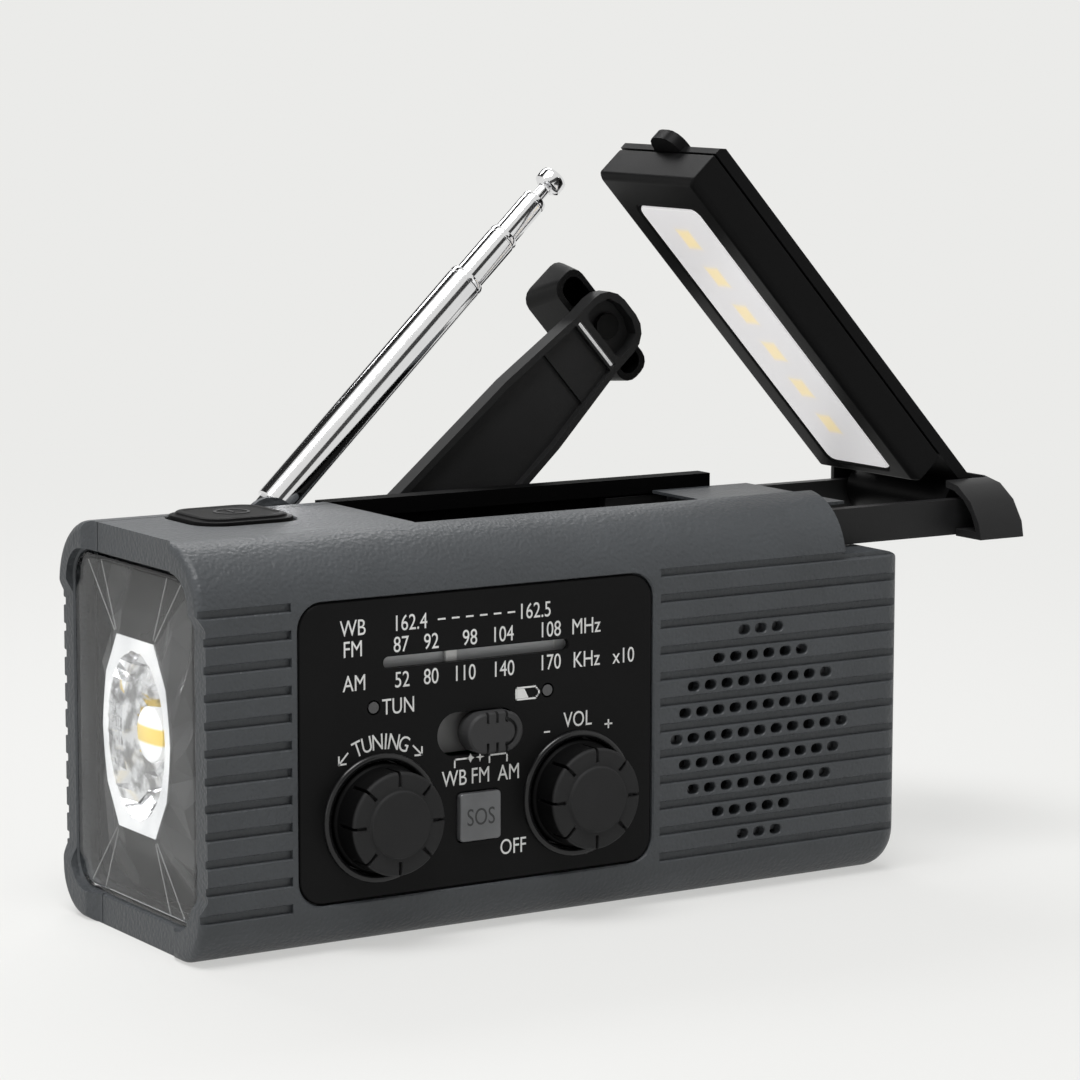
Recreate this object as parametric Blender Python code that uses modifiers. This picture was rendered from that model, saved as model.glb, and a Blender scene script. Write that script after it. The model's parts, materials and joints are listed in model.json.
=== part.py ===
"""Hand crank weather radio with a torch head, a slide-out reading lamp and a telescopic antenna.

The radio rests on z = 0 with the centre of its casing's footprint at the origin. +X runs towards the
slide of the reading lamp, -Y is the dial side, where the user sits, and +Z is up. All lengths are metres.
Each object in the collection hand_crank_weather_radio is one physical piece or one set of like pieces.
"""
import math

import bmesh
import bpy
from mathutils import Matrix, Vector

# Fits and small rules that many pieces share
GAP = 0.0003                  # clearance between pieces that touch or slide
OVERRUN = 0.002               # how far a cutter runs past the face it opens
WELD = 0.000002               # points closer than this are one point
SHY = 0.00001                 # how far a joined form stays inside the face it would share
EDGE_ANGLE = math.radians(30)
SMOOTH_ANGLE = math.radians(35)
FINE_SIDES = 24
ROUND_SIDES = 16
SMALL_SIDES = 12
CORNER_STEPS = 4
EDGE_STEPS = 2

# Casing
BODY_LENGTH = 0.156
BODY_DEPTH = 0.058
BODY_HEIGHT = 0.076
TOP_RADIUS = 0.013
BOTTOM_RADIUS = 0.009
WALL = 0.0022
REAR_DEPTH = 0.015            # from the back to where the two shells meet
RIGHT_END_ROUND = 0.0045
LEFT_END_ROUND = 0.0016
LEFT = -BODY_LENGTH / 2
RIGHT = BODY_LENGTH / 2
FRONT = -BODY_DEPTH / 2
BACK = BODY_DEPTH / 2
INNER_FRONT = FRONT + WALL
INNER_BACK = BACK - WALL
PARTING_Y = BACK - REAR_DEPTH

# Ribbed bands of the casing
RIB_PITCH = 0.005
RIB_COUNT = 12
RIB_LOWEST_Z = 0.0093
GROOVE_HEIGHT = 0.0015
GROOVE_DEPTH = 0.0009
GROOVE_RIGHT_MARGIN = 0.0017

# Bumpers of the torch end
BUMPER_STEP = 0.0014
BUMPER_SLOPE = 0.0026
BUMPER_TOP_DROP = 0.0146
BUMPER_TOP_Z = BODY_HEIGHT - BUMPER_TOP_DROP
BUMPER_BOTTOM_Z = 0.0126
BUMPER_HALF_GAP = 0.0156

# Window of the torch
WINDOW_DEPTH_Y = 0.041
WINDOW_FRAME = 0.0115
WINDOW_HEIGHT = BODY_HEIGHT - WINDOW_FRAME
WINDOW_CENTRE_Z = BODY_HEIGHT / 2
WINDOW_RADIUS = 0.006
END_WALL = 0.0042             # from the bumpers to the inside of the torch end

# Shoulder that the lamp's end cap slides onto
STEP_LENGTH = 0.0144
UPPER_END_X = RIGHT - STEP_LENGTH
SHOULDER_DROP = 0.0115
SHOULDER_Z = BODY_HEIGHT - SHOULDER_DROP

# Dial panel
PANEL_LEFT = -0.0581
PANEL_RIGHT = 0.0185
GROOVE_LEFT_STOP = 0.0013
GROOVE_RIGHT_STOP = 0.0016
GROOVE_LEFT_END = PANEL_LEFT - GROOVE_LEFT_STOP
GROOVE_RIGHT_START = PANEL_RIGHT + GROOVE_RIGHT_STOP
PANEL_BOTTOM = 0.0090
PANEL_TOP = 0.0648
PANEL_RADIUS = 0.005
PANEL_POCKET = 0.0018
PANEL_LEDGE = 0.0020

# Tuning scale and its pointer
SCALE_Z = 0.0525
SCALE_LEFT = -0.0404
SCALE_RIGHT = -0.0004
SCALE_HEIGHT = 0.0022
SCALE_STRIP_THICKNESS = 0.0008
SCALE_STRIP_MARGIN = 0.0008
STRIP_FOOT = 0.0016
POINTER_X = -0.0250
POINTER_WIDTH = 0.0024
POINTER_BLADE = 0.0008

# Knobs
TUNING_X = -0.0410
VOLUME_X = 0.0015
KNOB_Z = 0.0240
KNOB_RADIUS = 0.0096
KNOB_SKIRT_RADIUS = 0.0102
KNOB_DISC_RADIUS = 0.0062
KNOB_PROUD = 0.0068
KNOB_FACE_Y = FRONT - KNOB_PROUD
KNOB_DISC_PROUD = 0.0007
KNOB_SKIRT_DROP = 0.0006
KNOB_SKIRT_Y = FRONT + KNOB_SKIRT_DROP
KNOB_EDGE = 0.0006
KNOB_SLITS = 8
KNOB_SLIT_WIDTH = 0.0011
KNOB_SLIT_DEPTH = 0.0016
DISH_RADIUS = 0.0106
DISH_WALL = 0.0010
DISH_SINK = 0.0036
DISH_FLOOR_Y = FRONT + DISH_SINK
DISH_FLOOR = 0.0009
RING_RADIUS = 0.0120
RING_PROUD = 0.0009
SHAFT_RADIUS = 0.0028
KNOB_BORE_DEPTH = 0.0065

# Dial cord and its drum
DRUM_RADIUS = 0.0080
DRUM_THICKNESS = 0.0026
DRUM_SETBACK = 0.0054
DRUM_FRONT_Y = FRONT + DRUM_SETBACK
CORD_RADIUS = 0.0003
GUIDE_RADIUS = 0.0015
GUIDE_TOP_Z = 0.0483
GUIDE_RIGHT_X = 0.0030
GUIDE_SETBACK = 0.0048
GUIDE_FRONT_Y = FRONT + GUIDE_SETBACK
POINTER_SETBACK = 0.0019
POINTER_PLATE_Y = FRONT + POINTER_SETBACK
POINTER_ARM = 0.0014
GUIDE_HEAD_RADIUS = 0.0019
GUIDE_HEAD = 0.0006
STRIP_SETBACK = 0.0030
STRIP_FRONT_Y = FRONT + STRIP_SETBACK

# Band switch
SLOT_LEFT = -0.0290
SLOT_RIGHT = -0.0115
SLOT_HEIGHT = 0.0083
SWITCH_Z = 0.0378
CAP_LENGTH = 0.0120
CAP_HEIGHT = 0.0077
CAP_PROUD = 0.0022
CAP_FRONT_Y = FRONT - CAP_PROUD
CAP_NOTCH = 0.0007
CAP_NOTCH_PITCH = 0.0030
CAP_STEM = 0.0036
SWITCH_LENGTH = 0.0195
SWITCH_HEIGHT = 0.0080
SWITCH_SETBACK = 0.0040
SWITCH_FRONT_Y = FRONT + SWITCH_SETBACK

# Signal button
SOS_X = -0.0202
SOS_Z = 0.0221
SOS_WIDTH = 0.0089
SOS_HEIGHT = 0.0091
SOS_PROUD = 0.0010
SOS_FLANGE = 0.0009
BUTTON_CORNER = 0.0008
TACT_SIZE = 0.0060
TACT_STROKE = 0.0011

# Indicator lights
LIGHT_RADIUS = 0.0011
TUNED_LIGHT = (-0.0424, 0.0445)
CHARGE_LIGHT = (-0.0051, 0.0442)
LIGHT_LENGTH = 0.0040

# Main board
BOARD_SETBACK = 0.0110
BOARD_FRONT_Y = FRONT + BOARD_SETBACK
BOARD_THICKNESS = 0.0016
BOARD_LEFT = -0.0612
BOARD_RIGHT = 0.0218
BOARD_BOTTOM = 0.0106
BOARD_TOP = 0.0588
BOARD_SCREWS = ((-0.0587, 0.0140), (0.0193, 0.0540))
BOARD_PINS = ((-0.0587, 0.0520), (0.0193, 0.0140))
BOARD_POST_RADIUS = 0.0024
CAPACITOR_SIZE = 0.0200
CAPACITOR_DEPTH = 0.0078
POT_RADIUS = 0.0080
POT_DEPTH = 0.0070
CHIP_PLACES = ((0.0105, 0.0385, 0.009, 0.008), (-0.0440, 0.0360, 0.007, 0.006),
               (-0.0150, 0.0550, 0.012, 0.0045))
CHIP_THICKNESS = 0.0016

# Speaker and its holes
SPEAKER_X = 0.0435
HOLE_PITCH = 0.0039
HOLE_WIDTH = 0.0027
HOLE_HEIGHT = 0.0019
HOLE_ROW_COUNTS = (3, 6, 9, 10, 11, 10, 9, 5, 3)
SHORT_ROW = 7                 # this row keeps the left end of a row one hole longer
SPEAKER_RADIUS = 0.0212
SPEAKER_RIM = 0.0014
SPEAKER_DEPTH = 0.0100
MAGNET_RADIUS = 0.0130
MAGNET_DEPTH = 0.0076
BASKET_WALL = 0.0010
CONE_NECK_SHARE = 0.5         # of the magnet's radius
CONE_DEPTH_SHARE = 0.62       # of the speaker's depth
CONE_DOME_SHARES = (0.50, 0.58)

# Screws and their posts
SCREW_RADIUS = 0.0015
SCREW_HEAD_RADIUS = 0.0027
SCREW_HEAD = 0.0017
SCREW_LENGTH = 0.0180
SCREW_DRIVE = 0.0026
SCREW_DRIVE_WIDTH = 0.0006
SCREW_DRIVE_DEPTH = 0.0008
POST_RADIUS = 0.0034
HEAD_SINK = 0.0070
HEAD_FLOOR_Y = BACK - HEAD_SINK
CASE_POSTS = ((-0.0580, 0.0068), (-0.0600, 0.0626), (0.0700, 0.0075), (0.0700, 0.0560))
SMALL_SCREW_RADIUS = 0.0010
SMALL_SCREW_HEAD_RADIUS = 0.0019
SMALL_SCREW_HEAD = 0.0012
SMALL_SCREW_LENGTH = 0.0060

# Torch
LENS_THICKNESS = 0.0010
LENS_SETBACK = 0.0017
LENS_FRONT_X = LEFT + LENS_SETBACK
LENS_FLANGE = 0.0016
LENS_FLANGE_THICKNESS = 0.0012
SURROUND_FLANGE = 0.0012
SURROUND_REACH = 0.0140
SURROUND_BACK_X = LEFT + SURROUND_REACH
SURROUND_WALL = 0.0014
SURROUND_FLOOR_REACH = 0.0120
SURROUND_FLOOR_X = LEFT + SURROUND_FLOOR_REACH
BOSS_SETBACK = 0.0041
BOSS_TOP_X = LEFT + BOSS_SETBACK
REFLECTOR_RIM = 0.0008
REFLECTOR_SETBACK = 0.0030
REFLECTOR_FRONT_X = LEFT + REFLECTOR_SETBACK
LOZENGE_HALF_HEIGHT = 0.0180
LOZENGE_HALF_WIDTH = 0.0135
LOZENGE_TOP_SHARE = 0.545
LOZENGE_WAIST_SHARES = (0.88, 0.58)
BOWL_RADIUS = 0.0156
BOWL_WIDTH_SHARE = 0.78
BOWL_DEPTH = 0.0135
BOWL_WALL = 0.0008
BOWL_BASE_RADIUS = 0.0055
BOWL_STEPS = 7
TORCH_BOARD_RADIUS = 0.0105
TORCH_BOARD_THICKNESS = 0.0014
LED_DOME_RADIUS = 0.0036
LED_DOME_HEIGHT = 0.0052

# Torch button on the top
KEY_X = -0.0530
KEY_Y = 0.0060
KEY_LENGTH = 0.0210
KEY_DEPTH = 0.0200
KEY_RADIUS = 0.0058
KEY_PROUD = 0.0012
KEY_FLANGE = 0.0009
KEY_FLANGE_WIDTH = 0.0006
KEY_BOARD_DROP = 0.0086
KEY_BOARD_TOP_Z = BODY_HEIGHT - KEY_BOARD_DROP
KEY_BOARD_THICKNESS = 0.0010
KEY_BOARD_LENGTH = 0.0190
KEY_BOARD_DEPTH = 0.0210
KEY_PIN_RADIUS = 0.0010
KEY_PIN_LENGTH = 0.0013
KEY_POST_Y = -0.0084
KEY_POST_SPACING = 0.0130

# Lamp bay in the top
BAY_LEFT = -0.0268
LAMP_HALF_WIDTH = 0.0165
LEAF_HALF_WIDTH = LAMP_HALF_WIDTH + GAP
BAY_HALF_WIDTH = LEAF_HALF_WIDTH + GAP
RAIL_ROOM = 0.0006             # from the bay's edge to a rail
RAIL_INNER_Y = BAY_HALF_WIDTH + RAIL_ROOM
TRAY_HALF_WIDTH = 0.0216
TRAY_WALL = 0.0010
TRAY_FLOOR_DROP = 0.0116
TRAY_FLOOR_Z = BODY_HEIGHT - TRAY_FLOOR_DROP
TRAY_FLOOR = 0.0014
TRAY_ROOF_DROP = 0.0034
TRAY_ROOF_Z = BODY_HEIGHT - TRAY_ROOF_DROP
TRAY_ROOF = 0.0009
TRAY_TOP_DROP = 0.0002
TRAY_TOP_Z = BODY_HEIGHT - TRAY_TOP_DROP
TRAY_END_WALL = 0.0013
BAY_END_ROOM = 0.0004

# Slide of the lamp
RAIL_THICKNESS = 0.0026
RAIL_BOTTOM_DROP = 0.0110
RAIL_BOTTOM_Z = BODY_HEIGHT - RAIL_BOTTOM_DROP
RAIL_TOP_DROP = 0.0038
RAIL_TOP_Z = BODY_HEIGHT - RAIL_TOP_DROP
RAIL_REACH = 0.0400
RAIL_LEFT_X = RIGHT - RAIL_REACH
CAP_START = 0.0193
CAP_LEFT_X = RIGHT + CAP_START
CAP_REACH = 0.0306
CAP_RIGHT_X = RIGHT + CAP_REACH
CAP_WALL = 0.0015
CAP_END_WALL = 0.0009
CAP_ROUND = 0.0040
CAP_FLOOR_DROP = 0.0112
CAP_FLOOR_Z = BODY_HEIGHT - CAP_FLOOR_DROP
LEAF_START = 0.0292
LEAF_LEFT_X = RIGHT - LEAF_START
LEAF_END = 0.0059
LEAF_RIGHT_X = RIGHT - LEAF_END
LEAF_DROP = 0.0028
LEAF_TOP_Z = BODY_HEIGHT - LEAF_DROP
LEAF_THICKNESS = 0.0006
LEAF_HOOK = (0.0040, 0.0012)

# Reading lamp, drawn folded down and then raised about its hinge
LAMP_HINGE_REACH = 0.0245
LAMP_HINGE_X = RIGHT + LAMP_HINGE_REACH
LAMP_HINGE_DROP = 0.0056
LAMP_HINGE_Z = BODY_HEIGHT - LAMP_HINGE_DROP
LAMP_ANGLE = math.radians(47.8)
LAMP_LENGTH = 0.0950
LAMP_FACE_DROP = 0.00545
BARREL_RADIUS = 0.0049
COVER_THICKNESS = 0.0024
HOUSING_START = 0.0115        # from the hinge axis to the thick part
LAMP_PIN_RADIUS = 0.0011
TAB_WIDTH = 0.0090
TAB_LENGTH = 0.0034
DIFFUSER_START = 0.0146
DIFFUSER_END = 0.0868
DIFFUSER_HALF_WIDTH = 0.0103
DIFFUSER_RADIUS = 0.0016
DIFFUSER_THICKNESS = 0.0012
POCKET_DEPTH = 0.0056
STRIP_THICKNESS = 0.0010
STRIP_HALF_WIDTH = 0.0060
LED_COUNT = 6
LED_FIRST = 0.0266
LED_PITCH = 0.01038
LED_SIZE = 0.0035
LED_THICKNESS = 0.0008
SOLAR_START = 0.0100
SOLAR_END = 0.0900
SOLAR_HALF_WIDTH = 0.0138
SOLAR_THICKNESS = 0.0005
HOUSING_EDGE = 0.0010

# Antenna, drawn lying along +X and then raised about its pivot
ANTENNA_X = -0.0370
ANTENNA_INSET = 0.0030
ANTENNA_Y = BACK - ANTENNA_INSET
ANTENNA_DROP = 0.0047
ANTENNA_Z = BODY_HEIGHT - ANTENNA_DROP
ANTENNA_ANGLE = math.radians(43.8)
MAST_RADIUS = 0.0038
MAST_END = 0.0660
MAST_START = 0.0050
MAST_BORE_START = 0.0135
TONGUE_RADIUS = 0.0028
ANTENNA_FIT = 0.00015
SECOND_RADIUS = 0.0031
SECOND_OUT = 0.0120
THIRD_RADIUS = 0.0026
THIRD_OUT = 0.0100
TIP_ROD_RADIUS = 0.0013
TIP_OUT = 0.0065
TIP_RADIUS = 0.0029
TIP_LENGTH = 0.0032
TIP_EDGE_SHARE = 0.25
SECTION_LENGTH = 0.0520
REST_DEPTH = 0.0073
GROOVE_Y = BACK - REST_DEPTH
REST_DROP = 0.0088
GROOVE_Z = BODY_HEIGHT - REST_DROP
GROOVE_START_X = -0.0470
GROOVE_WALL = 0.0022
EAR_RADIUS = 0.0059
EAR_THICKNESS = 0.0013
TONGUE_THICKNESS = 0.0026
BRACKET_EAR = 0.0014
BRACKET_RADIUS = 0.0036
ANTENNA_PIN_RADIUS = 0.0011

# Crank
HUB_X = -0.0160
HUB_Z = 0.0485
CRANK_ANGLE = math.radians(41.6)
CRANK_STANDOFF = 0.0015
CRANK_FRONT_Y = BACK + CRANK_STANDOFF
CRANK_THICKNESS = 0.0040
HUB_RADIUS = 0.0110
ARM_WIDTHS = ((0.0, 0.0110), (0.027, 0.0104), (0.060, 0.0096), (0.081, 0.0076), (0.0860, 0.0076))
CRANK_TIP_HALF = 0.0076
CRANK_TIP = 0.0915
CRANK_TIP_RADIUS = 0.0055
CRANK_RIM = 0.0014
FACE_START = 0.0135
FACE_STEP = 0.0705
FACE_END = 0.0794
FACE_DEPTH = 0.0019
PLATE_DEPTH = 0.0012
SLOT_START = 0.0800
SLOT_WIDTH = 0.0010
CUP_START = 0.0824
CUP_DEPTH = 0.0032
CRANK_SHAFT_RADIUS = 0.0030
CRANK_SHAFT_REACH = 0.0184
CRANK_SHAFT_START_Y = BACK - CRANK_SHAFT_REACH
HUB_CAP_RADIUS = 0.0080
HUB_CAP = 0.0014
BOSS_RADIUS = 0.0090
BOSS_PROUD = 0.0012
GRIP_CENTRE = 0.0857
GRIP_FRONT = (0.0074, 0.0282)
GRIP_BACK = (0.0126, 0.0256)
GRIP_DEPTH = 0.0115
GRIP_WALL = 0.0013
GRIP_FLOOR = 0.0016
GRIP_CORNER = 0.0030
GRIP_PIN_RADIUS = 0.0018
GRIP_PIN_HEAD = 0.0028
GRIP_PIN_HEAD_THICKNESS = 0.0011

# Gear train and generator
GEAR_MODULE = 0.00095
GEAR_SLACK = 0.00015          # extra centre distance
TOOTH_SHARE = 0.40            # tooth thickness as a share of the circular pitch
TIP_SHARE = 0.22
ROOT_DEPTH_SHARE = 1.2        # from the pitch circle to the root, as a share of the module
IDLER_HUB_SHARE = 0.6         # of its pinion's pitch radius
ROOT_SHARE = 0.56
CRANK_TEETH = 26
IDLER_PINION_TEETH = 10
IDLER_WHEEL_TEETH = 22
ROTOR_TEETH = 8
GEAR_WIDTH = 0.0030
CRANK_GEAR_SETBACK = 0.0100
CRANK_GEAR_Y = BACK - CRANK_GEAR_SETBACK
IDLER_SETBACK = 0.0140
IDLER_WHEEL_Y = BACK - IDLER_SETBACK
ROTOR_X = 0.0120
ROTOR_Z = 0.0400
AXLE_RADIUS = 0.0015
ROTOR_SHAFT_RADIUS = 0.0011
GENERATOR_RADIUS = 0.0120
GENERATOR_LENGTH = 0.0165
GEAR_PLATE_SETBACK = 0.0180
PLATE_FRONT_Y = BACK - GEAR_PLATE_SETBACK
GEAR_PLATE = 0.0016
GEAR_PLATE_SCREWS = ((-0.0288, 0.0305), (0.0225, 0.0587))
GEAR_PLATE_PINS = ((0.0225, 0.0305), (-0.0288, 0.0587))
GEAR_POST_RADIUS = 0.0025
GEAR_PLATE_MARGIN = 0.0032

# Battery
CELL_RADIUS = 0.0092
CELL_LENGTH = 0.0650
CELL_X = 0.0025
CELL_Y = 0.0030
CELL_Z = 0.0145
HOLDER_WALL = 0.0016
HOLDER_HEIGHT = 0.0110
CELL_NUB_RADIUS = 0.0028
CELL_NUB = 0.0009

# Ferrite rod and its clips
ROD_RADIUS = 0.0040
ROD_LEFT = -0.0520
ROD_RIGHT = 0.0100
ROD_Y = -0.0085
ROD_Z = 0.0565
CLIP_WIDTH = 0.0040
CLIP_SHARES = (0.16, 0.84)
COIL_RADIUS = 0.0050
COIL_SHARES = (0.30, 0.62)

# Charging sockets and their rubber flap at the right end
FLAP_BOTTOM = 0.0121
FLAP_TOP = 0.0385
FLAP_FRONT_Y = -0.0026
FLAP_BACK_Y = 0.0106
FLAP_THICKNESS = 0.0014
FLAP_RECESS = 0.0018
FLAP_SIDE_ROOM = 0.0005
SOCKET_BOARD_Y = 0.0075
SOCKET_BOARD_THICKNESS = 0.0012
SOCKET_BOARD_LEFT = 0.0580
SOCKET_BOARD_BOTTOM = 0.0130
SOCKET_BOARD_TOP = 0.0370
SOCKET_SETBACK = 0.0020
SOCKET_FRONT_X = RIGHT - SOCKET_SETBACK
USB_WIDTH = 0.0130
USB_HEIGHT = 0.0063
USB_DEPTH = 0.0120
USB_CENTRE_Z = 0.0300
USB_SHEET = 0.0006
MICRO_WIDTH = 0.0075
MICRO_HEIGHT = 0.0030
MICRO_DEPTH = 0.0060
MICRO_CENTRE_Z = 0.0180
SOCKET_PINS = ((0.0610, 0.0160), (0.0610, 0.0340))

PARTS = None
CUTTERS = None
placement = {}


def clear_scene():
    """Empty file: no objects, and one collection for the radio and one for what only shapes it."""
    global PARTS, CUTTERS
    for old in list(bpy.data.objects):
        bpy.data.objects.remove(old)
    PARTS = bpy.data.collections.new("hand_crank_weather_radio")
    CUTTERS = bpy.data.collections.new("cutters")
    for group in (PARTS, CUTTERS):
        bpy.context.scene.collection.children.link(group)


def material(name, colour, roughness, metallic):
    """A Principled material of the piece's own colour."""
    made = bpy.data.materials.new(name)
    made.use_nodes = True
    shader = made.node_tree.nodes["Principled BSDF"]
    shader.inputs["Base Color"].default_value = (*colour, 1.0)
    shader.inputs["Roughness"].default_value = roughness
    shader.inputs["Metallic"].default_value = metallic
    return made


# Finishes: base colour, roughness and metallic value
SHELL_GREY = ((0.085, 0.095, 0.105), 0.55, 0.0)
GLOSS_BLACK = ((0.012, 0.012, 0.013), 0.30, 0.0)
SATIN_BLACK = ((0.020, 0.020, 0.022), 0.45, 0.0)
RUBBER_BLACK = ((0.025, 0.025, 0.027), 0.80, 0.0)
MID_GREY = ((0.22, 0.23, 0.24), 0.50, 0.0)
WHITE = ((0.85, 0.85, 0.83), 0.40, 0.0)
CHROME = ((0.80, 0.80, 0.82), 0.10, 1.0)
STEEL = ((0.52, 0.53, 0.55), 0.35, 1.0)
BRASS = ((0.72, 0.56, 0.28), 0.35, 1.0)
FERRITE = ((0.05, 0.045, 0.045), 0.70, 0.0)
NYLON = ((0.80, 0.78, 0.72), 0.50, 0.0)
BOARD_GREEN = ((0.03, 0.18, 0.07), 0.50, 0.0)
SMOKED_CLEAR = ((0.16, 0.17, 0.18), 0.05, 0.0)
MILKY = ((0.86, 0.86, 0.84), 0.45, 0.0)
WARM_LED = ((0.95, 0.80, 0.45), 0.35, 0.0)
CELL_BLUE = ((0.06, 0.20, 0.42), 0.40, 0.0)
SOLAR_BLUE = ((0.015, 0.025, 0.06), 0.20, 0.0)
PAPER = ((0.10, 0.10, 0.10), 0.85, 0.0)


# Outlines in two dimensions

def arc(centre, radius, start, end, steps):
    """Points along an arc, both ends included, with angles in quarter turns."""
    points = []
    for i in range(steps + 1):
        angle = (start + (end - start) * i / steps) * math.pi / 2
        points.append((centre[0] + radius * math.cos(angle), centre[1] + radius * math.sin(angle)))
    return points


def rounded_box(low, high, radii, steps=CORNER_STEPS):
    """A rectangle with its own radius at each corner: low-low, high-low, high-high, low-high."""
    ll, hl, hh, lh = radii
    points = arc((low[0] + ll, low[1] + ll), ll, 2, 3, steps)
    points += arc((high[0] - hl, low[1] + hl), hl, 3, 4, steps)
    points += arc((high[0] - hh, high[1] - hh), hh, 0, 1, steps)
    points += arc((low[0] + lh, high[1] - lh), lh, 1, 2, steps)
    return points


def circle(centre, radius, sides):
    return [(centre[0] + radius * math.cos(math.tau * i / sides),
             centre[1] + radius * math.sin(math.tau * i / sides)) for i in range(sides)]


def rectangle(low, high):
    return [(low[0], low[1]), (high[0], low[1]), (high[0], high[1]), (low[0], high[1])]


def casing_section(inset=0.0):
    """The casing's upright section in Y and Z, drawn in by a wall."""
    top = TOP_RADIUS - inset
    bottom = BOTTOM_RADIUS - inset
    return rounded_box((FRONT + inset, inset), (BACK - inset, BODY_HEIGHT - inset),
                       (bottom, bottom, top, top))


def gear_outline(teeth, phase):
    """A spur gear: straight flanks that thin from root to tip, with play between mating teeth."""
    pitch_radius = GEAR_MODULE * teeth / 2
    pitch = math.tau / teeth
    rings = ((pitch_radius - GEAR_MODULE * ROOT_DEPTH_SHARE, ROOT_SHARE), (pitch_radius, TOOTH_SHARE),
             (pitch_radius + GEAR_MODULE, TIP_SHARE))
    points = []
    for tooth in range(teeth):
        middle = phase + pitch * tooth
        flank = [(radius, -share * pitch / 2) for radius, share in rings]
        flank += [(radius, share * pitch / 2) for radius, share in reversed(rings)]
        for radius, turn in flank:
            points.append((radius * math.cos(middle + turn), radius * math.sin(middle + turn)))
    return points


# Solid forms, gathered in a bmesh

AXES = {
    "X": Matrix(((0, 0, 1, 0), (1, 0, 0, 0), (0, 1, 0, 0), (0, 0, 0, 1))),
    "Y": Matrix(((1, 0, 0, 0), (0, 0, -1, 0), (0, 1, 0, 0), (0, 0, 0, 1))),
    "Z": Matrix.Identity(4),
}
TURNED = dict(AXES, Y=Matrix(((1, 0, 0, 0), (0, 0, 1, 0), (0, -1, 0, 0), (0, 0, 0, 1))))
ALONG = {"X": Vector((1, 0, 0)), "Y": Vector((0, 1, 0)), "Z": Vector((0, 0, 1))}


def add_mesh(bm, mesh, matrix):
    """Puts a mesh into a bmesh, turned and moved, and frees it."""
    mesh.transform(matrix)
    bm.from_mesh(mesh)
    bpy.data.meshes.remove(mesh)


def evaluated_mesh(obj, weld):
    """An object's finished mesh, its loose seams closed, with the object removed."""
    graph = bpy.context.evaluated_depsgraph_get()
    mesh = bpy.data.meshes.new_from_object(obj.evaluated_get(graph))
    bpy.data.objects.remove(obj)
    work = bmesh.new()
    work.from_mesh(mesh)
    bmesh.ops.remove_doubles(work, verts=work.verts, dist=weld)
    bmesh.ops.recalc_face_normals(work, faces=work.faces)
    work.to_mesh(mesh)
    work.free()
    return mesh


def add_prism(bm, outlines, axis, start, end):
    """A flat outline, with any holes, extruded along an axis between two places on it.

    An outline's two numbers are (y, z) on X, (x, z) on Y and (x, y) on Z.
    """
    curve = bpy.data.curves.new("outline", "CURVE")
    curve.dimensions = "2D"
    curve.fill_mode = "BOTH"
    curve.extrude = abs(end - start) / 2
    for outline in outlines:
        spline = curve.splines.new("POLY")
        spline.points.add(len(outline) - 1)
        for point, place in zip(spline.points, outline):
            point.co = (place[0], place[1], 0.0, 1.0)
        spline.use_cyclic_u = True
    obj = bpy.data.objects.new("outline", curve)
    bpy.context.scene.collection.objects.link(obj)
    bpy.context.view_layer.update()
    mesh = evaluated_mesh(obj, WELD)
    bpy.data.curves.remove(curve)
    middle = Matrix.Translation(ALONG[axis] * (start + end) / 2)
    add_mesh(bm, mesh, middle @ AXES[axis])


def add_box(bm, low, high):
    made = bmesh.ops.create_cube(bm, size=1)["verts"]
    size = Vector(high) - Vector(low)
    bmesh.ops.scale(bm, vec=size, verts=made)
    bmesh.ops.translate(bm, vec=(Vector(high) + Vector(low)) / 2, verts=made)
    return made


def add_rod(bm, start, end, radius, sides=ROUND_SIDES, end_radius=None):
    """A round bar, or a cone, from one point to another."""
    run = Vector(end) - Vector(start)
    turn = run.to_track_quat("Z", "Y").to_matrix().to_4x4()
    place = Matrix.Translation((Vector(start) + Vector(end)) / 2) @ turn
    bmesh.ops.create_cone(bm, cap_ends=True, cap_tris=False, segments=sides, radius1=radius,
                          radius2=radius if end_radius is None else end_radius, depth=run.length,
                          matrix=place)


def add_turned(bm, profile, axis, centre, sides=ROUND_SIDES, stretch=(1, 1)):
    """A turned shape: (radius, height) points revolved about a line through centre along an axis."""
    closed = min(radius for radius, height in profile) > WELD
    mesh = bpy.data.meshes.new("profile")
    edges = [(i, i + 1) for i in range(len(profile) - 1)]
    if closed:
        edges.append((len(profile) - 1, 0))
    mesh.from_pydata([(radius, 0, height) for radius, height in profile], edges, [])
    obj = bpy.data.objects.new("profile", mesh)
    bpy.context.scene.collection.objects.link(obj)
    screw = obj.modifiers.new("turn", "SCREW")
    screw.steps = sides
    screw.render_steps = sides
    screw.use_merge_vertices = True
    screw.merge_threshold = WELD
    bpy.context.view_layer.update()
    turned = evaluated_mesh(obj, WELD)
    bpy.data.meshes.remove(mesh)
    scale = Matrix.Diagonal((stretch[0], stretch[1], 1, 1))
    add_mesh(bm, turned, Matrix.Translation(centre) @ TURNED[axis] @ scale)


def add_loft(bm, sections, axis):
    """A closed form through outlines with equal counts of points, each given with its place."""
    rings = []
    for place, outline in sections:
        offset = ALONG[axis] * place
        rings.append([bm.verts.new(AXES[axis] @ Vector((a, b, 0)) + offset) for a, b in outline])
    count = len(rings[0])
    for lower, upper in zip(rings, rings[1:]):
        for i in range(count):
            j = (i + 1) % count
            bm.faces.new((lower[i], lower[j], upper[j], upper[i]))
    bm.faces.new(rings[0])
    bm.faces.new(rings[-1])


def new_form():
    return bmesh.new()


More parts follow.
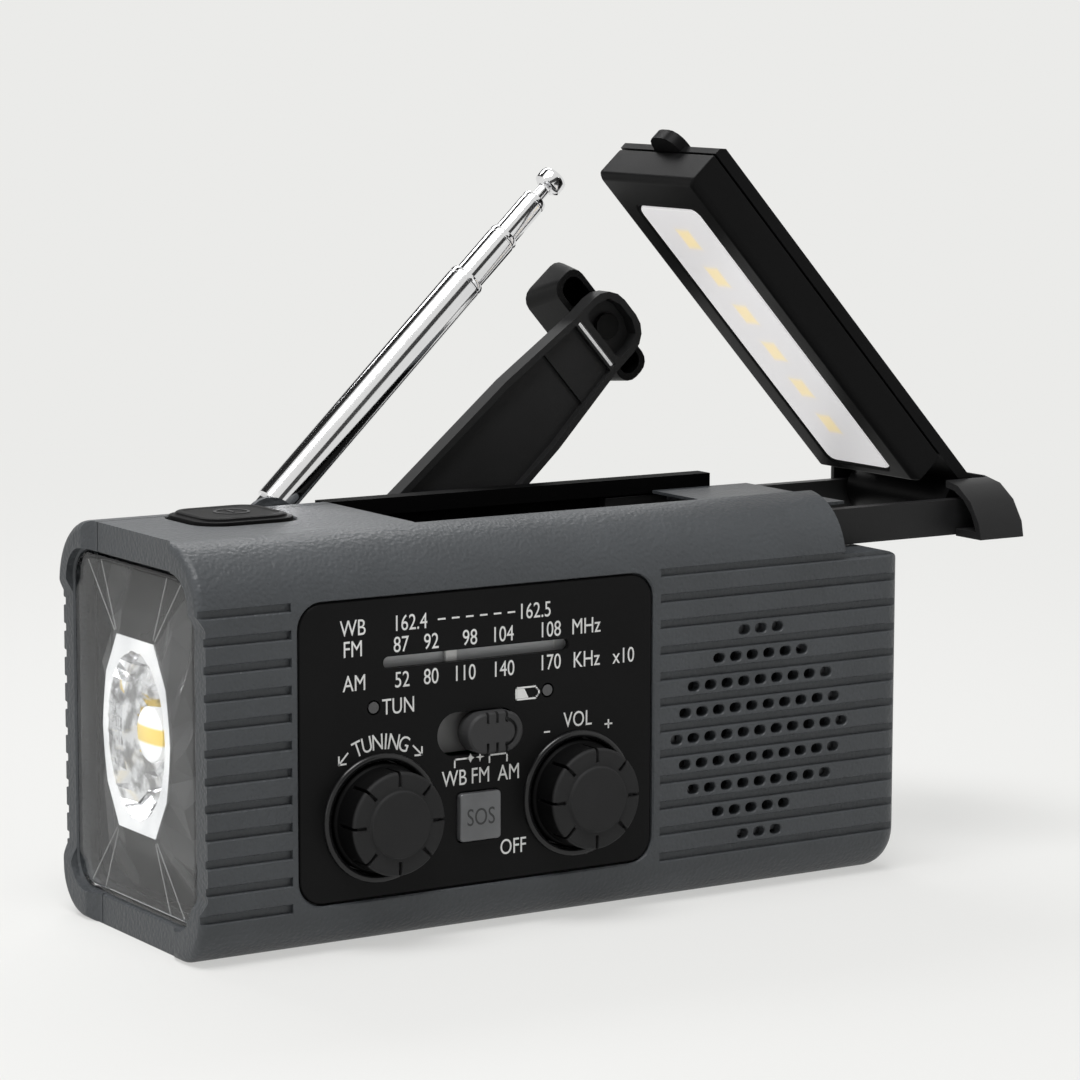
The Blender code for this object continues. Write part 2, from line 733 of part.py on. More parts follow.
def bevel_where(bm, test, width, steps=EDGE_STEPS):
    """Rounds the edges whose two ends both pass a test."""
    chosen = [e for e in bm.edges if test(e.verts[0].co) and test(e.verts[1].co)
              and len(e.link_faces) == 2 and e.calc_face_angle(0) > EDGE_ANGLE]
    bmesh.ops.bevel(bm, geom=chosen, offset=width, offset_type="OFFSET", segments=steps,
                    profile=0.5, affect="EDGES", clamp_overlap=True)


def near(value, target):
    return abs(value - target) < WELD


def make_object(name, bm, group, origin, turn, place):
    """An object from a form drawn in the folded pose: origin goes to place, and is turned about."""
    bmesh.ops.recalc_face_normals(bm, faces=bm.faces)
    mesh = bpy.data.meshes.new(name)
    bm.to_mesh(mesh)
    bm.free()
    mesh.transform(Matrix.Translation(-Vector(origin)))
    obj = bpy.data.objects.new(name, mesh)
    obj.location = place
    obj.rotation_euler = turn
    group.objects.link(obj)
    return obj


def node(name, bm, finish, origin=(0, 0, 0), turn=(0, 0, 0), place=None):
    """One physical piece. Its origin is on its joint's axis, and turn sets it as the photo shows it."""
    place = origin if place is None else place
    obj = make_object(name, bm, PARTS, origin, turn, place)
    colour, roughness, metallic = finish
    obj.data.materials.append(material(name, colour, roughness, metallic))
    obj.data.shade_smooth()
    obj.data.set_sharp_from_angle(angle=SMOOTH_ANGLE)
    placement[name] = (origin, turn, place)
    return obj


def shape_with(obj, bm, operation):
    """Cuts from a piece, or joins to it, a form drawn in the same place as the piece."""
    origin, turn, place = placement[obj.name]
    tool = make_object(obj.name + "_" + operation.lower(), bm, CUTTERS, origin, turn, place)
    tool.hide_render = True
    tool.display_type = "WIRE"
    step = obj.modifiers.new(operation.lower(), "BOOLEAN")
    step.operation = operation
    step.solver = "EXACT"
    step.object = tool


def cut(obj, bm):
    shape_with(obj, bm, "DIFFERENCE")


def join(obj, bm):
    shape_with(obj, bm, "UNION")


# Casing

def groove_boxes(bm, y_outer, y_inner):
    """The grooves between the ribs, left and right of the panel."""
    low_y = min(y_outer, y_inner)
    high_y = max(y_outer, y_inner)
    for i in range(RIB_COUNT):
        z = RIB_LOWEST_Z + RIB_PITCH * i
        for start, end in ((LEFT - OVERRUN, GROOVE_LEFT_END),
                           (GROOVE_RIGHT_START, RIGHT - GROOVE_RIGHT_MARGIN)):
            add_box(bm, (start, low_y, z - GROOVE_HEIGHT / 2), (end, high_y, z + GROOVE_HEIGHT / 2))


def shell_blank(name, finish, y_low, y_high):
    """The casing's full outer form and its hollow, kept between two Y planes."""
    bm = new_form()
    add_prism(bm, [casing_section()], "X", LEFT, RIGHT)
    bevel_where(bm, lambda co: near(co.x, RIGHT), RIGHT_END_ROUND)
    bevel_where(bm, lambda co: near(co.x, LEFT), LEFT_END_ROUND)
    shell = node(name, bm, finish)

    far = BODY_DEPTH
    shoulder = new_form()
    corner = (RIGHT - RIGHT_END_ROUND, SHOULDER_Z - RIGHT_END_ROUND)
    rounding = arc(corner, RIGHT_END_ROUND, 0, 1, CORNER_STEPS)
    outline = [(UPPER_END_X, SHOULDER_Z), (UPPER_END_X, BODY_HEIGHT + OVERRUN),
               (RIGHT + OVERRUN, BODY_HEIGHT + OVERRUN), (RIGHT + OVERRUN, corner[1])] + rounding
    add_prism(shoulder, [outline], "Y", -far, far)
    cut(shell, shoulder)

    hollow = new_form()
    add_prism(hollow, [casing_section(WALL)], "X", LEFT + END_WALL, UPPER_END_X - WALL)
    upper_hollow = node(name + "_hollow", hollow, finish)
    corner_block = new_form()
    add_box(corner_block, (GROOVE_START_X - GROOVE_WALL, GROOVE_Y - GROOVE_WALL, GROOVE_Z - GROOVE_WALL),
            (UPPER_END_X, far, BODY_HEIGHT))
    cut(upper_hollow, corner_block)
    move_to_cutters(upper_hollow)
    step = shell.modifiers.new("hollow", "BOOLEAN")
    step.operation = "DIFFERENCE"
    step.solver = "EXACT"
    step.object = upper_hollow

    lower = new_form()
    top = SHOULDER_Z - WALL
    radius = BOTTOM_RADIUS - WALL
    add_prism(lower, [rounded_box((INNER_FRONT, WALL), (INNER_BACK, top), (radius, radius, WALL, WALL))],
              "X", UPPER_END_X - WALL - OVERRUN, RIGHT - WALL)
    cut(shell, lower)

    beyond = new_form()
    if y_low > FRONT:
        add_box(beyond, (LEFT - far, -far, -far), (RIGHT + far, y_low, BODY_HEIGHT + far))
    else:
        add_box(beyond, (LEFT - far, y_high, -far), (RIGHT + far, far, BODY_HEIGHT + far))
    cut(shell, beyond)
    return shell


def move_to_cutters(obj):
    PARTS.objects.unlink(obj)
    CUTTERS.objects.link(obj)
    obj.hide_render = True
    obj.display_type = "WIRE"


def torch_end_cuts(shell):
    """The window of the torch, and the low middle of each side between the corner bumpers."""
    low = LEFT - OVERRUN
    step = LEFT + BUMPER_STEP
    far = BODY_HEIGHT + OVERRUN
    slope = BUMPER_SLOPE * OVERRUN / BUMPER_STEP
    sides = new_form()
    outline = [(step, BUMPER_BOTTOM_Z), (step, BUMPER_TOP_Z),
               (low, BUMPER_TOP_Z + BUMPER_SLOPE + slope), (low, BUMPER_BOTTOM_Z - BUMPER_SLOPE - slope)]
    add_prism(sides, [outline], "Y", -far, far)
    cut(shell, sides)
    ends = new_form()
    reach = BUMPER_HALF_GAP + BUMPER_SLOPE + slope
    outline = [(step, -BUMPER_HALF_GAP), (step, BUMPER_HALF_GAP), (low, reach), (low, -reach)]
    add_prism(ends, [outline], "Z", -OVERRUN, far)
    cut(shell, ends)
    window = new_form()
    add_prism(window, [window_outline(0.0)], "X", low, LEFT + END_WALL + OVERRUN)
    cut(shell, window)


def window_outline(inset):
    half_y = WINDOW_DEPTH_Y / 2 - inset
    half_z = WINDOW_HEIGHT / 2 - inset
    radius = WINDOW_RADIUS - min(inset, WINDOW_RADIUS / 2)
    return rounded_box((-half_y, WINDOW_CENTRE_Z - half_z), (half_y, WINDOW_CENTRE_Z + half_z),
                       (radius, radius, radius, radius), EDGE_STEPS)


def bay_cuts(shell):
    """Room for the lamp tray under the top, and the long opening above it."""
    tray = new_form()
    reach = TRAY_HALF_WIDTH + GAP
    add_box(tray, (tray_left() - GAP, -reach, TRAY_FLOOR_Z - TRAY_FLOOR - GAP),
            (UPPER_END_X + OVERRUN, reach, BODY_HEIGHT - WALL))
    cut(shell, tray)
    opening = new_form()
    add_box(opening, (BAY_LEFT, -BAY_HALF_WIDTH, BODY_HEIGHT - WALL - OVERRUN),
            (UPPER_END_X + OVERRUN, reach, BODY_HEIGHT + OVERRUN))
    cut(shell, opening)


def key_hole(shell):
    hole = new_form()
    add_prism(hole, [key_outline(GAP)], "Z", BODY_HEIGHT - WALL - OVERRUN, BODY_HEIGHT + OVERRUN)
    cut(shell, hole)


def key_outline(grow):
    half_x = KEY_LENGTH / 2 + grow
    half_y = KEY_DEPTH / 2 + grow
    radius = KEY_RADIUS + grow
    return rounded_box((KEY_X - half_x, KEY_Y - half_y), (KEY_X + half_x, KEY_Y + half_y),
                       (radius, radius, radius, radius), EDGE_STEPS + 1)


def tray_left():
    return BAY_LEFT - BAY_END_ROOM - TRAY_END_WALL


def speaker_holes(bm):
    """Rows of short slots, one row on each rib."""
    half = HOLE_WIDTH / 2
    end = HOLE_HEIGHT / 2
    for row, count in enumerate(HOLE_ROW_COUNTS):
        z = RIB_LOWEST_Z + RIB_PITCH * (len(HOLE_ROW_COUNTS) - row - 0.5)
        span = count if row == SHORT_ROW else count - 1
        for i in range(count):
            x = SPEAKER_X + HOLE_PITCH * (i - span / 2)
            outline = arc((x + half - end, z), end, -1, 1, 2) + arc((x - half + end, z), end, 1, 3, 2)
            add_prism(bm, [outline], "Y", FRONT - OVERRUN, INNER_FRONT + OVERRUN)


def make_front_shell(finish):
    shell = shell_blank("front_shell", finish, FRONT, PARTING_Y - GAP / 2)
    torch_end_cuts(shell)
    bay_cuts(shell)
    key_hole(shell)

    grooves = new_form()
    groove_boxes(grooves, FRONT - OVERRUN, FRONT + GROOVE_DEPTH)
    cut(shell, grooves)

    pocket = new_form()
    radii = (PANEL_RADIUS,) * 4
    add_prism(pocket, [rounded_box((PANEL_LEFT, PANEL_BOTTOM), (PANEL_RIGHT, PANEL_TOP), radii)],
              "Y", FRONT - OVERRUN, FRONT + PANEL_POCKET)
    cut(shell, pocket)
    opening = new_form()
    inner = (PANEL_RADIUS - PANEL_LEDGE,) * 4
    add_prism(opening, [rounded_box((PANEL_LEFT + PANEL_LEDGE, PANEL_BOTTOM + PANEL_LEDGE),
                                    (PANEL_RIGHT - PANEL_LEDGE, PANEL_TOP - PANEL_LEDGE),
                                    inner, EDGE_STEPS)],
              "Y", FRONT, INNER_FRONT + OVERRUN)
    cut(shell, opening)

    holes = new_form()
    speaker_holes(holes)
    cut(shell, holes)

    posts = new_form()
    into = WALL / 2
    post_foot = FRONT + (PANEL_POCKET + WALL) / 2
    for x, z in CASE_POSTS:
        add_rod(posts, (x, post_foot, z), (x, PARTING_Y - GAP / 2, z), POST_RADIUS, SMALL_SIDES)
    for x, z in BOARD_SCREWS + BOARD_PINS:
        add_rod(posts, (x, post_foot, z), (x, BOARD_FRONT_Y - GAP, z), BOARD_POST_RADIUS, SMALL_SIDES)
    for side in (-1, 1):
        x = KEY_X + side * KEY_POST_SPACING / 2
        add_rod(posts, (x, KEY_POST_Y, KEY_BOARD_TOP_Z + GAP), (x, KEY_POST_Y, BODY_HEIGHT - into),
                BOARD_POST_RADIUS, SMALL_SIDES)
    join(shell, posts)
    pins = new_form()
    for side in (-1, 1):
        x = KEY_X + side * KEY_POST_SPACING / 2
        add_rod(pins, (x, KEY_POST_Y, KEY_BOARD_TOP_Z - KEY_PIN_LENGTH),
                (x, KEY_POST_Y, KEY_BOARD_TOP_Z + OVERRUN), KEY_PIN_RADIUS, SMALL_SIDES)
    for x, z in BOARD_PINS:
        add_rod(pins, (x, BOARD_FRONT_Y - OVERRUN, z), (x, board_back(), z), SMALL_SCREW_RADIUS, SMALL_SIDES)
    join(shell, pins)

    pilots = new_form()
    for x, z in CASE_POSTS:
        add_rod(pilots, (x, PARTING_Y - SCREW_LENGTH, z), (x, PARTING_Y + OVERRUN, z),
                SCREW_RADIUS + GAP, SMALL_SIDES)
    for x, z in BOARD_SCREWS:
        add_rod(pilots, (x, BOARD_FRONT_Y - SMALL_SCREW_LENGTH, z), (x, BOARD_FRONT_Y + OVERRUN, z),
                SMALL_SCREW_RADIUS + GAP, SMALL_SIDES)
    cut(shell, pilots)
    flap_cuts(shell)
    return shell


def flap_cuts(shell):
    """The recess of the rubber flap at the right end, and the two socket openings behind it."""
    recess = new_form()
    add_box(recess, (RIGHT - FLAP_RECESS, FLAP_FRONT_Y - FLAP_SIDE_ROOM, FLAP_BOTTOM - FLAP_SIDE_ROOM),
            (RIGHT + OVERRUN, FLAP_BACK_Y + FLAP_SIDE_ROOM, FLAP_TOP + FLAP_SIDE_ROOM))
    cut(shell, recess)
    openings = new_form()
    for centre, width, height in ((USB_CENTRE_Z, USB_WIDTH, USB_HEIGHT),
                                  (MICRO_CENTRE_Z, MICRO_WIDTH, MICRO_HEIGHT)):
        half = width / 2 + GAP
        add_box(openings, (RIGHT - WALL - OVERRUN, SOCKET_BOARD_Y - GAP - height - GAP, centre - half),
                (RIGHT + OVERRUN, SOCKET_BOARD_Y, centre + half))
    cut(shell, openings)


def make_rear_shell(finish):
    shell = shell_blank("rear_shell", finish, PARTING_Y + GAP / 2, BACK)
    torch_end_cuts(shell)
    bay_cuts(shell)
    key_hole(shell)

    grooves = new_form()
    groove_boxes(grooves, BACK + OVERRUN, BACK - GROOVE_DEPTH)
    cut(shell, grooves)

    rest = new_form()
    add_box(rest, (GROOVE_START_X, GROOVE_Y, GROOVE_Z),
            (UPPER_END_X + OVERRUN, BACK + OVERRUN, BODY_HEIGHT + OVERRUN))
    cut(shell, rest)

    posts = new_form()
    into = WALL / 2
    for x, z in CASE_POSTS:
        add_rod(posts, (x, PARTING_Y + GAP / 2, z), (x, BACK - into, z), POST_RADIUS, SMALL_SIDES)
    plate_back = PLATE_FRONT_Y + GEAR_PLATE
    for x, z in GEAR_PLATE_SCREWS + GEAR_PLATE_PINS:
        add_rod(posts, (x, plate_back + GAP, z), (x, BACK - into, z), GEAR_POST_RADIUS, SMALL_SIDES)
    socket_back = SOCKET_BOARD_Y + SOCKET_BOARD_THICKNESS
    for x, z in SOCKET_PINS:
        add_rod(posts, (x, socket_back + GAP, z), (x, BACK - into, z), GEAR_POST_RADIUS, SMALL_SIDES)
    add_rod(posts, (HUB_X, BACK - into, HUB_Z), (HUB_X, BACK + BOSS_PROUD, HUB_Z), BOSS_RADIUS, FINE_SIDES)
    add_prism(posts, [ear_outline()], "Y", GROOVE_Y - GAP - EAR_THICKNESS, GROOVE_Y - GAP)
    join(shell, posts)
    pins = new_form()
    for x, z in GEAR_PLATE_PINS:
        add_rod(pins, (x, PLATE_FRONT_Y, z), (x, plate_back + OVERRUN, z), SMALL_SCREW_RADIUS, SMALL_SIDES)
    for x, z in SOCKET_PINS:
        add_rod(pins, (x, SOCKET_BOARD_Y, z), (x, socket_back + OVERRUN, z), SMALL_SCREW_RADIUS, SMALL_SIDES)
    join(shell, pins)

    bores = new_form()
    for x, z in CASE_POSTS:
        add_rod(bores, (x, PARTING_Y - OVERRUN, z), (x, BACK, z), SCREW_RADIUS + GAP, SMALL_SIDES)
    cut(shell, bores)
    heads = new_form()
    for x, z in CASE_POSTS:
        add_rod(heads, (x, HEAD_FLOOR_Y, z), (x, BACK + OVERRUN, z), SCREW_HEAD_RADIUS + GAP / 2,
                SMALL_SIDES)
    cut(shell, heads)
    pilots = new_form()
    for x, z in GEAR_PLATE_SCREWS:
        add_rod(pilots, (x, plate_back - OVERRUN, z), (x, plate_back + SMALL_SCREW_LENGTH, z),
                SMALL_SCREW_RADIUS + GAP, SMALL_SIDES)
    add_rod(pilots, (HUB_X, INNER_BACK - OVERRUN, HUB_Z), (HUB_X, BACK + BOSS_PROUD + OVERRUN, HUB_Z),
            CRANK_SHAFT_RADIUS + GAP, ROUND_SIDES)
    cut(shell, pilots)
    flap_cuts(shell)
    return shell


def ear_outline():
    """The small hump of the casing in front of the antenna's pivot."""
    floor = GROOVE_Z - GROOVE_WALL / 2
    bend = arc((ANTENNA_X, ANTENNA_Z), EAR_RADIUS, 0, 2, CORNER_STEPS * 2)
    return [(ANTENNA_X - EAR_RADIUS, floor), (ANTENNA_X + EAR_RADIUS, floor)] + bend


# Screws

def make_case_screws(finish):
    """Four screws from the back, their heads sunk in the rear shell."""
    seat = HEAD_FLOOR_Y + GAP
    end = PARTING_Y - SCREW_LENGTH + GAP
    top = seat + SCREW_HEAD
    half = SCREW_DRIVE_WIDTH / 2
    profile = [(0, end), (SCREW_RADIUS, end), (SCREW_RADIUS, seat), (SCREW_HEAD_RADIUS, seat),
               (SCREW_HEAD_RADIUS, top), (0, top)]
    for number, (x, z) in enumerate(CASE_POSTS, 1):
        bm = new_form()
        add_turned(bm, profile, "Y", (x, 0, z), SMALL_SIDES)
        screw = node(f"case_screw_{number}", bm, finish)
        drive = new_form()
        add_box(drive, (x - SCREW_DRIVE / 2, top - SCREW_DRIVE_DEPTH, z - half),
                (x + SCREW_DRIVE / 2, top + OVERRUN, z + half))
        cut(screw, drive)


def make_small_screw(name, finish, x, y, z, way):
    """A small screw with its head's seat at y and its point along +Y or -Y."""
    tip = y + way * (SMALL_SCREW_LENGTH - GAP + BOARD_THICKNESS)
    head = y - way * SMALL_SCREW_HEAD
    profile = [(0, tip), (SMALL_SCREW_RADIUS, tip), (SMALL_SCREW_RADIUS, y), (SMALL_SCREW_HEAD_RADIUS, y),
               (SMALL_SCREW_HEAD_RADIUS, head), (0, head)]
    bm = new_form()
    add_turned(bm, profile, "Y", (x, 0, z), SMALL_SIDES)
    node(name, bm, finish)


def make_inner_screws(finish):
    for number, (x, z) in enumerate(BOARD_SCREWS, 1):
        make_small_screw(f"board_screw_{number}", finish, x, board_back() + GAP, z, -1)
    for number, (x, z) in enumerate(GEAR_PLATE_SCREWS, 1):
        make_small_screw(f"gear_plate_screw_{number}", finish, x, PLATE_FRONT_Y - GAP, z, 1)


def board_back():
    return BOARD_FRONT_Y + BOARD_THICKNESS


# Torch

def make_torch_lens(finish):
    """The clear cap in the window, with a flange behind the shell's end wall."""
    flange_back = LEFT + END_WALL + GAP + LENS_FLANGE_THICKNESS
    bm = new_form()
    add_prism(bm, [window_outline(-LENS_FLANGE)], "X", flange_back - LENS_FLANGE_THICKNESS, flange_back)
    lens = node("torch_lens", bm, finish)
    front = new_form()
    add_prism(front, [window_outline(GAP)], "X", LENS_FRONT_X, flange_back - LENS_FLANGE_THICKNESS / 2)
    join(lens, front)
    hollow = new_form()
    add_prism(hollow, [window_outline(GAP + LENS_THICKNESS)], "X", LENS_FRONT_X + LENS_THICKNESS,
              flange_back + OVERRUN)
    cut(lens, hollow)


def lozenge_outline(grow=0.0):
    """The reflector's rim, seen from the torch end: eight corners."""
    half_y = LOZENGE_HALF_WIDTH + grow
    half_z = LOZENGE_HALF_HEIGHT + grow
    wide, high = LOZENGE_WAIST_SHARES
    quarter = [(half_y * LOZENGE_TOP_SHARE, half_z), (half_y * wide, half_z * high), (half_y, 0)]
    right = quarter + [(y, -z) for y, z in reversed(quarter[:-1])]
    left = [(-y, z) for y, z in reversed(right)]
    return [(y, z + WINDOW_CENTRE_Z) for y, z in right + left]


def bowl_radii():
    """Radius and depth of the reflector's bowl, from its rim to its base."""
    span = BOWL_RADIUS ** 2 - BOWL_BASE_RADIUS ** 2
    points = []
    for i in range(BOWL_STEPS + 1):
        radius = BOWL_RADIUS + (BOWL_BASE_RADIUS - BOWL_RADIUS) * i / BOWL_STEPS
        points.append((radius, BOWL_DEPTH * (BOWL_RADIUS ** 2 - radius ** 2) / span))
    return points


def add_bowl(bm, grow, start, end):
    """The bowl as a solid between two depths, straight where they lie beyond its rim and base."""
    profile = [(0, start), (BOWL_RADIUS + grow, start)]
    profile += [(radius + grow, depth) for radius, depth in bowl_radii()
                if start + WELD < depth < end - WELD]
    profile += [(BOWL_BASE_RADIUS + grow, end), (0, end)]
    add_turned(bm, profile, "X", (REFLECTOR_FRONT_X, 0, WINDOW_CENTRE_Z), FINE_SIDES, (BOWL_WIDTH_SHARE, 1))


def make_torch_surround(finish):
    """The dark frame behind the lens, with a faceted boss that carries the reflector."""
    front = LEFT + END_WALL + GAP + LENS_FLANGE_THICKNESS + GAP
    bm = new_form()
    add_prism(bm, [window_outline(-LENS_FLANGE)], "X", front, front + SURROUND_FLANGE)
    surround = node("torch_surround", bm, finish)
    walls = new_form()
    add_prism(walls, [window_outline(GAP)], "X", front + SURROUND_FLANGE / 2, SURROUND_BACK_X)
    join(surround, walls)
    pocket = new_form()
    add_prism(pocket, [window_outline(GAP + SURROUND_WALL)], "X", front - OVERRUN, SURROUND_FLOOR_X)
    cut(surround, pocket)
    boss = new_form()
    foot = rectangle_like(lozenge_outline(), WINDOW_DEPTH_Y / 2 - GAP - SURROUND_WALL,
                          WINDOW_HEIGHT / 2 - GAP - SURROUND_WALL)
    add_loft(boss, [(BOSS_TOP_X, lozenge_outline()), (SURROUND_FLOOR_X, foot),
                    (SURROUND_FLOOR_X + GAP, foot)], "X")
    join(surround, boss)
    hole = new_form()
    add_bowl(hole, BOWL_WALL + GAP * 2, -OVERRUN, BOWL_DEPTH + OVERRUN)
    cut(surround, hole)


def rectangle_like(outline, half_y, half_z):
    """The same corners pushed out to a rectangle, for a boss that widens to its foot."""
    points = []
    for y, z in outline:
        rise = z - WINDOW_CENTRE_Z
        scale = min(half_y / max(abs(y), WELD), half_z / max(abs(rise), WELD))
        points.append((y * scale, WINDOW_CENTRE_Z + rise * scale))
    return points


def make_torch_reflector(finish):
    bm = new_form()
    add_prism(bm, [lozenge_outline()], "X", REFLECTOR_FRONT_X, REFLECTOR_FRONT_X + REFLECTOR_RIM)
    reflector = node("torch_reflector", bm, finish)
    outer = new_form()
    add_bowl(outer, BOWL_WALL, REFLECTOR_RIM / 2, BOWL_DEPTH)
    join(reflector, outer)
    inner = new_form()
    add_bowl(inner, 0, -OVERRUN, BOWL_DEPTH + OVERRUN)
    cut(reflector, inner)


def make_torch_led(finish):
    """The round board behind the bowl with the light and its clear dome."""
    front = REFLECTOR_FRONT_X + BOWL_DEPTH + GAP
    bm = new_form()
    flank = LED_DOME_HEIGHT - LED_DOME_RADIUS
    profile = [(0, front + TORCH_BOARD_THICKNESS), (TORCH_BOARD_RADIUS, front + TORCH_BOARD_THICKNESS),
               (TORCH_BOARD_RADIUS, front), (LED_DOME_RADIUS, front), (LED_DOME_RADIUS, front - flank)]
    profile += [(radius, front - flank - height) for radius, height in
                arc((0, 0), LED_DOME_RADIUS, 0, 1, CORNER_STEPS)[1:-1]]
    profile.append((0, front - LED_DOME_HEIGHT))
    add_turned(bm, profile, "X", (0, 0, WINDOW_CENTRE_Z))
    node("torch_led", bm, finish)


# Dial panel

def panel_front():
    return FRONT + GAP


def panel_back():
    return FRONT + PANEL_POCKET - GAP


def make_dial_plate(finish):
    low = (PANEL_LEFT + GAP, PANEL_BOTTOM + GAP)
    high = (PANEL_RIGHT - GAP, PANEL_TOP - GAP)
    middle = (DISH_RADIUS + RING_RADIUS) / 2
    slot = (SLOT_HEIGHT / 2 - GAP,) * 4
    scale_end = (SCALE_HEIGHT / 2 - GAP / 3,) * 4
    holes = [
        circle((TUNING_X, KNOB_Z), middle, FINE_SIDES),
        circle((VOLUME_X, KNOB_Z), middle, FINE_SIDES),
        circle(TUNED_LIGHT, LIGHT_RADIUS + GAP, SMALL_SIDES),
        circle(CHARGE_LIGHT, LIGHT_RADIUS + GAP, SMALL_SIDES),
        rounded_box((SCALE_LEFT, SCALE_Z - SCALE_HEIGHT / 2), (SCALE_RIGHT, SCALE_Z + SCALE_HEIGHT / 2),
                    scale_end),
        rounded_box((SLOT_LEFT, SWITCH_Z - SLOT_HEIGHT / 2), (SLOT_RIGHT, SWITCH_Z + SLOT_HEIGHT / 2), slot),
        sos_outline(GAP),
    ]
    bm = new_form()
    rim = rounded_box(low, high, (PANEL_RADIUS - GAP,) * 4)
    add_prism(bm, [rim] + holes, "Y", panel_front(), panel_back())
    plate = node("dial_plate", bm, finish)
    top = panel_front() - RING_PROUD
    outer = DISH_RADIUS + DISH_WALL
    floor = DISH_FLOOR_Y + DISH_FLOOR
    hole = SHAFT_RADIUS + GAP
    under = (panel_front() + panel_back()) / 2
    for x in (TUNING_X, VOLUME_X):
        dish = new_form()
        profile = [(DISH_RADIUS, top), (RING_RADIUS - KNOB_EDGE, top), (RING_RADIUS, top + KNOB_EDGE),
                   (RING_RADIUS, under), (outer, under), (outer, floor), (hole, floor),
                   (hole, DISH_FLOOR_Y), (DISH_RADIUS, DISH_FLOOR_Y)]
        add_turned(dish, profile, "Y", (x, 0, KNOB_Z), FINE_SIDES)
        join(plate, dish)


def sos_outline(grow):
    half_x = SOS_WIDTH / 2 + grow
    half_z = SOS_HEIGHT / 2 + grow
    return rounded_box((SOS_X - half_x, SOS_Z - half_z), (SOS_X + half_x, SOS_Z + half_z),
                       (BUTTON_CORNER,) * 4, EDGE_STEPS)


def make_scale_strip(finish):
    """The grey strip behind the dial's window, on a foot at each end."""
    left = SCALE_LEFT - SCALE_STRIP_MARGIN
    right = SCALE_RIGHT + SCALE_STRIP_MARGIN
    low = SCALE_Z - SCALE_HEIGHT / 2 - SCALE_STRIP_MARGIN
    high = SCALE_Z + SCALE_HEIGHT / 2 + SCALE_STRIP_MARGIN
    front = STRIP_FRONT_Y
    back = STRIP_FRONT_Y + SCALE_STRIP_THICKNESS
    foot = panel_back() + GAP
    outline = [(left - STRIP_FOOT, foot), (left, foot), (left, front), (right, front), (right, foot),
               (right + STRIP_FOOT, foot), (right + STRIP_FOOT, back), (left - STRIP_FOOT, back)]
    bm = new_form()
    add_prism(bm, [outline], "Z", low, high)
    node("scale_strip", bm, finish)


def cord_y():
    return DRUM_FRONT_Y + DRUM_THICKNESS / 2


def cord_offset():
    """From a guide's or the drum's surface to the middle of the cord."""
    return GAP + CORD_RADIUS


def guide_places():
    """Left, right and lower guide of the dial cord."""
    turn = GUIDE_RADIUS + cord_offset()
    reach = DRUM_RADIUS + cord_offset()
    left = (TUNING_X - reach + turn, GUIDE_TOP_Z)
    right = (GUIDE_RIGHT_X, GUIDE_TOP_Z)
    lower = (TUNING_X + reach + turn, GUIDE_TOP_Z - 2 * turn)
    return left, right, lower


def make_dial_pointer(finish):
    """A white flag in front of the strip, on an arm under it that reaches the cord."""
    back = POINTER_PLATE_Y + POINTER_BLADE
    arm_top = SCALE_Z - SCALE_HEIGHT / 2 - SCALE_STRIP_MARGIN - GAP
    arm_low = arm_top - POINTER_ARM
    arm_end = cord_y() - cord_offset()
    flag_top = SCALE_Z + SCALE_HEIGHT / 2 + GAP
    outline = [(POINTER_PLATE_Y, arm_low), (arm_end, arm_low), (arm_end, arm_top), (back, arm_top),
               (back, flag_top), (POINTER_PLATE_Y, flag_top)]
    bm = new_form()
    add_prism(bm, [outline], "X", POINTER_X - POINTER_WIDTH / 2, POINTER_X + POINTER_WIDTH / 2)
    node("dial_pointer", bm, finish)


def make_dial_cord(finish):
    """One closed loop from the drum over the three guides."""
    turn = GUIDE_RADIUS + cord_offset()
    reach = DRUM_RADIUS + cord_offset()
    left, right, lower = guide_places()
    path = arc((TUNING_X, KNOB_Z), reach, 4, 2, CORNER_STEPS * 3)
    path += arc(left, turn, 2, 1, CORNER_STEPS)
    path += arc(right, turn, 1, -1, CORNER_STEPS * 2)
    path += arc(lower, turn, 1, 2, CORNER_STEPS)
    bm = new_form()
    y = cord_y()
    rings = []
    count = len(path)
    for i, (x, z) in enumerate(path):
        before = Vector(path[i - 1])
        after = Vector(path[(i + 1) % count])
        way = (after - before).normalized()
        side = Vector((way.y, -way.x))
        rings.append([bm.verts.new((x + side.x * a, y + b, z + side.y * a)) for a, b in
                      ((CORD_RADIUS, 0), (0, CORD_RADIUS), (-CORD_RADIUS, 0), (0, -CORD_RADIUS))])
    for i in range(count):
        ahead = rings[(i + 1) % count]
        for j in range(4):
            k = (j + 1) % 4
            bm.faces.new((rings[i][j], rings[i][k], ahead[k], ahead[j]))
    node("dial_cord", bm, finish)


def knob_profile(with_shaft):
    """Skirt, fluted body and raised middle disc, from the dish outwards."""
    skirt_back = DISH_FLOOR_Y - GAP
    if with_shaft:
        end = board_back() - 2 * GAP
        inside = [(0, end), (SHAFT_RADIUS, end), (SHAFT_RADIUS, skirt_back)]
    else:
        bore = SHAFT_RADIUS + GAP
        bore_end = skirt_back - KNOB_BORE_DEPTH
        inside = [(0, bore_end), (bore, bore_end), (bore, skirt_back)]
    return inside + [
        (KNOB_SKIRT_RADIUS, skirt_back), (KNOB_SKIRT_RADIUS, KNOB_SKIRT_Y), (KNOB_RADIUS, KNOB_SKIRT_Y),
        (KNOB_RADIUS, KNOB_FACE_Y + KNOB_EDGE), (KNOB_RADIUS - KNOB_EDGE, KNOB_FACE_Y),
        (KNOB_DISC_RADIUS, KNOB_FACE_Y), (KNOB_DISC_RADIUS, KNOB_FACE_Y - KNOB_DISC_PROUD),
        (0, KNOB_FACE_Y - KNOB_DISC_PROUD)]


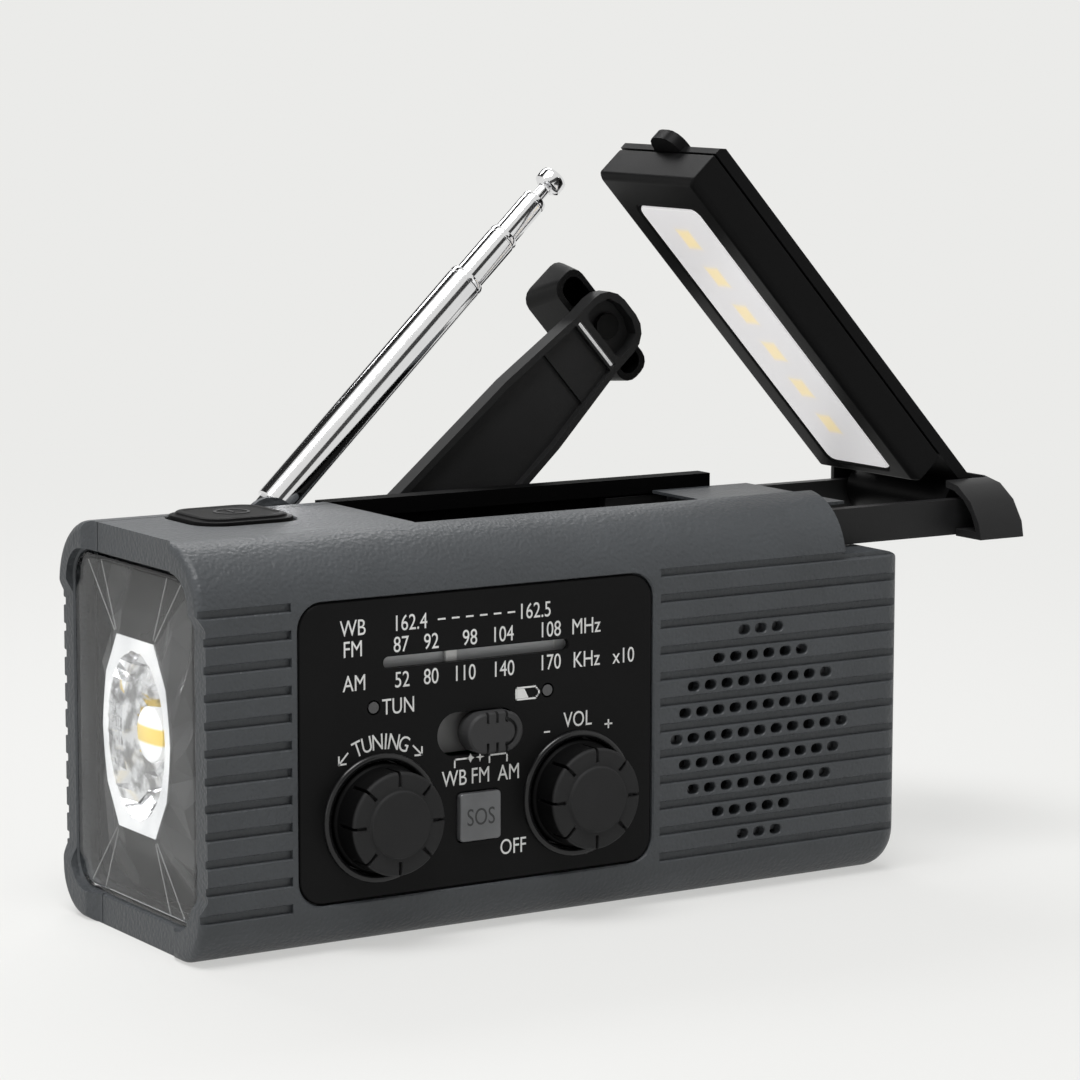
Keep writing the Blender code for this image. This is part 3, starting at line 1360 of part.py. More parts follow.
def make_knob(name, finish, x, with_shaft):
    bm = new_form()
    add_turned(bm, knob_profile(with_shaft), "Y", (x, 0, KNOB_Z), FINE_SIDES)
    knob = node(name, bm, finish, (x, KNOB_FACE_Y, KNOB_Z))
    slits = new_form()
    inner = KNOB_RADIUS - KNOB_SLIT_DEPTH
    outer = KNOB_RADIUS + OVERRUN
    half = KNOB_SLIT_WIDTH / 2
    for i in range(KNOB_SLITS):
        angle = math.tau * (i + 0.5) / KNOB_SLITS
        c, s = math.cos(angle), math.sin(angle)
        corners = ((inner, -half), (outer, -half), (outer, half), (inner, half))
        outline = [(x + u * c - v * s, KNOB_Z + u * s + v * c) for u, v in corners]
        add_prism(slits, [outline], "Y", KNOB_FACE_Y - OVERRUN, KNOB_SKIRT_Y - KNOB_EDGE)
    cut(knob, slits)


def make_tuning_shaft(finish):
    end = DISH_FLOOR_Y - GAP - KNOB_BORE_DEPTH + GAP
    drum_back = DRUM_FRONT_Y + DRUM_THICKNESS
    profile = [(0, end), (SHAFT_RADIUS, end), (SHAFT_RADIUS, DRUM_FRONT_Y), (DRUM_RADIUS, DRUM_FRONT_Y),
               (DRUM_RADIUS, drum_back), (SHAFT_RADIUS, drum_back), (SHAFT_RADIUS, board_back()),
               (0, board_back())]
    bm = new_form()
    add_turned(bm, profile, "Y", (TUNING_X, 0, KNOB_Z), FINE_SIDES)
    node("tuning_shaft", bm, finish, (TUNING_X, KNOB_FACE_Y, KNOB_Z))


def make_light_guide(finish):
    """Two round lights in the dial plate, with the clear bar that joins them behind it."""
    front = panel_back() + GAP
    (left, left_z), (right, right_z) = TUNED_LIGHT, CHARGE_LIGHT
    bm = new_form()
    add_box(bm, (left, front, right_z - LIGHT_RADIUS), (right, front + LIGHT_RADIUS, right_z + LIGHT_RADIUS))
    guide = node("light_guide", bm, finish)
    pipes = new_form()
    for x, z in (TUNED_LIGHT, CHARGE_LIGHT):
        add_rod(pipes, (x, panel_front(), z), (x, panel_front() + LIGHT_LENGTH, z), LIGHT_RADIUS,
                SMALL_SIDES)
    join(guide, pipes)


def make_band_switch(finish):
    middle = (SLOT_LEFT + SLOT_RIGHT) / 2
    bm = new_form()
    add_box(bm, (middle - SWITCH_LENGTH / 2, SWITCH_FRONT_Y, SWITCH_Z - SWITCH_HEIGHT / 2),
            (middle + SWITCH_LENGTH / 2, BOARD_FRONT_Y - GAP, SWITCH_Z + SWITCH_HEIGHT / 2))
    node("band_switch", bm, finish)


def make_band_switch_cap(finish):
    right = SLOT_RIGHT - GAP
    left = right - CAP_LENGTH
    half = CAP_HEIGHT / 2
    bm = new_form()
    outline = rounded_box((left, SWITCH_Z - half), (right, SWITCH_Z + half), (half - GAP,) * 4)
    add_prism(bm, [outline], "Y", CAP_FRONT_Y, panel_back() + GAP)
    bevel_where(bm, lambda co: near(co.y, CAP_FRONT_Y), CAP_NOTCH, 1)
    cap = node("band_switch_cap", bm, finish, ((left + right) / 2, CAP_FRONT_Y, SWITCH_Z))
    middle = (left + right) / 2
    stem = new_form()
    add_box(stem, (middle - CAP_STEM / 2, panel_back() - GAP, SWITCH_Z - CAP_STEM / 2),
            (middle + CAP_STEM / 2, SWITCH_FRONT_Y - GAP, SWITCH_Z + CAP_STEM / 2))
    join(cap, stem)
    notches = new_form()
    for i in (-1, 0, 1):
        x = middle + i * CAP_NOTCH_PITCH
        add_box(notches, (x - CAP_NOTCH / 2, CAP_FRONT_Y - OVERRUN, SWITCH_Z - half),
                (x + CAP_NOTCH / 2, CAP_FRONT_Y + CAP_NOTCH, SWITCH_Z + half))
    cut(cap, notches)


def make_sos_button(finish):
    back = panel_back() + GAP + SOS_FLANGE
    bm = new_form()
    add_prism(bm, [sos_outline(0.0)], "Y", panel_front() - SOS_PROUD, back)
    button = node("sos_button", bm, finish, (SOS_X, back, SOS_Z))
    flange = new_form()
    add_prism(flange, [sos_outline(SOS_FLANGE)], "Y", panel_back() + GAP, back - SHY)
    join(button, flange)


# Boards inside

def make_main_board(finish):
    """The board with what is soldered to it: chips, signal switch, volume control and cord guides."""
    holes = [circle((x, KNOB_Z), SHAFT_RADIUS + GAP, SMALL_SIDES) for x in (TUNING_X, VOLUME_X)]
    holes += [circle(place, SMALL_SCREW_RADIUS + GAP, SMALL_SIDES) for place in BOARD_SCREWS + BOARD_PINS]
    bm = new_form()
    add_prism(bm, [rectangle((BOARD_LEFT, BOARD_BOTTOM), (BOARD_RIGHT, BOARD_TOP))] + holes, "Y",
              BOARD_FRONT_Y, board_back())
    board = node("main_board", bm, finish)
    sunk = BOARD_FRONT_Y + GAP
    chips = new_form()
    for x, z, width, height in CHIP_PLACES:
        add_box(chips, (x - width / 2, BOARD_FRONT_Y - CHIP_THICKNESS, z - height / 2),
                (x + width / 2, sunk, z + height / 2))
    plunger = panel_back() + GAP + SOS_FLANGE + TACT_STROKE
    half = TACT_SIZE / 2
    add_box(chips, (SOS_X - half, plunger + TACT_STROKE, SOS_Z - half), (SOS_X + half, sunk, SOS_Z + half))
    add_rod(chips, (VOLUME_X, board_back() - GAP, KNOB_Z), (VOLUME_X, board_back() + POT_DEPTH, KNOB_Z),
            POT_RADIUS)
    head = GUIDE_FRONT_Y + GUIDE_HEAD
    for x, z in guide_places():
        profile = [(0, GUIDE_FRONT_Y), (GUIDE_HEAD_RADIUS, GUIDE_FRONT_Y), (GUIDE_HEAD_RADIUS, head),
                   (GUIDE_RADIUS, head), (GUIDE_RADIUS, sunk), (0, sunk)]
        add_turned(chips, profile, "Y", (x, 0, z), SMALL_SIDES)
    join(board, chips)
    rod = new_form()
    add_rod(rod, (SOS_X, plunger, SOS_Z), (SOS_X, sunk - GAP * 2, SOS_Z), half / 2, SMALL_SIDES)
    join(board, rod)


def make_tuning_capacitor(finish):
    front = board_back() + GAP
    half = CAPACITOR_SIZE / 2
    bm = new_form()
    add_box(bm, (TUNING_X - half, front, KNOB_Z - half),
            (TUNING_X + half, front + CAPACITOR_DEPTH, KNOB_Z + half))
    node("tuning_capacitor", bm, finish)


def make_torch_button(finish):
    low = BODY_HEIGHT - WALL - GAP - KEY_FLANGE
    top = BODY_HEIGHT + KEY_PROUD
    bm = new_form()
    add_prism(bm, [key_outline(0.0)], "Z", low, top)
    bevel_where(bm, lambda co: near(co.z, top), KEY_FLANGE_WIDTH, 2)
    button = node("torch_button", bm, finish, (KEY_X, KEY_Y, low))
    flange = new_form()
    add_prism(flange, [key_outline(GAP + KEY_FLANGE_WIDTH)], "Z", low + SHY, low + KEY_FLANGE)
    join(button, flange)


def make_torch_switch(finish):
    """The small board under the torch button, with its switch."""
    low_y = KEY_POST_Y - BOARD_POST_RADIUS - KEY_FLANGE_WIDTH
    bottom = KEY_BOARD_TOP_Z - KEY_BOARD_THICKNESS
    holes = [circle((KEY_X + side * KEY_POST_SPACING / 2, KEY_POST_Y), KEY_PIN_RADIUS + GAP, SMALL_SIDES)
             for side in (-1, 1)]
    bm = new_form()
    add_prism(bm, [rectangle((KEY_X - KEY_BOARD_LENGTH / 2, low_y),
                             (KEY_X + KEY_BOARD_LENGTH / 2, low_y + KEY_BOARD_DEPTH))] + holes,
              "Z", bottom, KEY_BOARD_TOP_Z)
    board = node("torch_switch", bm, finish)
    plunger = BODY_HEIGHT - WALL - GAP - KEY_FLANGE - TACT_STROKE
    half = TACT_SIZE / 2
    body = new_form()
    add_box(body, (KEY_X - half, KEY_Y - half, bottom + GAP),
            (KEY_X + half, KEY_Y + half, plunger - TACT_STROKE))
    join(board, body)
    rod = new_form()
    add_rod(rod, (KEY_X, KEY_Y, bottom + GAP * 2), (KEY_X, KEY_Y, plunger), half / 2, SMALL_SIDES)
    join(board, rod)


# Speaker

def speaker_z():
    return RIB_LOWEST_Z + RIB_PITCH * len(HOLE_ROW_COUNTS) / 2


def make_speaker_frame(finish):
    front = INNER_FRONT + GAP
    back = front + SPEAKER_DEPTH
    rim_inner = SPEAKER_RADIUS - SPEAKER_RIM * 2
    floor = back - BASKET_WALL
    profile = [(0, floor), (MAGNET_RADIUS - BASKET_WALL, floor), (rim_inner, front + SPEAKER_RIM),
               (rim_inner, front), (SPEAKER_RADIUS, front), (SPEAKER_RADIUS, front + SPEAKER_RIM),
               (rim_inner + BASKET_WALL, front + SPEAKER_RIM), (MAGNET_RADIUS + BASKET_WALL, back),
               (MAGNET_RADIUS, back), (MAGNET_RADIUS, back + MAGNET_DEPTH), (0, back + MAGNET_DEPTH)]
    bm = new_form()
    add_turned(bm, profile, "Y", (SPEAKER_X, 0, speaker_z()), FINE_SIDES)
    node("speaker_frame", bm, finish)


def make_speaker_cone(finish):
    front = INNER_FRONT + GAP * 2
    edge = SPEAKER_RADIUS - SPEAKER_RIM * 2 - GAP
    neck = MAGNET_RADIUS * CONE_NECK_SHARE
    depth = SPEAKER_DEPTH * CONE_DEPTH_SHARE
    dome, dome_edge = (depth * share for share in CONE_DOME_SHARES)
    sheet = GAP * 2
    profile = [(0, front + dome), (neck / 2, front + dome_edge), (neck, front + depth),
               (edge - SPEAKER_RIM, front + sheet), (edge - SPEAKER_RIM / 2, front), (edge, front),
               (edge, front + sheet), (edge - SPEAKER_RIM, front + sheet * 2), (neck, front + depth + sheet),
               (0, front + depth + sheet)]
    bm = new_form()
    add_turned(bm, profile, "Y", (SPEAKER_X, 0, speaker_z()), FINE_SIDES)
    node("speaker_cone", bm, finish)


# Battery

def make_battery_cell(finish):
    left = CELL_X - CELL_LENGTH / 2
    right = CELL_X + CELL_LENGTH / 2
    shoulder = right - CELL_NUB
    profile = [(0, left), (CELL_RADIUS, left), (CELL_RADIUS, shoulder), (CELL_NUB_RADIUS, shoulder),
               (CELL_NUB_RADIUS, right), (0, right)]
    bm = new_form()
    add_turned(bm, profile, "X", (0, CELL_Y, CELL_Z), ROUND_SIDES)
    node("battery_cell", bm, finish)


def make_battery_holder(finish):
    half = CELL_RADIUS + GAP + HOLDER_WALL
    reach = CELL_LENGTH / 2 + GAP * 2
    floor = WALL + GAP
    bm = new_form()
    add_box(bm, (CELL_X - reach - HOLDER_WALL, CELL_Y - half, floor),
            (CELL_X + reach + HOLDER_WALL, CELL_Y + half, floor + HOLDER_HEIGHT))
    holder = node("battery_holder", bm, finish)
    room = new_form()
    add_rod(room, (CELL_X - reach, CELL_Y, CELL_Z), (CELL_X + reach, CELL_Y, CELL_Z), CELL_RADIUS + GAP * 2)
    cut(holder, room)


# Lamp tray, slide and end cap

def make_lamp_tray(finish):
    """The black channel that the slide runs in, with a raised lip along the back of the opening."""
    right = UPPER_END_X - GAP
    inner = tray_left() + TRAY_END_WALL
    bottom = TRAY_FLOOR_Z - TRAY_FLOOR
    inner_y = TRAY_HALF_WIDTH - TRAY_WALL
    bm = new_form()
    add_box(bm, (tray_left(), -TRAY_HALF_WIDTH, bottom), (right, TRAY_HALF_WIDTH, TRAY_ROOF_Z + TRAY_ROOF))
    tray = node("lamp_tray", bm, finish)
    lip = new_form()
    add_box(lip, (BAY_LEFT + GAP, BAY_HALF_WIDTH, TRAY_ROOF_Z + TRAY_ROOF / 2),
            (right - SHY, TRAY_HALF_WIDTH - SHY, TRAY_TOP_Z))
    join(tray, lip)
    room = new_form()
    add_box(room, (inner, -inner_y, TRAY_FLOOR_Z), (right + OVERRUN, inner_y, TRAY_ROOF_Z))
    cut(tray, room)
    opening = new_form()
    add_box(opening, (inner, -BAY_HALF_WIDTH - GAP / 2, TRAY_FLOOR_Z + OVERRUN),
            (right + OVERRUN, BAY_HALF_WIDTH + GAP / 2, TRAY_TOP_Z + OVERRUN))
    cut(tray, opening)


def make_lamp_slide(finish):
    """The slide of the lamp: the casing's end above the shoulder, with its two rails."""
    inner_end = CAP_RIGHT_X - CAP_END_WALL
    far = BODY_DEPTH
    bm = new_form()
    add_prism(bm, [casing_section()], "X", CAP_LEFT_X, CAP_RIGHT_X)
    bevel_where(bm, lambda co: near(co.x, CAP_RIGHT_X), CAP_ROUND, CORNER_STEPS)
    cap = node("lamp_slide", bm, finish)
    below = new_form()
    add_box(below, (CAP_LEFT_X - OVERRUN, -far, -far), (CAP_RIGHT_X + OVERRUN, far, CAP_FLOOR_Z))
    cut(cap, below)
    notch = new_form()
    add_box(notch, (CAP_LEFT_X - OVERRUN, GROOVE_Y, GROOVE_Z),
            (CAP_RIGHT_X + OVERRUN, far, BODY_HEIGHT + OVERRUN))
    cut(cap, notch)

    radius = TOP_RADIUS - CAP_WALL
    middle_z = BODY_HEIGHT - TOP_RADIUS
    floor = CAP_FLOOR_Z + CAP_WALL
    low_turn = 2 - math.asin((floor - middle_z) / radius) / (math.pi / 2)
    back = TRAY_HALF_WIDTH - TRAY_WALL
    outline = [(back, floor), (back, BODY_HEIGHT - CAP_WALL)]
    outline += arc((FRONT + TOP_RADIUS, middle_z), radius, 1, low_turn, CORNER_STEPS)
    hollow = new_form()
    hollow_end = CAP_RIGHT_X - CAP_ROUND + CAP_WALL
    add_prism(hollow, [outline], "X", CAP_LEFT_X - OVERRUN, hollow_end)
    cut(cap, hollow)
    floor_room = new_form()
    add_box(floor_room, (CAP_LEFT_X - OVERRUN, -back, CAP_FLOOR_Z - OVERRUN),
            (hollow_end, back, floor + CAP_WALL))
    cut(cap, floor_room)
    half = BAY_HALF_WIDTH
    root = new_form()
    add_box(root, (CAP_LEFT_X - OVERRUN, -half, CAP_FLOOR_Z - OVERRUN),
            (inner_end, half, BODY_HEIGHT + OVERRUN))
    cut(cap, root)
    rails = new_form()
    for side in (-1, 1):
        low, high = sorted((side * RAIL_INNER_Y, side * (RAIL_INNER_Y + RAIL_THICKNESS)))
        add_prism(rails, [rectangle((RAIL_LEFT_X, RAIL_BOTTOM_Z), (inner_end + GAP, RAIL_TOP_Z)),
                          circle((LAMP_HINGE_X, LAMP_HINGE_Z), LAMP_PIN_RADIUS + GAP, SMALL_SIDES)],
                  "Y", low, high)
    join(cap, rails)


def make_lamp_hinge_pin(finish):
    reach = RAIL_INNER_Y + RAIL_THICKNESS
    bm = new_form()
    add_rod(bm, (LAMP_HINGE_X, -reach, LAMP_HINGE_Z), (LAMP_HINGE_X, reach, LAMP_HINGE_Z), LAMP_PIN_RADIUS,
            SMALL_SIDES)
    node("lamp_hinge_pin", bm, finish)


def make_lamp_leaf(finish):
    """The springy cover plate behind the raised lamp, hooked between the rails."""
    hook_length, hook_height = LEAF_HOOK
    low = LEAF_TOP_Z - LEAF_THICKNESS
    tip = RAIL_TOP_Z - GAP / 3
    bm = new_form()
    add_box(bm, (LEAF_LEFT_X, -LEAF_HALF_WIDTH, low), (LEAF_RIGHT_X, LEAF_HALF_WIDTH, LEAF_TOP_Z))
    leaf = node("lamp_leaf", bm, finish)
    for start in (LEAF_LEFT_X + hook_length, LEAF_RIGHT_X - 2 * hook_length):
        for side in (-1, 1):
            hook = new_form()
            post = sorted((side * (LEAF_HALF_WIDTH - LEAF_THICKNESS), side * (LEAF_HALF_WIDTH - SHY)))
            add_box(hook, (start, post[0], tip - hook_height),
                    (start + hook_length, post[1], low + LEAF_THICKNESS / 2))
            join(leaf, hook)
            toe = new_form()
            span = sorted((side * (LEAF_HALF_WIDTH - LEAF_THICKNESS / 2), side * (RAIL_INNER_Y - GAP)))
            add_box(toe, (start + SHY, span[0], tip - hook_height + SHY),
                    (start + hook_length - SHY, span[1], tip))
            join(leaf, toe)


# Reading lamp

def lamp_x(distance):
    """X of a place on the folded lamp, given by its distance from the hinge."""
    return LAMP_HINGE_X - distance


def lamp_node(name, bm, finish):
    return node(name, bm, finish, (LAMP_HINGE_X, 0, LAMP_HINGE_Z), (0, LAMP_ANGLE, 0))


def make_lamp_cover(finish):
    top = LAMP_HINGE_Z + BARREL_RADIUS
    low = top - COVER_THICKNESS
    drop = BARREL_RADIUS - COVER_THICKNESS
    meet = 2 - math.asin(drop / BARREL_RADIUS) / (math.pi / 2)
    edge = HOUSING_EDGE
    barrel = arc((LAMP_HINGE_X, LAMP_HINGE_Z), BARREL_RADIUS, meet, 5, CORNER_STEPS * 4)
    outline = [(lamp_x(LAMP_LENGTH), low)] + barrel + [(lamp_x(LAMP_LENGTH - edge), top),
                                                       (lamp_x(LAMP_LENGTH), top - edge)]
    bm = new_form()
    add_prism(bm, [outline, circle((LAMP_HINGE_X, LAMP_HINGE_Z), LAMP_PIN_RADIUS + GAP, SMALL_SIDES)], "Y",
              -LAMP_HALF_WIDTH, LAMP_HALF_WIDTH)
    cover = lamp_node("lamp_cover", bm, finish)
    tab = new_form()
    half = TAB_WIDTH / 2
    radius = TAB_LENGTH - WELD
    add_prism(tab, [rounded_box((lamp_x(LAMP_LENGTH + TAB_LENGTH), -half),
                                (lamp_x(LAMP_LENGTH - edge * 2), half),
                                (radius, WELD, WELD, radius))], "Z", low + SHY, top - SHY)
    join(cover, tab)
    recess = new_form()
    add_box(recess, (lamp_x(SOLAR_END + GAP), -SOLAR_HALF_WIDTH - GAP, top - SOLAR_THICKNESS - GAP),
            (lamp_x(SOLAR_START - GAP), SOLAR_HALF_WIDTH + GAP, top + OVERRUN))
    cut(cover, recess)


def make_lamp_housing(finish):
    face = LAMP_HINGE_Z - LAMP_FACE_DROP
    top = LAMP_HINGE_Z + BARREL_RADIUS - COVER_THICKNESS - GAP
    bm = new_form()
    add_box(bm, (lamp_x(LAMP_LENGTH), -LAMP_HALF_WIDTH, face),
            (lamp_x(HOUSING_START), LAMP_HALF_WIDTH, top))
    bevel_where(bm, lambda co: near(co.z, face), HOUSING_EDGE, 1)
    housing = lamp_node("lamp_housing", bm, finish)
    pocket = new_form()
    half = DIFFUSER_HALF_WIDTH + GAP
    radius = (DIFFUSER_RADIUS,) * 4
    add_prism(pocket, [rounded_box((lamp_x(DIFFUSER_END + GAP), -half), (lamp_x(DIFFUSER_START - GAP), half),
                                   radius, EDGE_STEPS)], "Z", face - OVERRUN, face + POCKET_DEPTH)
    cut(housing, pocket)


def make_lamp_diffuser(finish):
    low = LAMP_HINGE_Z - LAMP_FACE_DROP + GAP
    half = DIFFUSER_HALF_WIDTH
    bm = new_form()
    add_prism(bm, [rounded_box((lamp_x(DIFFUSER_END), -half), (lamp_x(DIFFUSER_START), half),
                               (DIFFUSER_RADIUS,) * 4, EDGE_STEPS)], "Z", low, low + DIFFUSER_THICKNESS)
    lamp_node("lamp_diffuser", bm, finish)


def strip_low():
    return LAMP_HINGE_Z - LAMP_FACE_DROP + POCKET_DEPTH - GAP - STRIP_THICKNESS


def make_lamp_led_board(finish):
    """The strip in the lamp with its six lights."""
    low = strip_low()
    bm = new_form()
    add_box(bm, (lamp_x(DIFFUSER_END), -STRIP_HALF_WIDTH, low),
            (lamp_x(DIFFUSER_START), STRIP_HALF_WIDTH, low + STRIP_THICKNESS))
    strip = lamp_node("lamp_led_board", bm, finish)
    half = LED_SIZE / 2
    lights = new_form()
    for i in range(LED_COUNT):
        x = lamp_x(LED_FIRST + LED_PITCH * i)
        add_box(lights, (x - half, -half, low - LED_THICKNESS), (x + half, half, low + STRIP_THICKNESS / 2))
    join(strip, lights)


def make_solar_panel(finish):
    top = LAMP_HINGE_Z + BARREL_RADIUS
    bm = new_form()
    add_box(bm, (lamp_x(SOLAR_END), -SOLAR_HALF_WIDTH, top - SOLAR_THICKNESS),
            (lamp_x(SOLAR_START), SOLAR_HALF_WIDTH, top))
    lamp_node("solar_panel", bm, finish)


# Gearbox and generator

def idler_place():
    """The intermediate gear's centre, below the line from the hub to the rotor."""
    first = GEAR_MODULE * (CRANK_TEETH + IDLER_PINION_TEETH) / 2 + GEAR_SLACK
    second = GEAR_MODULE * (IDLER_WHEEL_TEETH + ROTOR_TEETH) / 2 + GEAR_SLACK
    span = math.hypot(ROTOR_X - HUB_X, ROTOR_Z - HUB_Z)
    along = (first ** 2 - second ** 2 + span ** 2) / (2 * span)
    aside = math.sqrt(first ** 2 - along ** 2)
    way = ((ROTOR_X - HUB_X) / span, (ROTOR_Z - HUB_Z) / span)
    return HUB_X + way[0] * along + way[1] * aside, HUB_Z + way[1] * along - way[0] * aside


def gear_phases():
    """Angles of the first teeth, so that each tooth lies in its neighbour's gap."""
    idler = idler_place()
    to_idler = math.atan2(idler[1] - HUB_Z, idler[0] - HUB_X)
    to_rotor = math.atan2(ROTOR_Z - idler[1], ROTOR_X - idler[0])
    pinion = to_idler + math.pi + math.pi / IDLER_PINION_TEETH
    rotor = to_rotor + math.pi + math.pi / ROTOR_TEETH
    return to_idler, pinion, to_rotor, rotor


def gear_at(place, teeth, phase):
    return [(place[0] + x, place[1] + z) for x, z in gear_outline(teeth, phase)]


def make_gearbox_plate(finish):
    places = GEAR_PLATE_SCREWS + GEAR_PLATE_PINS
    low = tuple(min(place[i] for place in places) - GEAR_PLATE_MARGIN for i in (0, 1))
    high = tuple(max(place[i] for place in places) + GEAR_PLATE_MARGIN for i in (0, 1))
    holes = [circle(place, SMALL_SCREW_RADIUS + GAP, SMALL_SIDES) for place in places]
    holes += [circle((HUB_X, HUB_Z), CRANK_SHAFT_RADIUS + GAP, ROUND_SIDES),
              circle(idler_place(), AXLE_RADIUS + GAP, SMALL_SIDES),
              circle((ROTOR_X, ROTOR_Z), ROTOR_SHAFT_RADIUS + GAP, SMALL_SIDES)]
    bm = new_form()
    add_prism(bm, [rectangle(low, high)] + holes, "Y", PLATE_FRONT_Y, PLATE_FRONT_Y + GEAR_PLATE)
    node("gearbox_plate", bm, finish)


def make_gear_axle(finish):
    x, z = idler_place()
    bm = new_form()
    add_rod(bm, (x, PLATE_FRONT_Y, z), (x, INNER_BACK - GAP, z), AXLE_RADIUS, SMALL_SIDES)
    node("gear_axle", bm, finish)


def make_generator_body(finish):
    back = PLATE_FRONT_Y - GAP
    bore = ROTOR_SHAFT_RADIUS + GAP
    front = back - GENERATOR_LENGTH
    profile = [(0, front), (GENERATOR_RADIUS, front), (GENERATOR_RADIUS, back), (bore, back),
               (bore, back - OVERRUN - GAP), (0, back - OVERRUN - GAP)]
    bm = new_form()
    add_turned(bm, profile, "Y", (ROTOR_X, 0, ROTOR_Z), FINE_SIDES)
    node("generator_body", bm, finish)


def make_generator_pinion(finish):
    phase = gear_phases()[3]
    start = PLATE_FRONT_Y - GAP - OVERRUN
    bm = new_form()
    add_prism(bm, [gear_at((ROTOR_X, ROTOR_Z), ROTOR_TEETH, phase)], "Y", IDLER_WHEEL_Y,
              IDLER_WHEEL_Y + GEAR_WIDTH)
    pinion = node("generator_pinion", bm, finish, (ROTOR_X, IDLER_WHEEL_Y, ROTOR_Z))
    shaft = new_form()
    add_rod(shaft, (ROTOR_X, start, ROTOR_Z), (ROTOR_X, IDLER_WHEEL_Y + GEAR_WIDTH + GAP, ROTOR_Z),
            ROTOR_SHAFT_RADIUS, SMALL_SIDES)
    join(pinion, shaft)


def make_intermediate_gear(finish):
    place = idler_place()
    phases = gear_phases()
    bore = circle(place, AXLE_RADIUS + GAP, SMALL_SIDES)
    bm = new_form()
    add_prism(bm, [gear_at(place, IDLER_WHEEL_TEETH, phases[2]), bore], "Y", IDLER_WHEEL_Y,
              IDLER_WHEEL_Y + GEAR_WIDTH)
    gear = node("intermediate_gear", bm, finish, (place[0], IDLER_WHEEL_Y, place[1]))
    hub = new_form()
    hub_radius = GEAR_MODULE * IDLER_PINION_TEETH / 2 * IDLER_HUB_SHARE
    add_prism(hub, [circle(place, hub_radius, ROUND_SIDES), bore], "Y", IDLER_WHEEL_Y + GEAR_WIDTH / 2,
              CRANK_GEAR_Y + GEAR_WIDTH / 2)
    join(gear, hub)
    pinion = new_form()
    add_prism(pinion, [gear_at(place, IDLER_PINION_TEETH, phases[1]), bore], "Y", CRANK_GEAR_Y,
              CRANK_GEAR_Y + GEAR_WIDTH)
    join(gear, pinion)


def crank_node(name, bm, finish, turn=(0, 0, 0)):
    return node(name, bm, finish, (HUB_X, CRANK_FRONT_Y, HUB_Z), turn)


def make_crank_shaft(finish):
    """The crank's shaft with the large gear on it."""
    phase = gear_phases()[0]
    bm = new_form()
    add_prism(bm, [gear_at((HUB_X, HUB_Z), CRANK_TEETH, phase)], "Y", CRANK_GEAR_Y,
              CRANK_GEAR_Y + GEAR_WIDTH)
    gear = crank_node("crank_shaft", bm, finish)
    shaft = new_form()
    end = CRANK_FRONT_Y + CRANK_THICKNESS - 3 * GAP
    add_rod(shaft, (HUB_X, CRANK_SHAFT_START_Y, HUB_Z), (HUB_X, end, HUB_Z), CRANK_SHAFT_RADIUS, ROUND_SIDES)
    join(gear, shaft)


def arm_outline(inset, start, end):
    """The crank arm between two distances from the hub, drawn in from its edge."""
    points = [(x, half) for x, half in ARM_WIDTHS if start < x < end]
    points = [(start, arm_half(start))] + points + [(end, arm_half(end))]
    upper = [(HUB_X + x, HUB_Z + half - inset) for x, half in points]
    lower = [(HUB_X + x, HUB_Z - half + inset) for x, half in reversed(points)]
    return upper + lower


def arm_half(distance):
    """Half the arm's width at a distance from the hub."""
    for (x0, half0), (x1, half1) in zip(ARM_WIDTHS, ARM_WIDTHS[1:]):
        if x0 <= distance <= x1:
            return half0 + (half1 - half0) * (distance - x0) / (x1 - x0)
    return ARM_WIDTHS[-1][1]


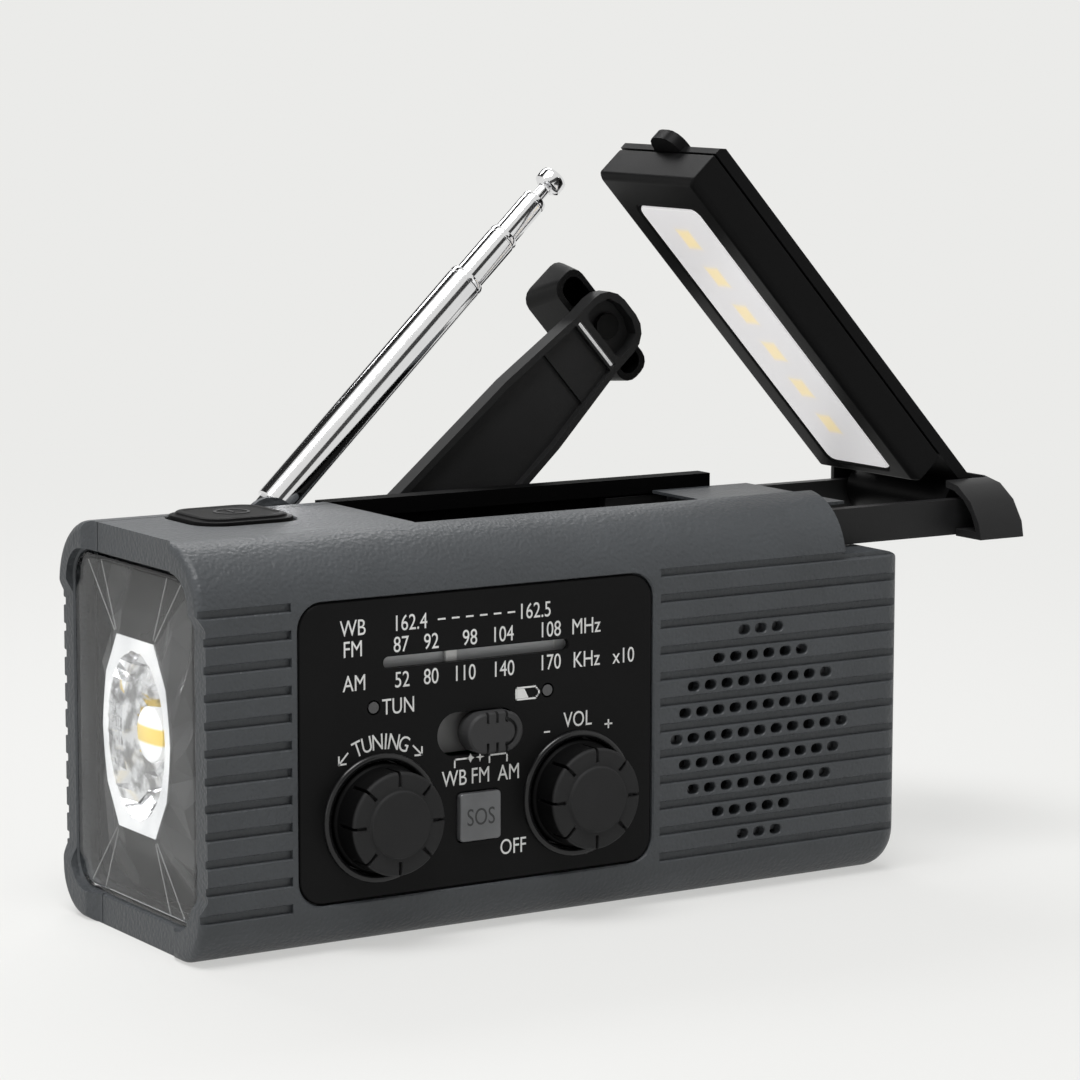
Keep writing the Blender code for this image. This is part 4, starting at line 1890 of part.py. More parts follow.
def make_crank_arm(finish):
    """The arm, its near face sunk between rims, and a cup at its end for the grip's pin."""
    back = CRANK_FRONT_Y + CRANK_THICKNESS
    half = CRANK_TIP_HALF
    radius = CRANK_TIP_RADIUS
    tip = HUB_X + CRANK_TIP
    low = [(HUB_X + x, HUB_Z - w) for x, w in ARM_WIDTHS]
    high = [(HUB_X + x, HUB_Z + w) for x, w in reversed(ARM_WIDTHS)]
    hub = arc((HUB_X, HUB_Z), HUB_RADIUS, 1, 3, CORNER_STEPS * 3)[1:-1]
    outline = low + arc((tip - radius, HUB_Z - half + radius), radius, 3, 4, CORNER_STEPS)
    outline += arc((tip - radius, HUB_Z + half - radius), radius, 0, 1, CORNER_STEPS) + high + hub
    bm = new_form()
    add_prism(bm, [outline], "Y", CRANK_FRONT_Y, back)
    turn = (0, -CRANK_ANGLE, 0)
    arm = crank_node("crank_arm", bm, finish, turn)
    button = new_form()
    add_rod(button, (HUB_X, back - GAP, HUB_Z), (HUB_X, back + HUB_CAP, HUB_Z), HUB_CAP_RADIUS)
    join(arm, button)
    front = CRANK_FRONT_Y - OVERRUN
    face = new_form()
    add_prism(face, [arm_outline(CRANK_RIM, FACE_START, FACE_STEP)], "Y", front,
              CRANK_FRONT_Y + FACE_DEPTH)
    cut(arm, face)
    plate = new_form()
    add_prism(plate, [arm_outline(CRANK_RIM, FACE_STEP - GAP, FACE_END)], "Y", front,
              CRANK_FRONT_Y + PLATE_DEPTH)
    cut(arm, plate)
    openings = new_form()
    slot_half = half - CRANK_RIM
    add_box(openings, (HUB_X + SLOT_START, front, HUB_Z - slot_half),
            (HUB_X + SLOT_START + SLOT_WIDTH, back + OVERRUN, HUB_Z + slot_half))
    cup_radius = (radius - CRANK_RIM,) * 2
    cup = rounded_box((HUB_X + CUP_START, HUB_Z - slot_half), (tip - CRANK_RIM, HUB_Z + slot_half),
                      (CRANK_RIM, *cup_radius, CRANK_RIM), EDGE_STEPS)
    add_prism(openings, [cup], "Y", front, CRANK_FRONT_Y + CUP_DEPTH)
    cut(arm, openings)
    bores = new_form()
    add_rod(bores, (HUB_X, front, HUB_Z), (HUB_X, back - 2 * GAP, HUB_Z), CRANK_SHAFT_RADIUS + GAP)
    add_rod(bores, (HUB_X + GRIP_CENTRE, front, HUB_Z), (HUB_X + GRIP_CENTRE, back + OVERRUN, HUB_Z),
            GRIP_PIN_RADIUS + GAP, SMALL_SIDES)
    cut(arm, bores)


def make_grip_pin(finish):
    back = CRANK_FRONT_Y + CUP_DEPTH - GAP
    end = grip_front() + GRIP_DEPTH - GRIP_FLOOR - GAP
    profile = [(0, back - GRIP_PIN_HEAD_THICKNESS), (GRIP_PIN_HEAD, back - GRIP_PIN_HEAD_THICKNESS),
               (GRIP_PIN_HEAD, back), (GRIP_PIN_RADIUS, back), (GRIP_PIN_RADIUS, end), (0, end)]
    bm = new_form()
    add_turned(bm, profile, "Y", (HUB_X + GRIP_CENTRE, 0, HUB_Z), SMALL_SIDES)
    crank_node("grip_pin", bm, finish, (0, -CRANK_ANGLE, 0))


def grip_front():
    return CRANK_FRONT_Y + CRANK_THICKNESS + GAP


def grip_section(half_x, half_z, inset=0.0):
    """The grip's oblong at one depth, about the pin."""
    x = HUB_X + GRIP_CENTRE
    radius = GRIP_CORNER - inset / 2
    reach_x = half_x - inset
    reach_z = half_z - inset
    return rounded_box((x - reach_x, HUB_Z - reach_z), (x + reach_x, HUB_Z + reach_z), (radius,) * 4)


def make_crank_grip(finish):
    """The flared oblong grip, hollow towards the arm, with a sleeve round the pin."""
    front = grip_front()
    back = front + GRIP_DEPTH
    narrow = (GRIP_FRONT[0] / 2, GRIP_FRONT[1] / 2)
    wide = (GRIP_BACK[0] / 2, GRIP_BACK[1] / 2)
    soft = GRIP_WALL / 2
    bm = new_form()
    add_loft(bm, [(front, grip_section(*narrow)), (back - GRIP_WALL, grip_section(*wide)),
                  (back, grip_section(wide[0] - soft, wide[1] - soft))], "Y")
    reach = Vector((GRIP_CENTRE * math.cos(CRANK_ANGLE), 0, GRIP_CENTRE * math.sin(CRANK_ANGLE)))
    place = Vector((HUB_X, front, HUB_Z)) + reach
    origin = (HUB_X + GRIP_CENTRE, front, HUB_Z)
    grip = node("crank_grip", bm, finish, origin, (0, -CRANK_ANGLE, 0), place)
    hollow = new_form()
    add_loft(hollow, [(front - GAP, grip_section(*narrow, GRIP_WALL)),
                      (back - GRIP_FLOOR, grip_section(*wide, GRIP_WALL))], "Y")
    cut(grip, hollow)
    sleeve = new_form()
    bore = GRIP_PIN_RADIUS + GAP
    centre = (HUB_X + GRIP_CENTRE, HUB_Z)
    add_prism(sleeve, [circle(centre, bore + GRIP_WALL, ROUND_SIDES)], "Y", front + GRIP_WALL,
              back - GRIP_FLOOR / 2)
    join(grip, sleeve)
    pin_room = new_form()
    add_rod(pin_room, (centre[0], front, centre[1]), (centre[0], back - GRIP_FLOOR, centre[1]), bore,
            SMALL_SIDES)
    cut(grip, pin_room)


# Antenna

def antenna_node(name, bm, finish):
    return node(name, bm, finish, (ANTENNA_X, ANTENNA_Y, ANTENNA_Z), (0, -ANTENNA_ANGLE, 0))


def add_tube(bm, start, end, radius, bore, bore_start, sides):
    """A round tube lying along +X from the pivot, its bore open at its far end."""
    profile = [(bore, start)] if bore_start <= start else [(0, start)]
    profile += [(radius, start), (radius, end), (bore, end)]
    if bore_start > start:
        profile += [(bore, bore_start), (0, bore_start)]
    add_turned(bm, profile, "X", (ANTENNA_X, ANTENNA_Y, ANTENNA_Z), sides)


def make_antenna_bracket(finish):
    """Two ears on a foot with the pivot pin across them."""
    base_low = GROOVE_Z + GAP
    inner = TONGUE_THICKNESS / 2 + GAP
    outer = inner + BRACKET_EAR
    radius = BRACKET_RADIUS
    ear = arc((ANTENNA_X, ANTENNA_Z), radius, 0, 2, CORNER_STEPS * 2)
    outline = ear + [(ANTENNA_X - radius, base_low), (ANTENNA_X + radius, base_low)]
    bm = new_form()
    add_prism(bm, [outline], "Y", ANTENNA_Y - outer, ANTENNA_Y + outer)
    bracket = node("antenna_bracket", bm, finish)
    gap_room = new_form()
    add_box(gap_room, (ANTENNA_X - radius - OVERRUN, ANTENNA_Y - inner, base_low + 2 * GAP),
            (ANTENNA_X + radius + OVERRUN, ANTENNA_Y + inner, ANTENNA_Z + radius + OVERRUN))
    cut(bracket, gap_room)
    pin = new_form()
    reach = outer + GAP
    add_rod(pin, (ANTENNA_X, ANTENNA_Y - reach, ANTENNA_Z), (ANTENNA_X, ANTENNA_Y + reach, ANTENNA_Z),
            ANTENNA_PIN_RADIUS, SMALL_SIDES)
    join(bracket, pin)


def make_antenna_mast(finish):
    bm = new_form()
    add_tube(bm, MAST_START, MAST_END, MAST_RADIUS, SECOND_RADIUS + ANTENNA_FIT,
             MAST_BORE_START, ROUND_SIDES)
    mast = antenna_node("antenna_mast", bm, finish)
    tongue = new_form()
    radius = TONGUE_RADIUS
    outline = arc((ANTENNA_X, ANTENNA_Z), radius, 1, 3, CORNER_STEPS * 2)
    outline += [(ANTENNA_X + MAST_START + radius, ANTENNA_Z - radius),
                (ANTENNA_X + MAST_START + radius, ANTENNA_Z + radius)]
    add_prism(tongue, [outline], "Y", ANTENNA_Y - TONGUE_THICKNESS / 2, ANTENNA_Y + TONGUE_THICKNESS / 2)
    join(mast, tongue)
    bore = new_form()
    add_rod(bore, (ANTENNA_X, ANTENNA_Y - MAST_RADIUS, ANTENNA_Z),
            (ANTENNA_X, ANTENNA_Y + MAST_RADIUS, ANTENNA_Z), ANTENNA_PIN_RADIUS + GAP, SMALL_SIDES)
    cut(mast, bore)


def make_antenna_sections(finish):
    second_end = MAST_END + SECOND_OUT
    third_end = second_end + THIRD_OUT
    tip_end = third_end + TIP_OUT
    for name, end, radius, inner in (("antenna_section_2", second_end, SECOND_RADIUS, THIRD_RADIUS),
                                     ("antenna_section_3", third_end, THIRD_RADIUS, TIP_ROD_RADIUS)):
        bm = new_form()
        start = end - SECTION_LENGTH
        add_tube(bm, start, end, radius, inner + ANTENNA_FIT, start, ROUND_SIDES)
        antenna_node(name, bm, finish)
    edge = TIP_LENGTH * TIP_EDGE_SHARE
    start = tip_end - SECTION_LENGTH
    disc = tip_end - TIP_LENGTH
    profile = [(0, start), (TIP_ROD_RADIUS, start), (TIP_ROD_RADIUS, disc), (TIP_RADIUS - edge, disc),
               (TIP_RADIUS, disc + edge), (TIP_RADIUS, tip_end - edge), (TIP_RADIUS - edge, tip_end),
               (0, tip_end)]
    bm = new_form()
    add_turned(bm, profile, "X", (ANTENNA_X, ANTENNA_Y, ANTENNA_Z), ROUND_SIDES)
    antenna_node("antenna_tip", bm, finish)


# Radio's ferrite rod

def make_ferrite_rod(finish):
    """The rod with its coil wound on it."""
    span = ROD_RIGHT - ROD_LEFT
    start = ROD_LEFT + span * COIL_SHARES[0]
    end = ROD_LEFT + span * COIL_SHARES[1]
    profile = [(0, ROD_LEFT), (ROD_RADIUS, ROD_LEFT), (ROD_RADIUS, start), (COIL_RADIUS, start),
               (COIL_RADIUS, end), (ROD_RADIUS, end), (ROD_RADIUS, ROD_RIGHT), (0, ROD_RIGHT)]
    bm = new_form()
    add_turned(bm, profile, "X", (0, ROD_Y, ROD_Z), ROUND_SIDES)
    node("ferrite_rod", bm, finish)


def make_rod_cradle(finish):
    """A flat bar on the back of the board with a clip for each end of the rod."""
    bore = ROD_RADIUS + GAP
    outer = bore + HOLDER_WALL
    foot = board_back() + GAP
    places = [ROD_LEFT + (ROD_RIGHT - ROD_LEFT) * share for share in CLIP_SHARES]
    bm = new_form()
    for x in places:
        loop = arc((ROD_Y, ROD_Z), outer, -1, 1, CORNER_STEPS * 2)
        outline = [(foot, ROD_Z - outer)] + loop + [(foot, ROD_Z + outer)]
        add_prism(bm, [outline, circle((ROD_Y, ROD_Z), bore, ROUND_SIDES)], "X", x - CLIP_WIDTH / 2,
                  x + CLIP_WIDTH / 2)
    cradle = node("rod_cradle", bm, finish)
    bar = new_form()
    half = CLIP_WIDTH / 2
    add_box(bar, (places[0], foot, ROD_Z - half), (places[1], foot + HOLDER_WALL, ROD_Z + half))
    join(cradle, bar)


# Charging sockets

def make_port_sockets(finish):
    """A small upright board with the two sockets that open at the casing's right end."""
    bm = new_form()
    back = SOCKET_BOARD_Y + SOCKET_BOARD_THICKNESS
    holes = [circle(place, SMALL_SCREW_RADIUS + GAP, SMALL_SIDES) for place in SOCKET_PINS]
    edge = rectangle((SOCKET_BOARD_LEFT, SOCKET_BOARD_BOTTOM), (RIGHT - WALL - GAP, SOCKET_BOARD_TOP))
    add_prism(bm, [edge] + holes, "Y", SOCKET_BOARD_Y, back)
    sockets = node("port_sockets", bm, finish)
    for centre, width, height, depth in ((USB_CENTRE_Z, USB_WIDTH, USB_HEIGHT, USB_DEPTH),
                                         (MICRO_CENTRE_Z, MICRO_WIDTH, MICRO_HEIGHT, MICRO_DEPTH)):
        body = new_form()
        near_side = SOCKET_BOARD_Y - GAP
        add_box(body, (SOCKET_FRONT_X - depth, near_side - height, centre - width / 2),
                (SOCKET_FRONT_X, near_side + GAP * 2, centre + width / 2))
        join(sockets, body)
        mouth = new_form()
        add_box(mouth, (SOCKET_FRONT_X - depth + OVERRUN, near_side - height + USB_SHEET,
                        centre - width / 2 + USB_SHEET),
                (SOCKET_FRONT_X + OVERRUN, near_side - USB_SHEET, centre + width / 2 - USB_SHEET))
        cut(sockets, mouth)
    over = new_form()
    add_box(over, (RIGHT - WALL - GAP, SOCKET_BOARD_Y - GAP, SOCKET_BOARD_BOTTOM),
            (RIGHT, back + GAP, SOCKET_BOARD_TOP))
    cut(sockets, over)


def make_port_cover(finish):
    """The rubber flap over the sockets, shut."""
    left = RIGHT - FLAP_THICKNESS
    bm = new_form()
    add_box(bm, (left, FLAP_FRONT_Y, FLAP_BOTTOM), (RIGHT, FLAP_BACK_Y, FLAP_TOP))
    bevel_where(bm, lambda co: near(co.z, FLAP_BOTTOM) or near(co.z, FLAP_TOP), FLAP_THICKNESS / 3)
    middle = FLAP_THICKNESS / 2
    node("port_cover", bm, finish, (RIGHT - middle, (FLAP_FRONT_Y + FLAP_BACK_Y) / 2, FLAP_BOTTOM + middle))


def main():
    clear_scene()
    make_front_shell(SHELL_GREY)
    make_rear_shell(SHELL_GREY)
    make_case_screws(STEEL)
    make_torch_lens(SMOKED_CLEAR)
    make_torch_surround(GLOSS_BLACK)
    make_torch_reflector(CHROME)
    make_torch_led(WARM_LED)
    make_dial_plate(GLOSS_BLACK)
    make_scale_strip(MID_GREY)
    make_dial_pointer(WHITE)
    make_dial_cord(NYLON)
    make_knob("tuning_knob", SATIN_BLACK, TUNING_X, False)
    make_tuning_shaft(BRASS)
    make_knob("volume_knob", SATIN_BLACK, VOLUME_X, True)
    make_light_guide(SMOKED_CLEAR)
    make_band_switch(STEEL)
    make_band_switch_cap(SATIN_BLACK)
    make_sos_button(MID_GREY)
    make_main_board(BOARD_GREEN)
    make_tuning_capacitor(MILKY)
    make_torch_button(GLOSS_BLACK)
    make_torch_switch(BOARD_GREEN)
    make_speaker_frame(STEEL)
    make_speaker_cone(PAPER)
    make_battery_cell(CELL_BLUE)
    make_battery_holder(SATIN_BLACK)
    make_lamp_tray(SATIN_BLACK)
    make_lamp_slide(SATIN_BLACK)
    make_lamp_hinge_pin(STEEL)
    make_lamp_leaf(SHELL_GREY)
    make_lamp_cover(SATIN_BLACK)
    make_lamp_housing(SATIN_BLACK)
    make_lamp_diffuser(MILKY)
    make_lamp_led_board(WHITE)
    make_solar_panel(SOLAR_BLUE)
    make_gearbox_plate(STEEL)
    make_gear_axle(STEEL)
    make_generator_body(STEEL)
    make_generator_pinion(BRASS)
    make_intermediate_gear(NYLON)
    make_crank_shaft(NYLON)
    make_crank_arm(SATIN_BLACK)
    make_grip_pin(STEEL)
    make_crank_grip(SATIN_BLACK)
    make_inner_screws(STEEL)
    make_ferrite_rod(FERRITE)
    make_rod_cradle(NYLON)
    make_antenna_bracket(CHROME)
    make_antenna_mast(CHROME)
    make_antenna_sections(CHROME)
    make_port_sockets(BOARD_GREEN)
    make_port_cover(RUBBER_BLACK)


main()
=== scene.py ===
# %% [markdown]
# # A hand crank weather radio
#
# This lesson dresses a portable radio: a grained casing, a dial panel, a torch in its left end,
# a reading lamp on a slide, a telescopic antenna and a crank. The bare solids come from a packed
# frame that also knows how each piece moves. Here every visible surface gets its finer shape and
# its finish, and each new piece is tied to the moving body that it belongs to.

# %% Load the frame
import bmesh
import bpy
import json
import math
from mathutils import Matrix, Vector

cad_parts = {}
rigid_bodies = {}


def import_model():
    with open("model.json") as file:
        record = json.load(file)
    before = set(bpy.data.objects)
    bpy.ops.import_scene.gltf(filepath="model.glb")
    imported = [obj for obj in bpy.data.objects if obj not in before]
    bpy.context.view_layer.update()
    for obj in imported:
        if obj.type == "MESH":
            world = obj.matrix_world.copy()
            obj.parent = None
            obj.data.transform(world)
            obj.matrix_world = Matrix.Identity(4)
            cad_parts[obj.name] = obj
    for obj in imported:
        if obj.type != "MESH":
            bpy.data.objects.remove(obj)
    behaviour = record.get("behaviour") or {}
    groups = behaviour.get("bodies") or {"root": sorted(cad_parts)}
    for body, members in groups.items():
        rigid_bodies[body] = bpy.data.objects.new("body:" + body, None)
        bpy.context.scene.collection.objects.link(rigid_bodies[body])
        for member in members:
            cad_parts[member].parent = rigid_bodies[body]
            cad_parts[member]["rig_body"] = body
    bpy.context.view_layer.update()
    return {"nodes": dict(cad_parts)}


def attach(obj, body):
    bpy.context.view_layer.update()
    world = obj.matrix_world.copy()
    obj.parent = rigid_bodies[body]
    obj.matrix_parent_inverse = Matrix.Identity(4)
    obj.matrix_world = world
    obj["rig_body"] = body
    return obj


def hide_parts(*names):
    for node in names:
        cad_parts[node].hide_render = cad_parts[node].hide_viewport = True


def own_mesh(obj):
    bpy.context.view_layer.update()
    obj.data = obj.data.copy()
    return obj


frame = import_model()

# %% [markdown]
# Forms are drawn in millimetres, because the real radio's sizes read best that way, and one
# function turns them into metres. Outlines have two numbers: (y, z) for a form that runs along
# X, (x, z) along Y and (x, y) along Z.

# %% Outlines
MM = 0.001
ALONG = {"X": Vector((1, 0, 0)), "Y": Vector((0, 1, 0)), "Z": Vector((0, 0, 1))}
DRAWN = {
    "X": Matrix(((0, 0, 1, 0), (1, 0, 0, 0), (0, 1, 0, 0), (0, 0, 0, 1))),
    "Y": Matrix(((1, 0, 0, 0), (0, 0, -1, 0), (0, 1, 0, 0), (0, 0, 0, 1))),
    "Z": Matrix.Identity(4),
}
TURNED = dict(DRAWN, Y=Matrix(((1, 0, 0, 0), (0, 0, 1, 0), (0, -1, 0, 0), (0, 0, 0, 1))))


def arc(centre, radius, start, end, steps):
    """Points on an arc, with angles in quarter turns."""
    turns = [(start + (end - start) * i / steps) * math.pi / 2 for i in range(steps + 1)]
    return [(centre[0] + radius * math.cos(t), centre[1] + radius * math.sin(t)) for t in turns]


def rounded(low, high, radii, steps=10):
    """A rectangle with a radius for each corner: low-low, high-low, high-high, low-high."""
    if not isinstance(radii, tuple):
        radii = (radii,) * 4
    a, b, c, d = radii
    return (arc((low[0] + a, low[1] + a), a, 2, 3, steps)
            + arc((high[0] - b, low[1] + b), b, 3, 4, steps)
            + arc((high[0] - c, high[1] - c), c, 0, 1, steps)
            + arc((low[0] + d, high[1] - d), d, 1, 2, steps))


def circle(centre, radius, sides=64):
    return arc(centre, radius, 0, 4, sides)[:-1]


print("corner points", len(rounded((0, 0), (2, 2), 1)))

# %% [markdown]
# Three ways of making a solid do nearly all the work: a loft through outlines, a block, and a
# turned form. Each fills a bmesh, and `solid` closes it into an object.

# %% Solid forms
def loft(form, sections, axis):
    """A closed form through outlines with equal counts of points, each with its place."""
    rings = [[form.verts.new(DRAWN[axis] @ Vector((a, b, 0)) + ALONG[axis] * place) for a, b in outline]
             for place, outline in sections]
    count = len(rings[0])
    for lower, upper in zip(rings, rings[1:]):
        for i in range(count):
            j = (i + 1) % count
            form.faces.new((lower[i], lower[j], upper[j], upper[i]))
    form.faces.new(rings[0][::-1])
    form.faces.new(rings[-1])
    return form


def prism(form, outline, axis, start, end):
    return loft(form, [(start, outline), (end, outline)], axis)


def block(form, low, high):
    return prism(form, [(low[0], low[1]), (high[0], low[1]), (high[0], high[1]), (low[0], high[1])],
                 "Z", low[2], high[2])


def turned(form, profile, axis, centre, sides=96, stretch=(1, 1)):
    """(radius, height) points revolved about a line through centre along an axis."""
    place = Matrix.Translation(centre) @ TURNED[axis] @ Matrix.Diagonal((*stretch, 1, 1))
    rings = []
    for radius, height in profile:
        count = sides if radius > 1e-6 else 1
        angles = [math.tau * i / sides for i in range(count)]
        rings.append([form.verts.new(place @ Vector((radius * math.cos(a), radius * math.sin(a), height)))
                      for a in angles])
    closed = all(len(ring) > 1 for ring in rings)
    for lower, upper in zip(rings, rings[1:] + (rings[:1] if closed else [])):
        for i in range(sides):
            j = (i + 1) % sides
            corners = [lower[i % len(lower)], lower[j % len(lower)],
                       upper[j % len(upper)], upper[i % len(upper)]]
            corners = list(dict.fromkeys(corners))
            if len(corners) > 2:
                form.faces.new(corners)
    return form


def solid(name, form):
    """An object at the origin from a form drawn in millimetres."""
    bmesh.ops.remove_doubles(form, verts=form.verts, dist=1e-6)
    bmesh.ops.recalc_face_normals(form, faces=form.faces)
    mesh = bpy.data.meshes.new(name)
    form.to_mesh(mesh)
    form.free()
    mesh.transform(Matrix.Scale(MM, 4))
    made = bpy.data.objects.new(name, mesh)
    bpy.context.scene.collection.objects.link(made)
    return made


def bake(piece):
    """Turns the piece's modifiers into its own mesh."""
    bpy.context.view_layer.update()
    mesh = bpy.data.meshes.new_from_object(piece.evaluated_get(bpy.context.evaluated_depsgraph_get()))
    piece.modifiers.clear()
    piece.data = mesh
    return piece


def carve(piece, tool, operation="DIFFERENCE"):
    """Cuts a tool out of a piece, or joins it on, and throws the tool away."""
    if not isinstance(tool, bpy.types.Object):
        tool = solid("tool", tool)
    step = piece.modifiers.new("carve", "BOOLEAN")
    step.operation = operation
    step.solver = "EXACT"
    step.object = tool
    bake(piece)
    bpy.data.objects.remove(tool)
    return piece


print("forms ready")

# %% [markdown]
# Geometry Nodes make what repeats. One tree sets copies of a piece in a row, one in a ring about
# the Y axis, and one at the points of a mesh. Each ends by making the copies real, since only
# real faces can be cut with or exported.

# %% Trees for rows, rings and sets of places
def put(tree, kind, feeds, output=0, **settings):
    """Adds a node with its settings, feeds its inputs sockets or values, and returns one output."""
    made = tree.nodes.new(kind)
    for label, value in settings.items():
        setattr(made, label, value)
    for label, value in feeds.items():
        if isinstance(value, bpy.types.NodeSocket):
            tree.links.new(value, made.inputs[label])
        elif value is not None:
            made.inputs[label].default_value = value
    return made.outputs[output]


def maths(tree, operation, *values):
    return put(tree, "ShaderNodeMath", dict(enumerate(values)), operation=operation)


def new_tree(name, inputs):
    tree = bpy.data.node_groups.new(name, "GeometryNodeTree")
    tree.interface.new_socket("Geometry", in_out="INPUT", socket_type="NodeSocketGeometry")
    for label, kind in inputs:
        tree.interface.new_socket(label, in_out="INPUT", socket_type=kind)
    tree.interface.new_socket("Geometry", in_out="OUTPUT", socket_type="NodeSocketGeometry")
    return tree, tree.nodes.new("NodeGroupInput").outputs, tree.nodes.new("NodeGroupOutput").inputs


def end_tree(tree, given, end, points, rotation=None):
    """Copies of the given piece on the points, made real, with the given finish."""
    piece = put(tree, "GeometryNodeObjectInfo", {"Object": given["Piece"]}, "Geometry")
    copies = put(tree, "GeometryNodeInstanceOnPoints",
                 {"Points": points, "Instance": piece, "Rotation": rotation})
    real = put(tree, "GeometryNodeRealizeInstances", {"Geometry": copies})
    painted = put(tree, "GeometryNodeSetMaterial", {"Geometry": real, "Material": given["Finish"]})
    tree.links.new(painted, end["Geometry"])


PIECE = [("Piece", "NodeSocketObject"), ("Finish", "NodeSocketMaterial")]
row_tree, given, end = new_tree("Row", [("Count", "NodeSocketInt"), ("Start", "NodeSocketVector"),
                                        ("Step", "NodeSocketVector")] + PIECE)
end_tree(row_tree, given, end, put(row_tree, "GeometryNodeMeshLine", {
    "Count": given["Count"], "Start Location": given["Start"], "Offset": given["Step"]}))

places_tree, given, end = new_tree("Places", PIECE)
end_tree(places_tree, given, end, given["Geometry"])

ring_tree, given, end = new_tree("Ring", [("Count", "NodeSocketInt"), ("First", "NodeSocketFloat")] + PIECE)
line = put(ring_tree, "GeometryNodeMeshLine", {"Count": given["Count"], "Offset": (0, 0, 0)})
shifted = maths(ring_tree, "ADD", put(ring_tree, "GeometryNodeInputIndex", {}), given["First"])
turn = maths(ring_tree, "MULTIPLY", maths(ring_tree, "DIVIDE", shifted, given["Count"]), math.tau)
angle = put(ring_tree, "ShaderNodeCombineXYZ", {"Y": turn})
end_tree(ring_tree, given, end, line, put(ring_tree, "FunctionNodeEulerToRotation", {0: angle}))


def grow(name, tree, piece, points=(), **values):
    """Runs a tree on points given in millimetres and keeps its faces as a plain mesh."""
    if not isinstance(piece, bpy.types.Object):
        piece = solid("pattern", piece)
    mesh = bpy.data.meshes.new(name)
    mesh.from_pydata([Vector(p) * MM for p in points], [], [])
    host = bpy.data.objects.new(name, mesh)
    bpy.context.scene.collection.objects.link(host)
    step = host.modifiers.new("nodes", "NODES")
    step.node_group = tree
    values["Piece"] = piece
    for item in tree.interface.items_tree:
        if item.in_out == "INPUT" and item.name in values:
            step[item.identifier] = values[item.name]
    bake(host)
    bpy.data.objects.remove(piece)
    return host


print("trees", [t.name for t in (row_tree, places_tree, ring_tree)])

# %% [markdown]
# Two effects are shared by nearly every finish. Grain is the fine leather-like skin that the
# mould leaves, made from cells and noise. Handling is the slow change of tone and sheen over a
# surface that hands have touched. Both are shader node groups, placed in each material with
# their own values, and the shaders themselves stay in the materials.

# %% Shader groups
def new_group(name, inputs, output):
    group = bpy.data.node_groups.new(name, "ShaderNodeTree")
    for label in inputs:
        group.interface.new_socket(label, in_out="INPUT", socket_type="NodeSocketFloat")
    group.interface.new_socket(output, in_out="OUTPUT", socket_type="NodeSocketFloat")
    return group, group.nodes.new("NodeGroupInput").outputs, group.nodes.new("NodeGroupOutput").inputs


def on_piece(tree):
    """A place on the piece, in metres."""
    return put(tree, "ShaderNodeTexCoord", {}, "Object")


def fitted(tree, value, low, high, to_low=0, to_high=1, curve="LINEAR"):
    """Maps the range from low to high onto another one."""
    feeds = {"Value": value, "From Min": low, "From Max": high, "To Min": to_low, "To Max": to_high}
    return put(tree, "ShaderNodeMapRange", feeds, "Result", interpolation_type=curve)


grain, given, end = new_group("Grain", ["Scale", "Cells"], "Height")
where = {"Vector": on_piece(grain), "Scale": given["Scale"]}
noise = put(grain, "ShaderNodeTexNoise", {**where, "Detail": 3}, "Fac")
cells = put(grain, "ShaderNodeTexVoronoi", where, "Distance", feature="SMOOTH_F1")
height = put(grain, "ShaderNodeMix", {"Factor": given["Cells"], "A": noise, "B": cells}, "Result")
grain.links.new(height, end["Height"])

handling, given, end = new_group("Handling", ["Scale", "Low", "High"], "Value")
where = {"Vector": on_piece(handling), "Scale": given["Scale"], "Detail": 4}
noise = put(handling, "ShaderNodeTexNoise", where, "Fac")
handling.links.new(fitted(handling, noise, 0.3, 0.7, given["Low"], given["High"]), end["Value"])
print("groups", grain.name, handling.name)

# %% [markdown]
# A finish is a Principled shader with a tone that wanders a little, a roughness that wanders
# with handling, and a grain that feeds a Bump. What differs from finish to finish is in one
# table: colour, roughness, metal, grain size and depth, and coat.

# %% Finishes
def place_group(tree, group, **values):
    made = tree.nodes.new("ShaderNodeGroup")
    made.node_tree = group
    for label, value in values.items():
        made.inputs[label].default_value = value
    return made.outputs[0]


def blended(tree, factor, first, second):
    """Two colours, mixed by a factor."""
    return put(tree, "ShaderNodeMix", {"Factor": factor, "A": first, "B": second}, "Result", data_type="RGBA")


def finish(name, colour, rough, metal=0.0, scale=1500, depth=0.00002, cells=0.5, tone=0.08, coat=0.0,
           spread=0.05, shine=0.5):
    """A procedural material; scale is in cells a metre and depth in metres."""
    made = bpy.data.materials.new(name)
    made.use_nodes = True
    tree = made.node_tree
    sockets = tree.nodes["Principled BSDF"].inputs
    shades = [(*[min(1, c * share) for c in colour], 1) for share in (1 - tone, 1 + tone)]
    wander = place_group(tree, handling, Scale=90, Low=0, High=1)
    tree.links.new(blended(tree, wander, *shades), sockets["Base Color"])
    worn = place_group(tree, handling, Scale=45, Low=max(0.02, rough - spread), High=rough + spread)
    tree.links.new(worn, sockets["Roughness"])
    sockets["Metallic"].default_value = metal
    sockets["Specular IOR Level"].default_value = shine
    sockets["Coat Weight"].default_value = coat
    sockets["Coat Roughness"].default_value = 0.12
    if depth:
        height = place_group(tree, grain, Scale=scale, Cells=cells)
        bump = put(tree, "ShaderNodeBump", {"Distance": depth, "Height": height})
        tree.links.new(bump, sockets["Normal"])
    return made


